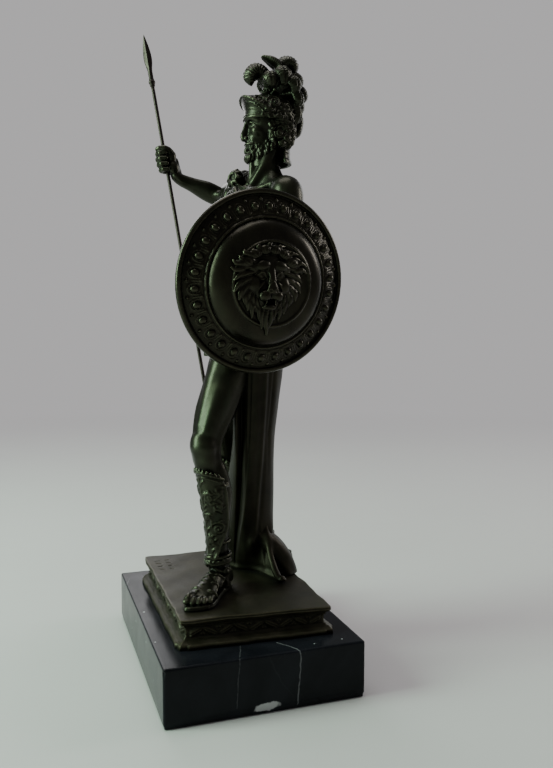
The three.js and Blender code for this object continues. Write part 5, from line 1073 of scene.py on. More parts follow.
def foot_layers(x, y, heading, side):
    """Foot in a sandal: heel at (x, y), toes along the heading; side +1 has the big toe on the left of travel."""
    M, o = rot(0, 0, heading), (x, y, FLOOR)
    skin, gear, sole = Layer(0.25, M, o), Layer(0.25, M, o), Layer(0.25, M, o)
    K = 1.07
    S = lambda a, b, c: (a * K, b * side, c)
    skin.add(Limb([(*S(-3.6, 0, 7.6), 4.6, 4.4), (*S(-1, 0, 8.2), 5.4, 5.4), (*S(5, 0, 9.2), 5.4, 6.0), (*S(12, 0.4, 8.6), 5.6, 5.3), (*S(20, 0.8, 7.2), 6.4, 4.1), (*S(27, 0.9, 5.9), 7.4, 3.0), (*S(31, 0.6, 5.3), 7.3, 2.4)], across=(0, 1, 0), steps=3))
    skin.add(Ball(S(-2.6, 0, 6.4), (5.0, 5.2, 4.2)), 2)
    skin.add(Limb([(*S(4, 0.6, 14), 4.6, 4.4), (*S(11, 1.0, 11.4), 3.8, 3.4), (*S(19, 1.8, 8.9), 3.2, 2.8), (*S(27, 3.2, 6.6), 3.0, 2.2)], across=(0, 1, 0), steps=3), 3)
    skin.add(Ball(S(29.6, 4.6, 5.4), (3.6, 3.4, 2.7)), 1.6)
    skin.add(Ball(S(26.6, -5.6, 4.9), (3.6, 2.6, 2.2)), 1.6)
    toes = [(32.0, 4.9, 40.6, 5.2, 2.5), (33.0, 1.5, 39.8, 1.7, 1.85), (32.0, -1.4, 38.2, -1.5, 1.75), (30.6, -4.1, 36.2, -4.4, 1.65), (28.8, -6.4, 33.8, -7.0, 1.6)]
    for k, (x0, y0, x1, y1, r) in enumerate(toes):
        x0, x1 = x0 * K, x1 * K
        mid = ((x0 + x1) / 2, (y0 + y1) / 2 * side, SOLE + r * 1.75)
        skin.add(Tube([(x0, y0 * side, SOLE + r * 1.2 + 0.6), mid, (x1 - r * 1.1, y1 * side, SOLE + r * 1.08)], [r * 0.92, r * 0.9, r * 0.95], 2), 0.5)
        skin.add(Ball((x1 - r * 0.9, y1 * side, SOLE + r * 0.95), (r * 1.15, r * 1.0, r * 0.9)), 0.5)
        skin.cut(Ball((x1 + 0.15 * r, y1 * side, SOLE + r * 1.72), (r * 0.8, r * 0.62, r * 0.36), rot(0, 24, 0)), 0.12)
    # long bones and tendons of the instep
    for b0, b1 in ((2.4, 4.2), (1.2, 1.4), (0.2, -1.4), (-0.9, -4.0)):
        skin.add(Tube([S(12, b0, 12.6 - 0.3 * abs(b0)), S(20, (b0 + b1) / 2, 10.0 - 0.3 * abs(b1)), S(29, b1, 6.9 - 0.25 * abs(b1))], [0.9, 1.0, 0.9], 3), 1.2)
    # sole in two layers with a waist under the arch
    out = [(-6.8, 0), (-5.6, 3.4), (-2.6, 5.2), (4, 5.6), (12, 5.0 if side > 0 else 4.8), (20, 6.4), (28, 8.0), (35, 8.0), (40.5, 7.0), (43, 4.6), (42.8, 1.6), (40.8, -1.8), (38.4, -5.0), (35.4, -7.8), (31, -9.2), (25, -8.6), (17, -6.8), (9, -5.6), (2, -5.6), (-3.4, -5.0), (-6.0, -2.6)]
    poly = [(a * K, b * side) for a, b in out]

    def slab(z0, z1, g):
        return Field(lambda P: np.maximum(outline(poly, P[..., 0], P[..., 1]) - F32(g), np.maximum(z0 - P[..., 2], P[..., 2] - z1)), (-9, -11, -1), (50, 11, 4))
    sole.add(slab(0.0, 1.1, -0.3))
    sole.add(slab(1.3, SOLE + 0.1, -0.7), 0.3)
    # straps: decorated tongue down the instep, crossed thongs, heel cup, toe loop
    gear.add(Limb([(*S(2.5, 0.2, 17.6), 2.6, 0.8), (*S(8, 0.5, 15.4), 2.5, 0.8), (*S(14, 1.1, 13.0), 2.3, 0.8), (*S(21, 1.8, 10.6), 2.1, 0.8), (*S(28, 2.7, 8.2), 1.9, 0.8), (*S(33, 3.3, 6.6), 1.3, 0.7)], across=(0, 1, 0), steps=4), 0.3)
    for t in np.linspace(0, 1, 11):
        q = catmull([S(3, 0.2, 18.4), S(8, 0.5, 16.3), S(14, 1.1, 13.9), S(21, 1.8, 11.5), S(28, 2.7, 9.1), S(32.4, 3.2, 7.5)], 8)
        gear.add(Ball(q[int(t * (len(q) - 1))], 1.05 if int(round(t * 10)) % 2 else 0.75), 0.2)
    base = len(skin.ops)

    def thong(pts, r=0.62, off=0.25):
        gear.add(Tube(skin.snap(catmull(pts, 5), off, 6, base)[0], r), 0.2)
    for b in (-1, 1):
        thong([(15, 2.0 * b, 14), (11, 5.4 * b, 10.5), (6.5, 6.2 * b, 6.4), (3.5, 6.0 * b, 3.6)])
        thong([(6, 3.4 * b, 16), (9.5, 5.6 * b, 11), (14, 6.2 * b, 7.0), (17, 6.8 * b, 3.6)])
        thong([(22, 2.6 * b, 11), (19, 6.0 * b, 8.0), (15.5, 6.6 * b, 5.0), (13.5, 6.2 * b, 3.4)])
        thong([(17.5, 2.2 * b, 13), (20.5, 6.0 * b, 8.6), (23, 7.4 * b, 5.4), (24.5, 7.8 * b, 3.4)])
        thong([(29, 4.0 * b, 8.5), (28.5, 7.2 * b, 5.6), (27.5, 8.6 * b, 3.6)], 0.8)
    thong([(-2, 4.8, 12.0), (-5.4, 3.6, 11.2), (-7.2, 0, 11), (-5.4, -3.6, 11.2), (-2, -4.8, 12.0)], 0.8)
    return [skin, gear, sole]


SOLE = 2.4
FRAME_L, FRAME_R = LegFrame(LEG_L, 20, 1), LegFrame(LEG_R, -14, -1)
MARKS_L = [(-16, 118, 2.4, 1.4, 2.0), (32, 113.5, 3.4, 1.6, 0.8), (60, 94, 4.4, -1.6, 2.4), (12, 101, 3.0, -1.4, 4.0), (24, 86, 2.8, 1.4, 1.2), (-40, 108, 4.0, -1.5, 0.4), (-48, 92, 3.6, 1.5, 2.2), (66, 108, 2.8, 1.3, 3.2), (-22, 84, 2.4, -1.3, 1.0), (56, 80.5, 2.2, 1.2, 0.4), (70, 117, 1.9, -1.2, 0.4)]
MARKS_R = [(-30, 115, 3.4, 1.5, 0.8), (30, 115, 3.4, -1.5, 2.3), (-42, 101, 3.8, -1.5, 2.4), (42, 101, 3.8, 1.5, 0.7), (-30, 87, 3.0, 1.4, 1.2), (30, 87, 3.0, -1.4, 1.9), (72, 112, 2.6, 1.2, 1), (-72, 112, 2.6, -1.2, 2)]


def knot(L, c, n, r=2.4):
    """Round boss at the ankle: a spiral in a ring."""
    n = unit(n)
    a = unit(np.cross(n, (0, 0, 1)))
    b = np.cross(a, n)
    L.add(Ball(c - n * 0.6, (r, r, 1.4), np.stack([a, b, n], 1)), 0.5)
    L.add(Tube([c + r * (a * math.cos(w) + b * math.sin(w)) + n * 0.3 for w in np.linspace(0, 2 * math.pi, 17)], 0.6), 0.2)
    L.add(curl(c + n * 0.6, n, r * 0.62, 1.4, 0.5), 0.15)


def leg_layers():
    out = []
    for F, (x, y, hd, sd), marks in ((FRAME_L, (19.4, -8.6, -39, -1), MARKS_L), (FRAME_R, (-10.5, 41, 239, 1), MARKS_R)):
        skin, g = Layer(0.5), Layer(0.3)
        leg_skin(skin, F)
        greave(g, F, 3, marks)
        if F is FRAME_L:
            knot(g, F.skin(96, 65.6, 1.4), F.skin(96, 65.6, 2) - F.skin(96, 65.6, 0))
        knot(g, F.skin(-96, 66.6, 1.4), F.skin(-96, 66.6, 2) - F.skin(-96, 66.6, 0))
        # strap from the cuff under the ankle
        for s in (-1, 1):
            g.add(Tube([F.skin(s * 30, 69.5, 1.2), F.skin(s * 62, 66.5, 1.3), F.skin(s * 96, 65.4, 1.0), F.skin(s * 135, 66, 0.6), F.skin(s * 180, 66.6, 0.4)], 0.95, 3), 0.3)
        out += [skin, g] + foot_layers(x, y, hd, sd)
    return out


# ---------------------------------------------------------------- cloak falling from the left forearm to the plinth
# Outline of the cloth at each height, as (s, x): x towards the left side of the figure, y = s - 0.293 x.
CLOAK = [
    (262, 16, [(9, 28), (10, 31), (11, 33), (12.4, 34), (14, 34), (15.4, 35), (17, 36), (19, 36.5), (22, 36.5), (25, 36), (28, 35), (31, 33.5), (34, 31), (36, 28), (36.5, 25)]),
    (240, 9, [(3, 20), (4.4, 26), (6.4, 29), (8.4, 29), (10, 27.5), (12, 31), (15.5, 34), (19, 36), (23, 36), (27, 35.4), (30.5, 34), (33.5, 31.5), (36, 28), (37.5, 23.5), (37.8, 19)]),
    (205, 3, [(2.4, 13), (3.4, 22), (5.6, 27), (8.0, 26.6), (10, 21.4), (12, 26.5), (15.5, 30.5), (19.8, 33.5), (23.5, 33.0), (27, 32.0), (30.5, 30.6), (33, 28.5), (35, 25), (36, 20), (36.0, 15)]),
    (190, 1, [(2.4, 12), (3.6, 21), (5.6, 25.5), (8.0, 25), (9.8, 19.4), (11.6, 24.5), (15, 28.5), (19.6, 31.8), (23.2, 31.2), (26.6, 30.0), (29.8, 28.4), (32.4, 26.2), (34.4, 22.5), (35.4, 18), (35.4, 13)]),
    (170, -1, [(2.4, 10), (3.8, 18.5), (5.6, 23), (7.8, 22.4), (9.6, 16.4), (11.4, 21.5), (14.6, 25.5), (19.0, 28.6), (22.6, 28.0), (25.6, 26.8), (28.4, 25.0), (30.6, 22.8), (32.2, 19), (33, 15), (33, 10)]),
    (150, -3, [(2.4, 8), (3.8, 16), (5.4, 20), (7.4, 19.4), (9.4, 13.4), (11.2, 18.5), (14.2, 22), (18.5, 24.8), (21.6, 24.2), (24.2, 23.0), (26.6, 21.2), (28.6, 19), (30, 15.5), (30.6, 11.5), (30.5, 7)]),
    (130, -6, [(2.4, 4), (4.0, 11), (5.8, 14.5), (7.4, 13.8), (8.8, 9.6), (10.4, 13.8), (12.8, 17), (16.4, 19.4), (20, 19.0), (23.2, 18.0), (26, 16.4), (28.2, 14), (29.4, 10.5), (29.9, 6.5), (29.8, 2)]),
    (110, -10, [(1.0, -4), (3.2, 3), (5.4, 6.6), (7.0, 6.4), (8.2, 4.2), (9.6, 8), (11.2, 11), (13.4, 13), (17.4, 13.2), (21.4, 12.4), (25, 10.8), (27.8, 8.4), (29.2, 5), (29.7, 1), (29.6, -4)]),
    (92, -16, [(-0.2, -12), (2.0, -4.5), (4.4, -0.6), (6.2, 0), (7.4, -1.0), (8.6, 2.6), (9.6, 5), (10.8, 6.8), (14.8, 8.0), (19.6, 7.8), (24, 6.6), (27.4, 4.4), (29.1, 1), (29.7, -3), (29.6, -8)]),
    (76, -20, [(-1.0, -18), (0.8, -11.5), (3.0, -7.8), (4.6, -6.6), (5.6, -7.4), (6.6, -4.6), (7.4, -2.6), (8.6, -0.8), (12.4, 1.8), (17.0, 4.0), (22.4, 3.8), (26.6, 4.2), (29.2, 4.6), (30.6, 1), (30.2, -8)]),
    (62, -24, [(-1.0, -21), (0.6, -17.4), (2.4, -14.6), (3.8, -13), (4.8, -13.2), (5.6, -10.8), (6.4, -9), (7.8, -7.2), (11.4, -4.6), (16.2, -2.4), (21.2, 0.2), (25.6, 3.4), (29.6, 8.6), (32.4, 8.4), (32.4, -4)]),
    (50.8, -27, [(-0.6, -23.6), (0.8, -21.4), (2.4, -19.6), (4.0, -18), (5.2, -16.4), (6.4, -15), (8.0, -14), (10.4, -13), (14.6, -11.4), (19, -8.4), (23.8, -1), (29, 8.4), (33.6, 14.4), (36.4, 15.6), (35.8, 2)]),
]


def make_cloak_loft():
    """The long fall of cloth, lofted through its outlines."""
    rows = []
    for z, xb, front in CLOAK:
        front = [list(p) for p in front]
        out = float(np.interp(z, [51, 62, 76, 92, 110, 130, 190, 262], [0, 0.4, 1.5, 2.1, 2.2, 1.9, 1.6, 1.2]))
        for i, f in ((-1, 1.0), (-2, 1.0), (-3, 1.0), (-4, 0.8), (-5, 0.5), (-6, 0.25)):
            front[i][0] += out * f
        a, c = front[3][1] + 0.4, front[7][1]
        lift = np.interp(z, [62, 92], [0.0, 0.75])
        for i, f in ((4, -0.02), (5, 0.30), (6, 0.74)):
            front[i][1] += lift * max(a + f * (c - a) - (0.3 if i == 4 else 0) - front[i][1], 0)
        reach = min(1.0, max(0.0, (140 - z) / 22)) * np.interp(z, [51, 76], [0.0, 1.0])
        front[0] = [front[2][0] - 1.9 - 4.9 * reach, front[2][1] - 9.5 - 1.5 * reach]
        front[1] = [front[2][0] - 1.4 - 1.5 * reach, front[2][1] - 2.8 - 0.8 * reach]
        sl, sr = front[0][0] + 1.2, front[-1][0] - 1.5
        back = [(sr + (sl - sr) * f, xb + o + 5 * (1 - f) * (z < 140)) for f, o in ((0.03, 5), (0.14, -0.5), (0.27, 2.2), (0.40, -1.2), (0.53, 2.0), (0.66, -1.4), (0.78, 1.8), (0.89, -0.6), (0.98, 4.5))]
        pts = np.array([tuple(p) for p in front] + back, float)
        rows.append(np.column_stack([pts[:, 1], pts[:, 0] - 0.293 * pts[:, 1]]))
    R = np.array(rows)                                   # level, point, (x, y)
    zs = np.array([r[0] for r in CLOAK], float)

    def cr(p0, p1, p2, p3, t):
        return 0.5 * (2 * p1 + (p2 - p0) * t + (2 * p0 - 5 * p1 + 4 * p2 - p3) * t * t + (3 * p1 - p0 - 3 * p2 + p3) * t ** 3)
    n, m = R.shape[1], 9
    ring = np.concatenate([np.stack([cr(R[:, (k - 1) % n], R[:, k], R[:, (k + 1) % n], R[:, (k + 2) % n], t / m) for t in range(m)], 1) for k in range(n)], 1)
    grid, zz = [], []
    L = len(zs)
    for i in range(L - 1):
        steps = max(2, int(round((zs[i] - zs[i + 1]) / 0.95)))
        for t in range(steps):
            u = t / steps
            a, b, c, d = ring[max(i - 1, 0)], ring[i], ring[i + 1], ring[min(i + 2, L - 1)]
            # tangents scaled by the uneven spacing of the levels
            h = zs[i] - zs[i + 1]
            m0 = (c - a) * (h / (zs[max(i - 1, 0)] - zs[i + 1])) if i else c - b
            m1 = (d - b) * (h / (zs[i] - zs[min(i + 2, L - 1)])) if i + 2 < L else c - b
            grid.append((2 * u ** 3 - 3 * u * u + 1) * b + (u ** 3 - 2 * u * u + u) * m0 + (3 * u * u - 2 * u ** 3) * c + (u ** 3 - u * u) * m1)
            zz.append(zs[i] - h * u)
    grid.append(ring[-1])
    zz.append(zs[-1])
    G, zz = np.array(grid), np.array(zz)
    N = G.shape[1]
    X = np.concatenate([G, np.repeat(zz[:, None, None], N, 1)], 2)
    # soft secondary folds, and the slight unevenness of cast cloth
    T = np.roll(X, -1, 1) - np.roll(X, 1, 1)
    nrm = np.stack([T[..., 1], -T[..., 0], 0 * T[..., 0]], -1)
    nrm /= np.maximum(np.linalg.norm(nrm, axis=-1, keepdims=True), 1e-6)
    cen = X[..., :2].mean(1, keepdims=True)
    sgn = np.sign(((X[..., :2] - cen) * nrm[..., :2]).sum(-1).mean())
    nrm *= sgn
    s, z = X[..., 1] + 0.293 * X[..., 0], X[..., 2]
    front = (np.arange(N) < 14.5 * m)[None, :]
    d = 0.07 * np.sin(0.9 * s + 0.05 * z + 1.3 * np.sin(0.043 * z)) + 0.06 * np.sin(0.11 * z + 0.5 * s)
    path = lambda pts: np.interp(z, [p[0] for p in pts][::-1], [p[1] for p in pts][::-1])
    r2 = path([(262, 27), (190, 25.6), (150, 23.6), (110, 21.0), (76, 18.6), (51, 19)])
    d = d + front * (0.55 * gauss(s - r2, 1.1) - 0.42 * gauss(s - r2 - 2.4, 1.3)) * np.clip((z - 66) / 30, 0, 1)
    r3 = path([(262, 32.4), (190, 31), (150, 27.6), (110, 27.2), (76, 27), (51, 27)])
    d = d - front * 0.5 * gauss(s - r3, 0.9) * np.clip((z - 120) / 30, 0, 1)
    r4 = path([(262, 15.4), (190, 15.4), (150, 14.4), (110, 11.4), (51, 8)])
    d = d - front * 0.45 * gauss(s - r4, 0.8) * np.clip((z - 110) / 30, 0, 1)
    d = d + front * 1.6 * np.exp(-((s - 16.6) / 2.6) ** 2 - ((z - 74) / 4.5) ** 2) - front * 0.9 * np.exp(-((s - 20.5) / 2.6) ** 2 - ((z - 69) / 5) ** 2)
    d = d + front * 0.5 * gauss(s - path([(95, 22), (51, 26)]), 1.0) * np.clip((96 - z) / 20, 0, 1) * np.clip((z - 52) / 6, 0, 1)
    # thin rolled hem at the foot
    d = d + front * (0.9 * gauss(z - 53.0, 1.0) - 0.5 * gauss(z - 56.4, 1.4))
    X += nrm * d[..., None]
    V = X.reshape(-1, 3)
    M = len(zz)
    i, j = np.meshgrid(np.arange(M - 1), np.arange(N), indexing="ij")
    k = (j + 1) % N
    Q = np.stack([i * N + j, (i + 1) * N + j, (i + 1) * N + k, i * N + k], -1).reshape(-1, 4)
    if sgn > 0:
        pass
    # both ends closed to a middle point
    V = np.concatenate([V, X[0].mean(0)[None] + [0, 0, 1.5], X[-1].mean(0)[None]])
    a, b = M * N, M * N + 1
    j = np.arange(0, N - 1, 2) if N % 2 == 0 else np.arange(0, N - 2, 2)
    caps = [np.stack([np.full(len(j), a), j, (j + 1) % N, (j + 2) % N], -1), np.stack([np.full(len(j), b), (M - 1) * N + (j + 2) % N, (M - 1) * N + (j + 1) % N, (M - 1) * N + j], -1)]
    Q = np.concatenate([Q] + caps)
    p = V[Q[:, :3]]
    vol = (p[:, 0] * np.cross(p[:, 1], p[:, 2])).sum() + (V[Q[:, 0]] * np.cross(V[Q[:, 2]], V[Q[:, 3]])).sum()
    return V, (Q if vol > 0 else Q[:, ::-1])


def hem_layers():
    """Loose ends round the foot of the cloak: rolled edge, ball weight, and the cloth trailing over the rear heel."""
    L = Layer(0.3)
    L.add(Tube([(19.6, 29.8, FLOOR + 1.2), (16.0, 28.4, 56.5), (12.4, 27.4, 61.5), (9.0, 26.6, 67.5), (6.0, 26.0, 76), (3.6, 25.2, 86)], [2.2, 2.3, 2.3, 2.1, 1.8, 1.2], 4), 1.0)
    L.add(Ball((20.6, 31.0, FLOOR + 1.9), 2.3), 0.4)
    L.add(Tube([(20.6 + 2.5 * math.cos(w), 31.0 + 2.5 * math.sin(w), FLOOR + 1.6) for w in np.linspace(0, 2 * math.pi, 17)], 0.5), 0.2)
    L.add(Limb([(0, 20, 82, 4.6, 4.2), (0.0, 26.6, 75.6, 7.0, 6.0), (-1.2, 32.6, 69.2, 9.0, 6.8), (-2.6, 37.8, 62.4, 10.4, 6.8), (-3.6, 41.6, 55.6, 11.0, 6.4), (-3.8, 43.4, FLOOR - 1, 11.2, 6.2)], across=(1, 0, 0), steps=4, shape=lambda t, q, P: 1 + 0.045 * (folds(4 * q / (2 * np.pi) + 0.5 * t, 0.5) - 0.5)), 2.4)
    L.add(Limb([(1, 25, 74, 3, 3), (4.0, 31.6, 64.6, 3.6, 3.2), (5.4, 36.8, 58, 3.8, 3.4), (6.2, 40.0, FLOOR, 4.2, 3.6)], across=(1, 0, 0), steps=4), 3.0)
    L.keep(Field(lambda P: F32(FLOOR - 0.6) - P[..., 2], (-60, -60, 40), (80, 80, 300)), 0.2)
    return [L]

# ---------------------------------------------------------------- shield
# Local frame: +X to the right on the face, +Y up, +Z the outward normal.
def shield_frame():
    t, q = math.radians(-6.8), math.radians(8.4)
    n = np.array([math.cos(t) * math.cos(q), math.cos(t) * math.sin(q), math.sin(t)])
    x = unit(np.cross((0, 0, 1), n))
    return np.stack([x, np.cross(n, x), n], 1), (50.4, 7.9, 244.4)


SHIELD_M, SHIELD_C = shield_frame()
SHIELD_SECTION = [(-4, 13.9), (0, 13.9), (8, 13.75), (14, 13.4), (19, 12.95), (22.6, 12.5), (23.4, 12.4), (23.9, 13.0), (24.6, 13.1), (25.2, 12.9), (25.6, 12.0), (28, 11.6), (30.5, 11.0), (32.6, 10.1), (34.2, 9.0), (35.4, 7.8), (36.3, 6.5), (36.9, 5.4), (37.25, 4.5), (37.6, 5.4), (38.4, 5.6), (38.9, 5.3), (39.1, 4.6), (39.6, 4.1), (40.2, 4.5), (40.8, 4.2),
                  (45, 2.3), (50.0, 0.1), (50.9, -0.5), (51.3, 0.4), (51.9, 1.1), (53.0, 1.25), (54.0, 0.7), (54.55, -0.3), (54.5, -1.5), (54.0, -2.3), (51, -2.8), (45, -0.8), (39, 1.2), (36.4, 2.4), (34, 4.3), (32, 5.8), (28, 7.7), (20, 9.2), (10, 10.3), (0, 10.7), (-4, 10.7)]


def shield_layers():
    L = Layer(0.3, SHIELD_M, SHIELD_C)
    L.add(Field(lambda P: outline(SHIELD_SECTION, np.sqrt(P[..., 0] ** 2 + P[..., 1] ** 2), P[..., 2]), (-55, -55, -4), (55, 55, 12)))
    for k in range(30):
        w = 2 * math.pi * (k + 0.5) / 30
        d, t = np.array([math.cos(w), math.sin(w), 0]), np.array([-math.sin(w), math.cos(w), 0])
        at = lambda r, s, z: d * r + t * s + np.array([0, 0, z])
        face = lambda r: 4.1 - 0.44 * (r - 41)
        loop = [at(41.4, -3.0, face(41.4))] + [at(r, s, face(r)) for r, s in ((44.0, -3.15), (46.2, -2.8), (47.6, -1.7), (48.1, 0), (47.6, 1.7), (46.2, 2.8), (44.0, 3.15), (41.4, 3.0))]
        L.add(Tube(loop, 0.42), 0.2)
        L.add(Ball(at(44.5, 0, face(44.5) + 0.15), (2.75, 2.2, 2.0), np.stack([unit(d + np.array([0, 0, -0.44])), t, unit(np.cross(unit(d + np.array([0, 0, -0.44])), t))], 1)), 0.25)
        w2 = 2 * math.pi * k / 30
        d2 = np.array([math.cos(w2), math.sin(w2), 0])
        L.add(Ball(d2 * 48.6 + np.array([0, 0, face(48.6) + 0.1]), 0.95), 0.25)
        L.add(Tube([d2 * 41.2 + np.array([0, 0, face(41.2)]), d2 * 45.4 + np.array([0, 0, face(45.4)])], [0.75, 0.35]), 0.25)
    # arm band behind the dish, and the hand grip near the rim
    L.add(Box((10, 0, -9.9), (4, 11.2, 0.8), None, 0.5), 0.3)
    for s in (-1, 1):
        L.add(Tube([(10, s * 10.6, -9.6), (10, s * 11.8, -2), (10, s * 13.4, 8.4), (10, s * 13.8, 9.6)], 0.95), 0.4)
        for dx in (-3, -1, 1, 3):
            L.add(Tube([(10 + dx, s * 10.4, -9.6), (10 + dx, s * 11.6, -2), (10 + dx, s * 13.2, 8.4), (10 + dx, s * 13.6, 9.6)], 0.95), 0.3)
        L.add(Ball((10, s * 13.4, 8.6), (5.2, 2.2, 1.6)), 0.6)
        L.add(Tube([(-30.4, s * 13.6, 5.6), (-31.6, s * 13.4, 0), (-32, s * 12, -6), (-32.2, s * 9, -10.0), (-32.3, s * 7, -11)], [1.9, 1.5, 1.4, 1.4, 1.4], 3), 0.5)
        L.add(Ball((-30.4, s * 13.6, 5.2), (3.2, 3.2, 1.4)), 0.6)
    L.add(Tube([(-32.3, -7.4, -11), (-32.5, 0, -11.6), (-32.3, 7.4, -11)], [1.4, 1.6, 1.4], 3), 0.5)
    return [L]


def lion_layers():
    L = Layer(0.3, SHIELD_M, SHIELD_C)
    base = lambda r: 10.9 - 0.0022 * r * r
    L.add(Ball((0, 1.5, 8.6), (12.4, 15.0, 5.8)))
    L.add(Ball((0, 9.5, 9.8), (10.2, 9.0, 5.0)), 2)
    L.add(Ball((0, -6.4, 11.0), (7.4, 6.6, 5.6)), 2.5)
    L.add(Limb([(0, 12.5, 13.6, 2.4, 1.4), (0, 7.6, 15.0, 2.2, 1.9), (0, 3.0, 16.4, 2.5, 2.2), (0, -0.6, 17.6, 3.0, 2.3)], across=(1, 0, 0), steps=3), 1.4)
    L.add(Ball((0, -2.4, 18.1), (3.6, 2.1, 1.9)), 0.8)
    for s in (-1, 1):
        L.add(Ball((s * 5.2, 11.0, 13.6), (4.7, 3.2, 3.0), rot(0, 0, -s * 12)), 0.7)          # brow
        L.add(Ball((s * 9.4, 9.4, 11.8), (2.6, 3.0, 2.6)), 1.0)
        L.add(Ball((s * 8.8, 0.2, 11.8), (3.4, 5.2, 3.8), rot(0, 0, s * 8)), 1.2)             # cheek
        L.cut(Ball((s * 5.7, 5.6, 16.2), (3.4, 2.2, 3.4), rot(0, 0, s * 16)), 1.0)            # eye socket
        L.add(Ball((s * 5.5, 5.4, 12.9), (2.3, 1.9, 1.9)), 0.2)
        L.cut(Ball((s * 5.3, 5.4, 15.2), 0.75), 0.3)
        L.add(Tube([(s * 2.9, 4.4, 14.2), (s * 4.2, 6.9, 14.6), (s * 6.2, 7.3, 14.3), (s * 8.2, 5.6, 13.2)], [0.5, 0.7, 0.7, 0.45], 3), 0.3)
        L.add(Tube([(s * 2.9, 4.2, 14.0), (s * 4.4, 3.5, 14.2), (s * 6.4, 3.6, 13.8), (s * 8.2, 5.2, 12.9)], [0.45, 0.6, 0.6, 0.4], 3), 0.3)
        L.add(Ball((s * 3.7, -5.6, 15.6), (3.9, 3.3, 3.6), rot(0, 0, -s * 14)), 0.8)          # whisker pad
        for a, b in ((2.6, -4.6), (4.4, -4.2), (3.2, -6.2), (5.0, -5.8), (6.0, -4.2)):
            L.cut(Ball((s * a, b, 19.2 - 0.16 * a * a), 0.5), 0.3)
        L.cut(Ball((s * 1.9, -2.7, 19.9), (0.95, 0.7, 1.0)), 0.3)
        L.cut(Tube([(s * 1.0, 2.6, 18.6), (s * 2.6, 1.2, 18.0), (s * 4.4, -0.8, 17.0)], [0.3, 0.45, 0.3], 2), 0.6)
        L.add(Tube([(s * 4.6, 1.6, 15.0), (s * 6.8, -0.8, 14.6), (s * 7.8, -3.4, 13.8), (s * 7.4, -6.6, 12.8)], [0.7, 1.0, 1.0, 0.7], 3), 0.6)
        L.add(Tube([(s * 10.8, 8.0, 11.6), (s * 11.6, 3.0, 11.8), (s * 10.8, -3.0, 11.8), (s * 8.8, -7.4, 11.4)], [0.9, 1.1, 1.1, 0.8], 3), 0.5)
        L.add(Ball((s * 12.4, 12.4, 11.4), (2.4, 3.2, 2.2), rot(0, 0, -s * 30)), 0.5)         # ear
        L.cut(Ball((s * 12.3, 12.4, 13.6), (1.2, 2.0, 1.6), rot(0, 0, -s * 30)), 0.4)
    L.cut(Tube([(0, -3.8, 19.8), (0, -5.6, 19.4), (0, -7.6, 18.4)], 0.4, 2), 0.4)
    # open mouth with tongue, fangs and lower jaw
    L.cut(Ball((0.2, -9.4, 16.2), (4.6, 1.7, 4.8)), 0.6)
    L.add(Ball((0, -12.3, 13.2), (4.9, 2.2, 3.4)), 0.8)
    L.add(Ball((0, -10.6, 12.4), (2.6, 1.3, 2.6)), 0.3)
    for s in (-1, 1):
        L.add(Tube([(s * 2.9, -7.8, 16.4), (s * 2.7, -10.0, 16.0)], [0.75, 0.25]), 0.15)
        L.add(Tube([(s * 3.2, -11.6, 15.4), (s * 3.1, -9.9, 15.6)], [0.6, 0.22]), 0.15)
    # roll of curls over the forehead
    for a, b, w, r in ((-12.6, 12.6, 40, 3.4), (-9.0, 17.0, 30, 3.5), (-3.6, 19.6, 10, 3.7), (2.6, 19.8, -8, 3.7), (8.2, 17.4, -28, 3.5), (12.4, 13.0, -42, 3.4)):
        M = rot(0, 0, w)
        L.add(Ball((a, b, 11.8), (r, r * 0.78, 2.6), M), 0.5)
        for e in (-0.42, 0.0, 0.42):
            p = [np.array([a, b, 0.0]) + M @ np.array([e * r * (1.1 + 0.5 * v), v * r * 0.8, 0]) + np.array([0, 0, 14.5 - 1.1 * v * v - 1.2 * e * e]) for v in (-1, -0.4, 0.3, 1)]
            L.cut(Tube(p, [0.2, 0.34, 0.34, 0.2], 2), 0.35)
    for i in range(15):
        w = math.radians(160 - 10 * i)
        r = 19.6 + 1.1 * (i % 2)
        L.add(Tube([(r * 0.82 * math.cos(w), r * 0.9 * math.sin(w) + 2.5, 11.6), (r * 0.97 * math.cos(w + 0.05), r * 1.0 * math.sin(w + 0.05) + 2, 11.6), (r * 1.12 * math.cos(w - 0.04), r * 1.10 * math.sin(w - 0.04) + 1, 10.9)], [1.6, 1.4, 0.5], 2), 0.4)

    # mane: flame-shaped locks, each of three strands
    def lock(p, phi, ln, bend, w):
        q = np.array(p, float)
        pts, f = [q.copy()], phi
        for k in range(5):
            q = q + np.array([math.cos(f), math.sin(f), 0]) * ln / 5
            f += bend * (0.35 if k < 3 else -0.55)
            pts.append(q.copy())
        pts = np.array(pts)
        rr = np.hypot(pts[:, 0], pts[:, 1])
        t = np.linspace(0, 1, 6)
        pts[:, 2] = p[2] * (1 - t) + (base(rr[-1]) + 0.25) * t + 0.7 * np.sin(math.pi * t)
        T = np.gradient(pts, axis=0)
        N = np.stack([-T[:, 1], T[:, 0], 0 * T[:, 0]], 1)
        N /= np.linalg.norm(N, axis=1)[:, None]
        g = w * (0.5 + 0.5 * np.sin(math.pi * (0.12 + 0.88 * t)))[:, None]
        for e, rad, up in ((-0.62, 0.56, 0.0), (0.0, 0.66, 0.55), (0.62, 0.56, 0.0)):
            L.add(Tube(pts + N * g * e + np.array([0, 0, up]), list(w * rad * np.array([0.8, 1.0, 1.0, 0.9, 0.7, 0.3])), 2), 0.22)

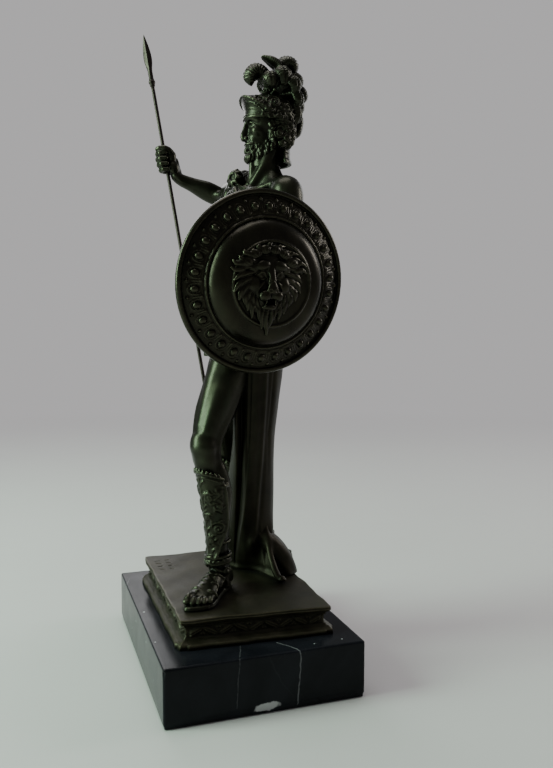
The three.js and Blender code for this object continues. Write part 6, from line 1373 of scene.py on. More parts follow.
    for s in (-1, 1):
        for row, (r0, z0, n, ln) in enumerate([(10.6, 12.4, 9, 9.6), (13.4, 11.6, 9, 8.8)]):
            for i in range(n):
                th = math.radians(58 - 14.5 * i - 7 * row)
                phi = th - math.radians(34 + 3.0 * i + 6 * row)
                x, y = r0 * math.cos(th), r0 * 1.16 * math.sin(th) + 1.2
                lock((s * x, y, z0), phi if s > 0 else math.pi - phi, ln * (1.0 + 0.08 * math.sin(2.1 * i + row)), -s * 0.5, 1.25)
    for x0, y0, ln, z0, w in [(-8.4, -9.4, 10, 12.0, 1.2), (-5.8, -12.2, 10.6, 12.6, 1.25), (-3.2, -13.6, 11.6, 13.0, 1.3), (-0.8, -14.2, 15.0, 13.4, 1.45), (1.8, -13.8, 13.0, 13.2, 1.35), (4.4, -12.8, 10.8, 12.8, 1.25), (7.0, -11.0, 10.0, 12.2, 1.2), (9.4, -8.6, 8.4, 11.8, 1.1), (-10.4, -7.0, 8.4, 11.8, 1.1)]:
        lock((x0, y0, z0), math.radians(-90 + 1.6 * x0 + (7 if int(x0 * 5) % 2 else -7)), ln, 0.5 if x0 < 0 else -0.5, w)
    L.keep(Field(lambda P: F32(9.75) - F32(0.0020) * (P[..., 0] ** 2 + P[..., 1] ** 2) - P[..., 2], (-40, -40, 0), (40, 40, 40)), 0.1)
    return [L]

# ---------------------------------------------------------------- plinth, marble block and spear
PLINTH_PROFILE = [(-2, 34), (-2, 36.4), (-1.5, 36.9), (-0.4, 37.3), (0.5, 37.9), (1.2, 38.4), (2.0, 38.8), (2.6, 39.1), (2.6, 39.8), (3.7, 39.9), (3.7, 45.4), (2.9, 45.6), (2.9, 46.3), (2.6, 46.9), (2.0, 47.5), (1.3, 47.95), (0.9, 48.5), (0.9, 49.0),
                  (0, 49.1), (-0.2, 49.5), (0, 50.0), (0.5, 50.2), (0.1, 50.4), (0.1, 50.9), (0.5, 51.2)]


def frieze(s, z, n):
    """Relief of the frieze at the distance s along a side of length n: leaves on a wavy stem, with berries."""
    pitch = 9.2
    k = np.floor(s / pitch + 0.5)
    u = s - k * pitch
    e = np.where(np.mod(k, 2) < 1, 1.0, -1.0)
    v = z - 42.6
    a = math.radians(27)
    x, y = u * math.cos(a) + e * v * math.sin(a), -e * u * math.sin(a) + v * math.cos(a)
    half = 2.15 * np.clip(1 - (x / 5.2) ** 2, 0, 1) ** 0.8 * (1 + 0.12 * np.cos(6.5 * x))
    leaf = np.sqrt(np.clip(1 - (y / np.maximum(half, 0.05)) ** 2, 0, 1)) * np.clip(half / 1.2, 0, 1)
    leaf = leaf * (1 - 0.45 * gauss(y, 0.28)) * (1 - 0.12 * np.abs(np.sin(3.2 * (x - np.abs(y)))))
    stem = 0.35 * np.sqrt(np.clip(1 - ((v - 1.55 * np.sin(math.pi * s / pitch)) / 0.42) ** 2, 0, 1))
    b = np.minimum(np.hypot(u - 3.7, v + 1.6 * e), np.hypot(u + 3.7, v - 1.6 * e))
    berry = 0.75 * np.sqrt(np.clip(1 - (b / 0.75) ** 2, 0, 1))
    edge = 0.45 * np.sqrt(np.clip(1 - ((np.abs(v) - 2.45) / 0.32) ** 2, 0, 1))
    inside = np.clip((n / 2 - 2.2 - np.abs(s)) / 0.8, 0, 1)
    return np.maximum(np.maximum(leaf * 1.35, stem), berry) * inside + edge


def make_plinth(h=None):
    h = h or 0.55
    hx, hy = 64.5, 46.0
    nx, ny = int(2 * hx / h), int(2 * hy / h)
    u, v = np.linspace(-1, 1, nx + 1), np.linspace(-1, 1, ny + 1)
    # height levels: profile corners, the frieze subdivided
    levels = []
    for (i0, z0), (i1, z1) in zip(PLINTH_PROFILE[:-1], PLINTH_PROFILE[1:]):
        n = 15 if (z0, z1) == (39.9, 45.4) else 1
        levels += [(i0 + (i1 - i0) * k / n, z0 + (z1 - z0) * k / n) for k in range(n)]
    levels.append(PLINTH_PROFILE[-1])
    P, side = [], []
    per = [(a, -1, 0) for a in u[:-1]] + [(1, b, 1) for b in v[:-1]] + [(a, 1, 2) for a in u[::-1][:-1]] + [(-1, b, 3) for b in v[::-1][:-1]]
    per = np.array(per)
    out = np.array([(0, -1), (1, 0), (0, 1), (-1, 0)])[per[:, 2].astype(int)]
    m = len(per)
    for ins, z in levels:
        q = per[:, :2] * np.array([hx - ins, hy - ins])
        if 40.0 < z < 45.3:
            s = np.where(np.isin(per[:, 2], (0, 2)), q[:, 0], q[:, 1])
            n = np.where(np.isin(per[:, 2], (0, 2)), 2 * (hx - ins), 2 * (hy - ins))
            q = q + out * frieze(s, np.full(m, z), n)[:, None]
        P.append(np.column_stack([q, np.full(m, z)]))
    X = [np.concatenate(P)]
    L = len(levels)
    i, j = np.meshgrid(np.arange(L - 1), np.arange(m), indexing="ij")
    k = (j + 1) % m
    Q = [np.stack([i * m + j, i * m + k, (i + 1) * m + k, (i + 1) * m + j], -1).reshape(-1, 4)]
    # top and bottom as grids whose rims are the first and the last ring
    for ring, flip in ((L - 1, False), (0, True)):
        ins, z = levels[ring]
        idx = np.full((nx + 1, ny + 1), -1)
        idx[:, 0] = ring * m + np.arange(nx + 1)
        idx[nx, :] = ring * m + nx + np.arange(ny + 1)
        idx[:, ny] = ring * m + nx + ny + nx - np.arange(nx + 1)
        idx[0, 1:] = ring * m + (2 * nx + ny + ny - np.arange(1, ny + 1)) % m
        start = sum(len(a) for a in X)
        U, V = np.meshgrid(u[1:-1] * (hx - ins), v[1:-1] * (hy - ins), indexing="ij")
        Z = np.full(U.shape, float(z))
        if not flip:
            d = np.minimum(hx - ins - np.abs(U), hy - ins - np.abs(V))
            Z += (0.05 * np.sin(0.21 * U + 0.7 * np.sin(0.13 * V)) + 0.04 * np.sin(0.37 * V + 1.1) * np.sin(0.29 * U)) * np.clip(d / 3, 0, 1)
            for row in range(2):
                for c in range(4):
                    cx, cy, ln = -51 + 6.4 * c, -38.5 + 7 * row, (3.4 if row else 4.4) / 2
                    t = math.radians(-24 if c % 2 else 12)
                    a, b = (U - cx) * math.cos(t) + (V - cy) * math.sin(t), -(U - cx) * math.sin(t) + (V - cy) * math.cos(t)
                    Z -= 0.5 * np.exp(-(a / 0.42) ** 2) * np.clip((ln - np.abs(b)) / 0.5, 0, 1)
        idx[1:-1, 1:-1] = start + np.arange((nx - 1) * (ny - 1)).reshape(nx - 1, ny - 1)
        X.append(np.stack([U, V, Z], -1).reshape(-1, 3))
        q = np.stack([idx[:-1, :-1], idx[1:, :-1], idx[1:, 1:], idx[:-1, 1:]], -1).reshape(-1, 4)
        Q.append(q[:, ::-1] if flip else q)
    X, Q = np.concatenate(X), np.concatenate(Q)
    # hand-worked block: softened corners, uneven sides, front face set slightly askew
    x, y, z = X.T.copy()
    k = np.clip(np.hypot(np.maximum(np.abs(x) - 60.5, 0), np.maximum(np.abs(y) - 42.0, 0)) - 4.2, 0, 9)
    both = (np.abs(x) > 60.5) & (np.abs(y) > 42)
    f = np.where(both, 1 - 0.55 * k / np.maximum(np.hypot(np.abs(x) - 60.5, np.abs(y) - 42.0), 1e-6), 1)
    X[:, 0] = np.where(both, np.sign(x) * (60.5 + (np.abs(x) - 60.5) * f), x)
    X[:, 1] = np.where(both, np.sign(y) * (42.0 + (np.abs(y) - 42.0) * f), y)
    side = np.clip((np.abs(x) - 50) / 14, 0, 1), np.clip((np.abs(y) - 34) / 12, 0, 1)
    X[:, 0] += np.sign(x) * side[0] * 0.28 * (np.sin(0.19 * y + 0.3 * z) + 0.6 * np.sin(0.47 * y + 1.0 + 0.5 * z))
    X[:, 1] += np.sign(y) * side[1] * 0.28 * (np.sin(0.17 * x + 0.4 * z + 2) + 0.6 * np.sin(0.41 * x + 0.6 * z))
    X[:, 0] += 4.2 * np.clip(x / 64, 0, 1) * np.clip((y + 46) / 92, 0, 1)
    X[:, 2] -= np.clip(z - 34, 0, 20) / 17.2 * (1.2 * np.clip(x / 64, 0, 1) ** 2 * np.clip((y + 20) / 66, 0, 1) ** 2 + 0.16 * np.sin(0.21 * x + 0.14 * y) * np.clip(z - 48, 0, 2) * 0.5)
    return X, Q


def make_marble(h=None):
    """Rounded block, with a small chip at the front corner and two along the upper edge."""
    hx, hy, z1 = 86.0, 60.0, 34.0
    def line(n, a):
        t = np.linspace(0, 1, n + 1)
        e = np.array([0, 0.15, 0.4, 0.8, 1.3, 2.0, 3.0, 4.2])
        mid = np.linspace(5.5, 2 * a - 5.5, n)
        return np.concatenate([e, mid, 2 * a - e[::-1]]) - a
    xs, ys, zs = line(46, hx), line(32, hy), np.concatenate([[0, 0.3, 0.8, 1.6], np.linspace(3, 29, 12), [30.5, 31.6, 32.4, 33.0, 33.45, 33.8, 34.0]])
    X, Q, n = [], [], 0
    def patch(f, a, b, flip):
        nonlocal n
        A, B = np.meshgrid(a, b, indexing="ij")
        X.append(f(A, B).reshape(-1, 3))
        i = n + np.arange(A.size).reshape(A.shape)
        q = np.stack([i[:-1, :-1], i[1:, :-1], i[1:, 1:], i[:-1, 1:]], -1).reshape(-1, 4)
        Q.append(q[:, ::-1] if flip else q)
        n += A.size
    c = lambda A, v: np.full(A.shape, float(v))
    patch(lambda A, B: np.stack([A, B, c(A, z1)], -1), xs, ys, False)
    patch(lambda A, B: np.stack([A, B, c(A, 0)], -1), xs, ys, True)
    for s in (-1, 1):
        patch(lambda A, B: np.stack([c(A, s * hx), A, B], -1), ys, zs, s < 0)
        patch(lambda A, B: np.stack([A, c(A, s * hy), B], -1), xs, zs, s > 0)
    X, Q = np.concatenate(X), np.concatenate(Q)
    key, first, inv = np.unique(np.round(X, 4), axis=0, return_index=True, return_inverse=True)
    X, Q = X[first], inv.reshape(-1)[Q]
    r = 1.3
    core = np.clip(X, [-hx + r, -hy + r, 0.6], [hx - r, hy - r, z1 - r])
    d = X - core
    k = np.linalg.norm(d, axis=1)
    lim = np.where(X[:, 2] < 2, 0.6, r)
    X = np.where(k[:, None] > lim[:, None], core + d / np.maximum(k, 1e-9)[:, None] * lim[:, None], X)
    for cx, cy, cz, rad in ((86.3, -60.4, 31.6, 1.9), (85.9, -60.9, 27.0, 1.3), (40.0, -60.9, 34.6, 1.5), (-30.5, -60.8, 34.4, 1.1), (86.8, 12.0, 34.5, 1.2)):
        v = X - np.array([cx, cy, cz])
        k = np.linalg.norm(v, axis=1)
        X = np.where((k < rad)[:, None], np.array([cx, cy, cz]) + v / np.maximum(k, 1e-9)[:, None] * rad, X)
    return X, Q


def make_spear(h=None):
    b, t, s = SPEAR_BUTT[2], SPEAR_TIP, SPEAR_R
    k = SPEAR_K
    line = lambda z: SPEAR_BUTT + (SPEAR_GRIP - SPEAR_BUTT) * ((z - b) / (SPEAR_GRIP[2] - b))
    u = unit(np.array([0.33, 0.94, 0]) - k * (np.array([0.33, 0.94, 0]) @ k))
    v = np.cross(k, u)
    rows = [(b, s * 1.05, s * 1.05, 0), (b + 1.5, s * 1.25, s * 1.25, 0), (b + 5, s * 1.2, s * 1.2, 0), (b + 5.6, s, s, 0)] + [(z, s, s, 0) for z in np.linspace(b + 12, t - 60, 14)]
    rows += [(t - 50, s, s, 0), (t - 42, s * 0.98, s * 0.98, 0), (t - 38.6, s, s, 0), (t - 38.2, 1.8, 1.8, 0), (t - 37.6, 2.05, 2.05, 0), (t - 37.1, 1.7, 1.7, 0), (t - 36.5, 2.2, 2.2, 0), (t - 35.5, 2.55, 2.55, 0), (t - 34.5, 2.35, 2.35, 0), (t - 33.9, 1.8, 1.8, 0),
             (t - 33.3, 2.0, 2.0, 0), (t - 32.7, 1.75, 1.75, 0), (t - 30, 1.75, 1.7, 0), (t - 27.4, 1.75, 1.6, 0.1), (t - 25.4, 1.95, 1.5, 0.4), (t - 23.2, 2.4, 1.4, 0.8), (t - 20.6, 2.9, 1.3, 1), (t - 17.4, 3.05, 1.2, 1), (t - 14, 2.85, 1.1, 1), (t - 10.4, 2.35, 1.0, 1),
             (t - 7, 1.72, 0.85, 1), (t - 4, 1.08, 0.65, 1), (t - 1.8, 0.55, 0.42, 1), (t - 0.6, 0.24, 0.2, 1), (t, 0.06, 0.06, 1)]
    n, X = 28, []
    q = np.linspace(0, 2 * np.pi, n, endpoint=False)
    for z, a, c, blade in rows:
        cx, cy = np.cos(q), np.sin(q)
        # round shaft passing into a lozenge blade with a raised midrib
        m = np.abs(cx) + np.abs(cy)
        f = (1 - blade) + blade / m
        rib = blade * 0.42 * np.exp(-(cx / 0.16) ** 2) * np.sign(cy)
        p = line(z) + np.outer(a * cx * f, u) + np.outer(c * (cy * f + rib), v)
        if z == b:
            p[:, 2] = b
        X.append(p)
    m = len(rows)
    i, j = np.meshgrid(np.arange(m - 1), np.arange(n), indexing="ij")
    k2 = (j + 1) % n
    Q = np.stack([i * n + j, i * n + k2, (i + 1) * n + k2, (i + 1) * n + j], -1).reshape(-1, 4)
    # centre points close both ends
    X = np.concatenate(X + [line(b)[None], line(t)[None]])
    e0, e1 = m * n, m * n + 1
    j = np.arange(0, n, 2)
    caps = np.concatenate([np.stack([np.full(len(j), e0), (j + 2) % n, j + 1, j], -1), np.stack([np.full(len(j), e1), (m - 1) * n + j, (m - 1) * n + j + 1, (m - 1) * n + (j + 2) % n], -1)])
    return X, np.concatenate([Q, caps])

# ---------------------------------------------------------------- pieces
def even(X, Q, w, rounds=16):
    """Evens out the facets of the bare, smooth surfaces; w is the share of smoothing at each vertex."""
    n = len(X)
    keep = w > 0
    use = np.nonzero(keep[Q].any(1))[0]
    q = Q[use]
    a, b = q.ravel(), np.roll(q, -1, 1).ravel()
    c = np.maximum(np.bincount(a, minlength=n) + np.bincount(b, minlength=n), 1)
    X = X.copy()
    for r in range(rounds):
        for f in (0.62, -0.64) if r < rounds - 3 else (0.5,):
            S = np.stack([np.bincount(a, X[b, k], n) + np.bincount(b, X[a, k], n) for k in range(3)], 1)
            X += (f * w)[:, None] * (S / c[:, None] - X)
    return X


def make_head(h=None):
    clip = lambda P: F32(322.5) - P[..., 2]
    X, Q = polygonise(head_layers(), [-20, 6, 320], [20, 60, 398], h or 0.36, clip)
    return biggest(relax(X, Q, 1, 0.3), Q)


def make_upper(h=None):
    X, Q = polygonise(upper_layers(), [-100, -42, 200], [50, 62, 358], h or 0.62, lambda P: P[..., 2] - F32(334) - 60 * (P[..., 0] < -50))
    X, Q = biggest(relax(X, Q, 1, 0.3), Q)
    x, y, z = X.T
    arm = np.clip((-x - 44) / 4, 0, 1) * np.clip((y + 16) / 4, 0, 1) * (z > 300)
    shoulder = np.clip((x - 21) / 4, 0, 1) * np.clip((z - 262) / 4, 0, 1)
    neck = np.clip((z - 312) / 5, 0, 1) * np.clip((14 - np.abs(x)) / 3, 0, 1) * (y > 12)
    return even(X, Q, np.clip(arm + shoulder + neck, 0, 1), 26), Q


def make_legs(h=None):
    X, Q = polygonise(leg_layers(), [-46, -48, 50], [52, 52, 218], h or 0.6, lambda P: P[..., 2] - F32(214))
    X, Q = biggest(relax(X, Q, 1, 0.3), Q)
    return even(X, Q, np.clip((X[:, 2] - 134) / 5, 0, 1) * np.clip((213 - X[:, 2]) / 3, 0, 1), 30), Q


def join(*meshes):
    """Several quad meshes as one."""
    X, Q, n = [], [], 0
    for x, q in meshes:
        X.append(x)
        Q.append(q + n)
        n += len(x)
    return np.concatenate(X), np.concatenate(Q)


def make_cloak(h=None):
    X, Q = polygonise(hem_layers(), [-18, 16, 50], [24, 56, 100], h or 0.6)
    return join(make_cloak_loft(), biggest(relax(X, Q, 1, 0.3), Q))


def local_box(lo, hi, h):
    """World box of a box given in the shield's frame."""
    c = np.array([[x, y, z] for x in (lo[0], hi[0]) for y in (lo[1], hi[1]) for z in (lo[2], hi[2])]) @ SHIELD_M.T + np.array(SHIELD_C)
    return c.min(0) - 2 * h, c.max(0) + 2 * h


def make_shield(h=None):
    h = h or 0.5
    X, Q = polygonise(shield_layers(), *local_box((-55, -55, -14), (55, 55, 13), h), h)
    X, Q = biggest(X, Q)
    # the dome's front is evened
    P = (X - np.array(SHIELD_C)) @ SHIELD_M
    r = np.hypot(P[:, 0], P[:, 1])
    front = (P[:, 2] > np.interp(r, [0, 20, 28, 34, 37, 38], [12.7, 11.4, 10.2, 7.2, 3.9, 3.4])) & (r < 37)
    w = front * np.clip((r - 26.0) / 0.8, 0, 1) * np.clip((36.9 - r) / 0.6, 0, 1) + front * np.clip((22.4 - r) / 0.8, 0, 1)
    return even(X, Q, w, 60), Q


def make_lion(h=None):
    h = h or 0.34
    X, Q = polygonise(lion_layers(), *local_box((-24, -31, 8), (24, 26, 21), h), h)
    X, Q = biggest(relax(X, Q, 1, 0.3), Q)
    # broader mane, flatter relief, set slightly to one side of the middle
    P = (X - np.array(SHIELD_C)) @ SHIELD_M
    w = np.clip((np.abs(P[:, 0]) - 7.0) / 10, 0, 1)
    P[:, 0] = P[:, 0] * (1 + 0.17 * w * w * (3 - 2 * w)) - 3.0
    P[:, 1] = P[:, 1] * 1.01 - 0.6
    P[:, 2] = 12.3 + (P[:, 2] - 9.9) * 0.86
    return P @ SHIELD_M.T + np.array(SHIELD_C), Q


PIECES = {"head": make_head, "upper": make_upper, "legs": make_legs, "cloak": make_cloak, "shield": make_shield, "lion": make_lion, "plinth": make_plinth, "marble": make_marble, "spear": make_spear}

import bpy
from mathutils import Matrix, Vector

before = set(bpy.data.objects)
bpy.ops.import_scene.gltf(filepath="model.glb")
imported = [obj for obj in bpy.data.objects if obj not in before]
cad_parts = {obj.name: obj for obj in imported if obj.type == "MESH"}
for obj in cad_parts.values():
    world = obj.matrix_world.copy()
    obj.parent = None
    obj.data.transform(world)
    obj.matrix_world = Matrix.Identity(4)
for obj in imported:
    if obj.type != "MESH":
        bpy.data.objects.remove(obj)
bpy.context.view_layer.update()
scene = bpy.context.scene


def nodes(mat):
    mat.use_nodes = True
    t = mat.node_tree
    t.nodes.clear()
    return t


class Graph:
    """Short hand for building a node tree."""

    def __init__(self, name):
        self.m = bpy.data.materials.new(name)
        self.t = nodes(self.m)
        self.out = self.t.nodes.new("ShaderNodeOutputMaterial")
        self.b = self.t.nodes.new("ShaderNodeBsdfPrincipled")
        self.t.links.new(self.b.outputs[0], self.out.inputs[0])
        self.pos = self.t.nodes.new("ShaderNodeTexCoord").outputs["Object"]

    def link(self, a, b):
        self.t.links.new(a, b)

    def put(self, socket, v):
        if isinstance(v, (int, float)):
            socket.default_value = v
        elif isinstance(v, (tuple, list)):
            socket.default_value = tuple(v) + (1,) * (len(socket.default_value) - len(v))
        else:
            self.link(v, socket)

    def noise(self, scale, detail=4, rough=0.55, dist=0.0, stretch=None, kind="FBM"):
        n = self.t.nodes.new("ShaderNodeTexNoise")
        n.noise_type = kind
        n.inputs["Scale"].default_value = scale
        n.inputs["Detail"].default_value = detail
        n.inputs["Roughness"].default_value = rough
        n.inputs["Distortion"].default_value = dist
        self.link(self.mapped(stretch), n.inputs["Vector"])
        return n.outputs["Fac"]

    def voronoi(self, scale, feature="F1", out="Distance", stretch=None, vector=None):
        n = self.t.nodes.new("ShaderNodeTexVoronoi")
        n.feature = feature
        n.inputs["Scale"].default_value = scale
        self.link(vector if vector is not None else self.mapped(stretch), n.inputs["Vector"])
        return n.outputs[out]

    def mapped(self, stretch=None, place=(0, 0, 0), turn=(0, 0, 0)):
        if stretch is None and place == (0, 0, 0) and turn == (0, 0, 0):
            return self.pos
        n = self.t.nodes.new("ShaderNodeMapping")
        n.inputs["Location"].default_value = place
        n.inputs["Rotation"].default_value = turn
        n.inputs["Scale"].default_value = stretch or (1, 1, 1)
        self.link(self.pos, n.inputs["Vector"])
        return n.outputs[0]

    def ramp(self, fac, *stops, ease="LINEAR"):
        n = self.t.nodes.new("ShaderNodeValToRGB")
        r = n.color_ramp
        r.interpolation = ease
        while len(r.elements) > 1:
            r.elements.remove(r.elements[-1])
        for i, (p, c) in enumerate(stops):
            e = r.elements[0] if i == 0 else r.elements.new(p)
            e.position = p
            c = (c, c, c) if isinstance(c, (int, float)) else c
            e.color = (*c, 1)
        self.link(fac, n.inputs[0])
        return n.outputs[0]

    def mix(self, f, a, b, mode="MIX"):
        n = self.t.nodes.new("ShaderNodeMix")
        n.data_type = "RGBA"
        n.blend_type = mode
        self.put(n.inputs[0], f)
        self.put(n.inputs[6], a)
        self.put(n.inputs[7], b)
        return n.outputs[2]

    def math(self, op, a, b=0.0, c=0.0):
        n = self.t.nodes.new("ShaderNodeMath")
        n.operation = op
        for s, v in zip(n.inputs, (a, b, c)):
            self.put(s, v)
        return n.outputs[0]

    def bump(self, height, strength, distance, normal=None):
        n = self.t.nodes.new("ShaderNodeBump")
        n.inputs["Strength"].default_value = strength
        n.inputs["Distance"].default_value = distance
        self.link(height, n.inputs["Height"])
        if normal is not None:
            self.link(normal, n.inputs["Normal"])
        return n.outputs[0]

    def done(self, **kw):
        for k, v in kw.items():
            self.put(self.b.inputs[k.replace("_", " ")], v)
        return self.m


def bronze(name, deep, mid, rub, rough=(0.30, 0.44), green=0.25, wear=0.6, grain=1.0, metal=0.86, coat=0.10, painted_shade_strength=0.88, speck=0.10):
    """Patinated cast bronze: mottled brown-black, rubbed lighter on edges and high places, darker and duller on concave
    spots, with painted shade (an ambient-occlusion mask darkening the colour) in hollows and recesses.
    """
    g = Graph(name)
    cloud = g.noise(55, 6, 0.6, 0.4)
    fine = g.noise(420, 5, 0.65)
    drip = g.noise(150, 5, 0.6, 0.3, (1, 1, 0.28))
    col = g.mix(g.ramp(cloud, (0.32, 0.0), (0.70, 1.0)), deep, mid)
    col = g.mix(g.math("MULTIPLY", g.ramp(drip, (0.50, 0.0), (0.72, 1.0)), green), col, (mid[0] * 0.75, mid[1] * 1.25, mid[2] * 1.05))
    geo = g.t.nodes.new("ShaderNodeNewGeometry").outputs["Pointiness"]
    edge = g.math("MULTIPLY", g.ramp(geo, (0.505, 0.0), (0.60, 1.0)), g.ramp(fine, (0.30, 0.35), (0.66, 1.0)))
    pit = g.ramp(geo, (0.40, 1.0), (0.497, 0.0))
    # painted shade: an ambient-occlusion mask that darkens the colour in hollows and recesses where shade falls
    ao = g.t.nodes.new("ShaderNodeAmbientOcclusion")
    ao.samples = 4
    ao.inputs["Distance"].default_value = 0.007
    painted_shade_mask = g.ramp(ao.outputs["AO"], (0.40, 1.0), (0.92, 0.0))
    col = g.mix(g.math("MULTIPLY", edge, wear), col, rub)
    # painted shade: the colour is darkened where the ambient-occlusion mask finds hollows and recesses
    col = g.mix(g.math("MULTIPLY", painted_shade_mask, painted_shade_strength), col, (deep[0] * 0.16, deep[1] * 0.15, deep[2] * 0.14))
    col = g.mix(g.math("MULTIPLY", pit, 0.55), col, (deep[0] * 0.55, deep[1] * 0.55, deep[2] * 0.5))
    r = g.math("ADD", g.math("MULTIPLY", cloud, rough[1] - rough[0]), g.math("ADD", g.math("MULTIPLY", fine, speck), rough[0] - 0.08))
    r = g.math("ADD", g.math("ADD", g.math("MULTIPLY", pit, 0.10), g.math("MULTIPLY", painted_shade_mask, 0.22)), g.math("SUBTRACT", r, g.math("MULTIPLY", edge, 0.05)))
    h = g.math("ADD", g.math("MULTIPLY", fine, 0.6), g.math("MULTIPLY", cloud, 1.0))
    b = g.bump(h, 0.22 * grain, 0.0004)
    b = g.bump(g.noise(1500, 3, 0.6), 0.10 * grain, 0.00012, b)
    return g.done(Base_Color=col, Roughness=r, Metallic=metal, Normal=b, Specular_IOR_Level=0.40, Coat_Weight=coat, Coat_Roughness=0.26)


def marble_material(name):
    """Polished black marble: faint grey clouds, thin broken white veins, small flecks and one pale oval inclusion."""
    g = Graph(name)
    cloud = g.noise(22, 6, 0.6, 0.8)
    col = g.mix(g.ramp(cloud, (0.38, 0.0), (0.76, 1.0)), (0.0036, 0.0038, 0.0054), (0.0115, 0.012, 0.0165))

    def vein(scale, dist, width, keep, place, stretch=(1, 1, 1)):
        n = g.t.nodes.new("ShaderNodeTexNoise")
        n.inputs["Scale"].default_value = scale * 1.6
        n.inputs["Detail"].default_value = 4
        v = g.t.nodes.new("ShaderNodeVectorMath")
        v.operation = "MULTIPLY_ADD"
        m = g.mapped(stretch, place)
        g.link(m, n.inputs["Vector"])
        g.link(n.outputs["Color"], v.inputs[0])
        v.inputs[1].default_value = (dist, dist, dist)
        g.link(m, v.inputs[2])
        d = g.voronoi(scale, "DISTANCE_TO_EDGE", "Distance", vector=v.outputs[0])
        line = g.ramp(d, (0.0, 1.0), (width, 0.0))
        part = g.ramp(g.noise(scale * 0.9, 3, 0.5, 0.0, (1.3, 0.8, 1.1)), (keep, 0.0), (keep + 0.14, 1.0))
        return g.math("MULTIPLY", line, part)

    v1 = vein(17, 0.030, 0.008, 0.60, (0.013, 0.031, 0.007), (1, 1, 0.55))
    v2 = vein(46, 0.016, 0.008, 0.60, (0.21, 0.07, 0.1))
    col = g.mix(g.math("MULTIPLY", v2, 0.10), col, (0.20, 0.20, 0.22))
    col = g.mix(g.math("MULTIPLY", v1, 0.03), col, (0.34, 0.34, 0.36))
    spots = g.math("MULTIPLY", g.ramp(g.voronoi(95), (0.0, 1.0), (0.07, 0.75), (0.11, 0.0)), g.ramp(g.noise(48, 2), (0.60, 0.0), (0.68, 1.0)))
    col = g.mix(g.math("MULTIPLY", spots, 0.5), col, (0.36, 0.36, 0.38))

    wob = g.t.nodes.new("ShaderNodeTexNoise")
    wob.inputs["Scale"].default_value = 210
    wob.inputs["Detail"].default_value = 4
    g.link(g.pos, wob.inputs["Vector"])

    def vec(op, a, b=None, k=None):
        n = g.t.nodes.new("ShaderNodeVectorMath")
        n.operation = op
        for sock, v in zip((n.inputs[0], n.inputs[1]), (a, b)):
            if v is None:
                continue
            if isinstance(v, tuple):
                sock.default_value = v
            else:
                g.link(v, sock)
        if k is not None:
            g.link(k, n.inputs["Scale"])
        return n.outputs["Value"] if op in ("DOT_PRODUCT", "LENGTH", "DISTANCE") else n.outputs[0]

    shaken = vec("SUBTRACT", vec("ADD", g.pos, vec("MULTIPLY", wob.outputs["Color"], (0.0016, 0.0016, 0.0016))), (0.0008, 0.0008, 0.0008))

    def segment(pts, width, bright):
        """A vein drawn through the given points."""
        nonlocal col
        for a, b in zip(pts[:-1], pts[1:]):
            a, b = np.array(a, float), np.array(b, float)
            ln = float(np.linalg.norm(b - a))
            d = tuple(float(v) for v in (b - a) / ln)
            rel = vec("SUBTRACT", shaken, tuple(float(v) for v in a))
            t = vec("DOT_PRODUCT", rel, d)
            along = g.math("MULTIPLY", g.math("GREATER_THAN", t, 0.0), g.math("LESS_THAN", t, ln))
            off = vec("LENGTH", vec("SUBTRACT", rel, vec("SCALE", d, None, t)))
            line = g.math("MAXIMUM", g.math("SUBTRACT", 1.0, g.math("DIVIDE", off, width)), 0.0)
            thin = g.math("MULTIPLY", g.math("ADD", 0.35, wob.outputs["Fac"]), bright)
            col = g.mix(g.math("MULTIPLY", g.math("MULTIPLY", line, along), thin), col, (0.36, 0.36, 0.38))

    for pts, w, br in MARBLE_VEINS:
        segment(pts, w, br)
    # pale oval inclusion low on the end face
    n = g.t.nodes.new("ShaderNodeMapping")
    n.vector_type = "TEXTURE"
    n.inputs["Location"].default_value = (0.0860, *MARBLE_OVAL[0])
    n.inputs["Rotation"].default_value = (math.radians(4), 0, 0)
    n.inputs["Scale"].default_value = (0.004, *MARBLE_OVAL[1])
    g.link(g.pos, n.inputs["Vector"])
    ln = g.t.nodes.new("ShaderNodeVectorMath")
    ln.operation = "LENGTH"
    g.link(n.outputs[0], ln.inputs[0])
    d = g.math("ADD", ln.outputs["Value"], g.math("MULTIPLY", g.math("SUBTRACT", g.noise(240, 4), 0.5), 0.9))
    col = g.mix(g.math("MULTIPLY", g.ramp(d, (0.78, 1.0), (1.02, 0.0)), 0.9), col, (0.52, 0.52, 0.53))
    # flecks on the top near the edge
    for x, y, z, rad in MARBLE_FLECKS:
        n = g.t.nodes.new("ShaderNodeVectorMath")
        n.operation = "DISTANCE"
        g.link(g.pos, n.inputs[0])
        n.inputs[1].default_value = (x, y, z)
        d = g.math("ADD", g.math("DIVIDE", n.outputs["Value"], rad), g.math("MULTIPLY", g.noise(900, 2), 0.6))
        col = g.mix(g.math("MULTIPLY", g.ramp(d, (0.9, 1.0), (1.0, 0.0)), 0.7), col, (0.45, 0.46, 0.48))
    wearn = g.noise(70, 5, 0.6)
    r = g.math("ADD", 0.15, g.math("MULTIPLY", wearn, 0.16))
    geo = g.t.nodes.new("ShaderNodeNewGeometry").outputs["Pointiness"]
    e = g.math("MULTIPLY", g.ramp(geo, (0.51, 0.0), (0.60, 1.0)), g.ramp(g.noise(300, 3), (0.5, 0.0), (0.7, 1.0)))
    col = g.mix(g.math("MULTIPLY", e, 0.25), col, (0.16, 0.16, 0.17))
    b = g.bump(g.noise(700, 3, 0.6), 0.03, 0.0001)
    return g.done(Base_Color=col, Roughness=r, Normal=b, Specular_IOR_Level=0.12)


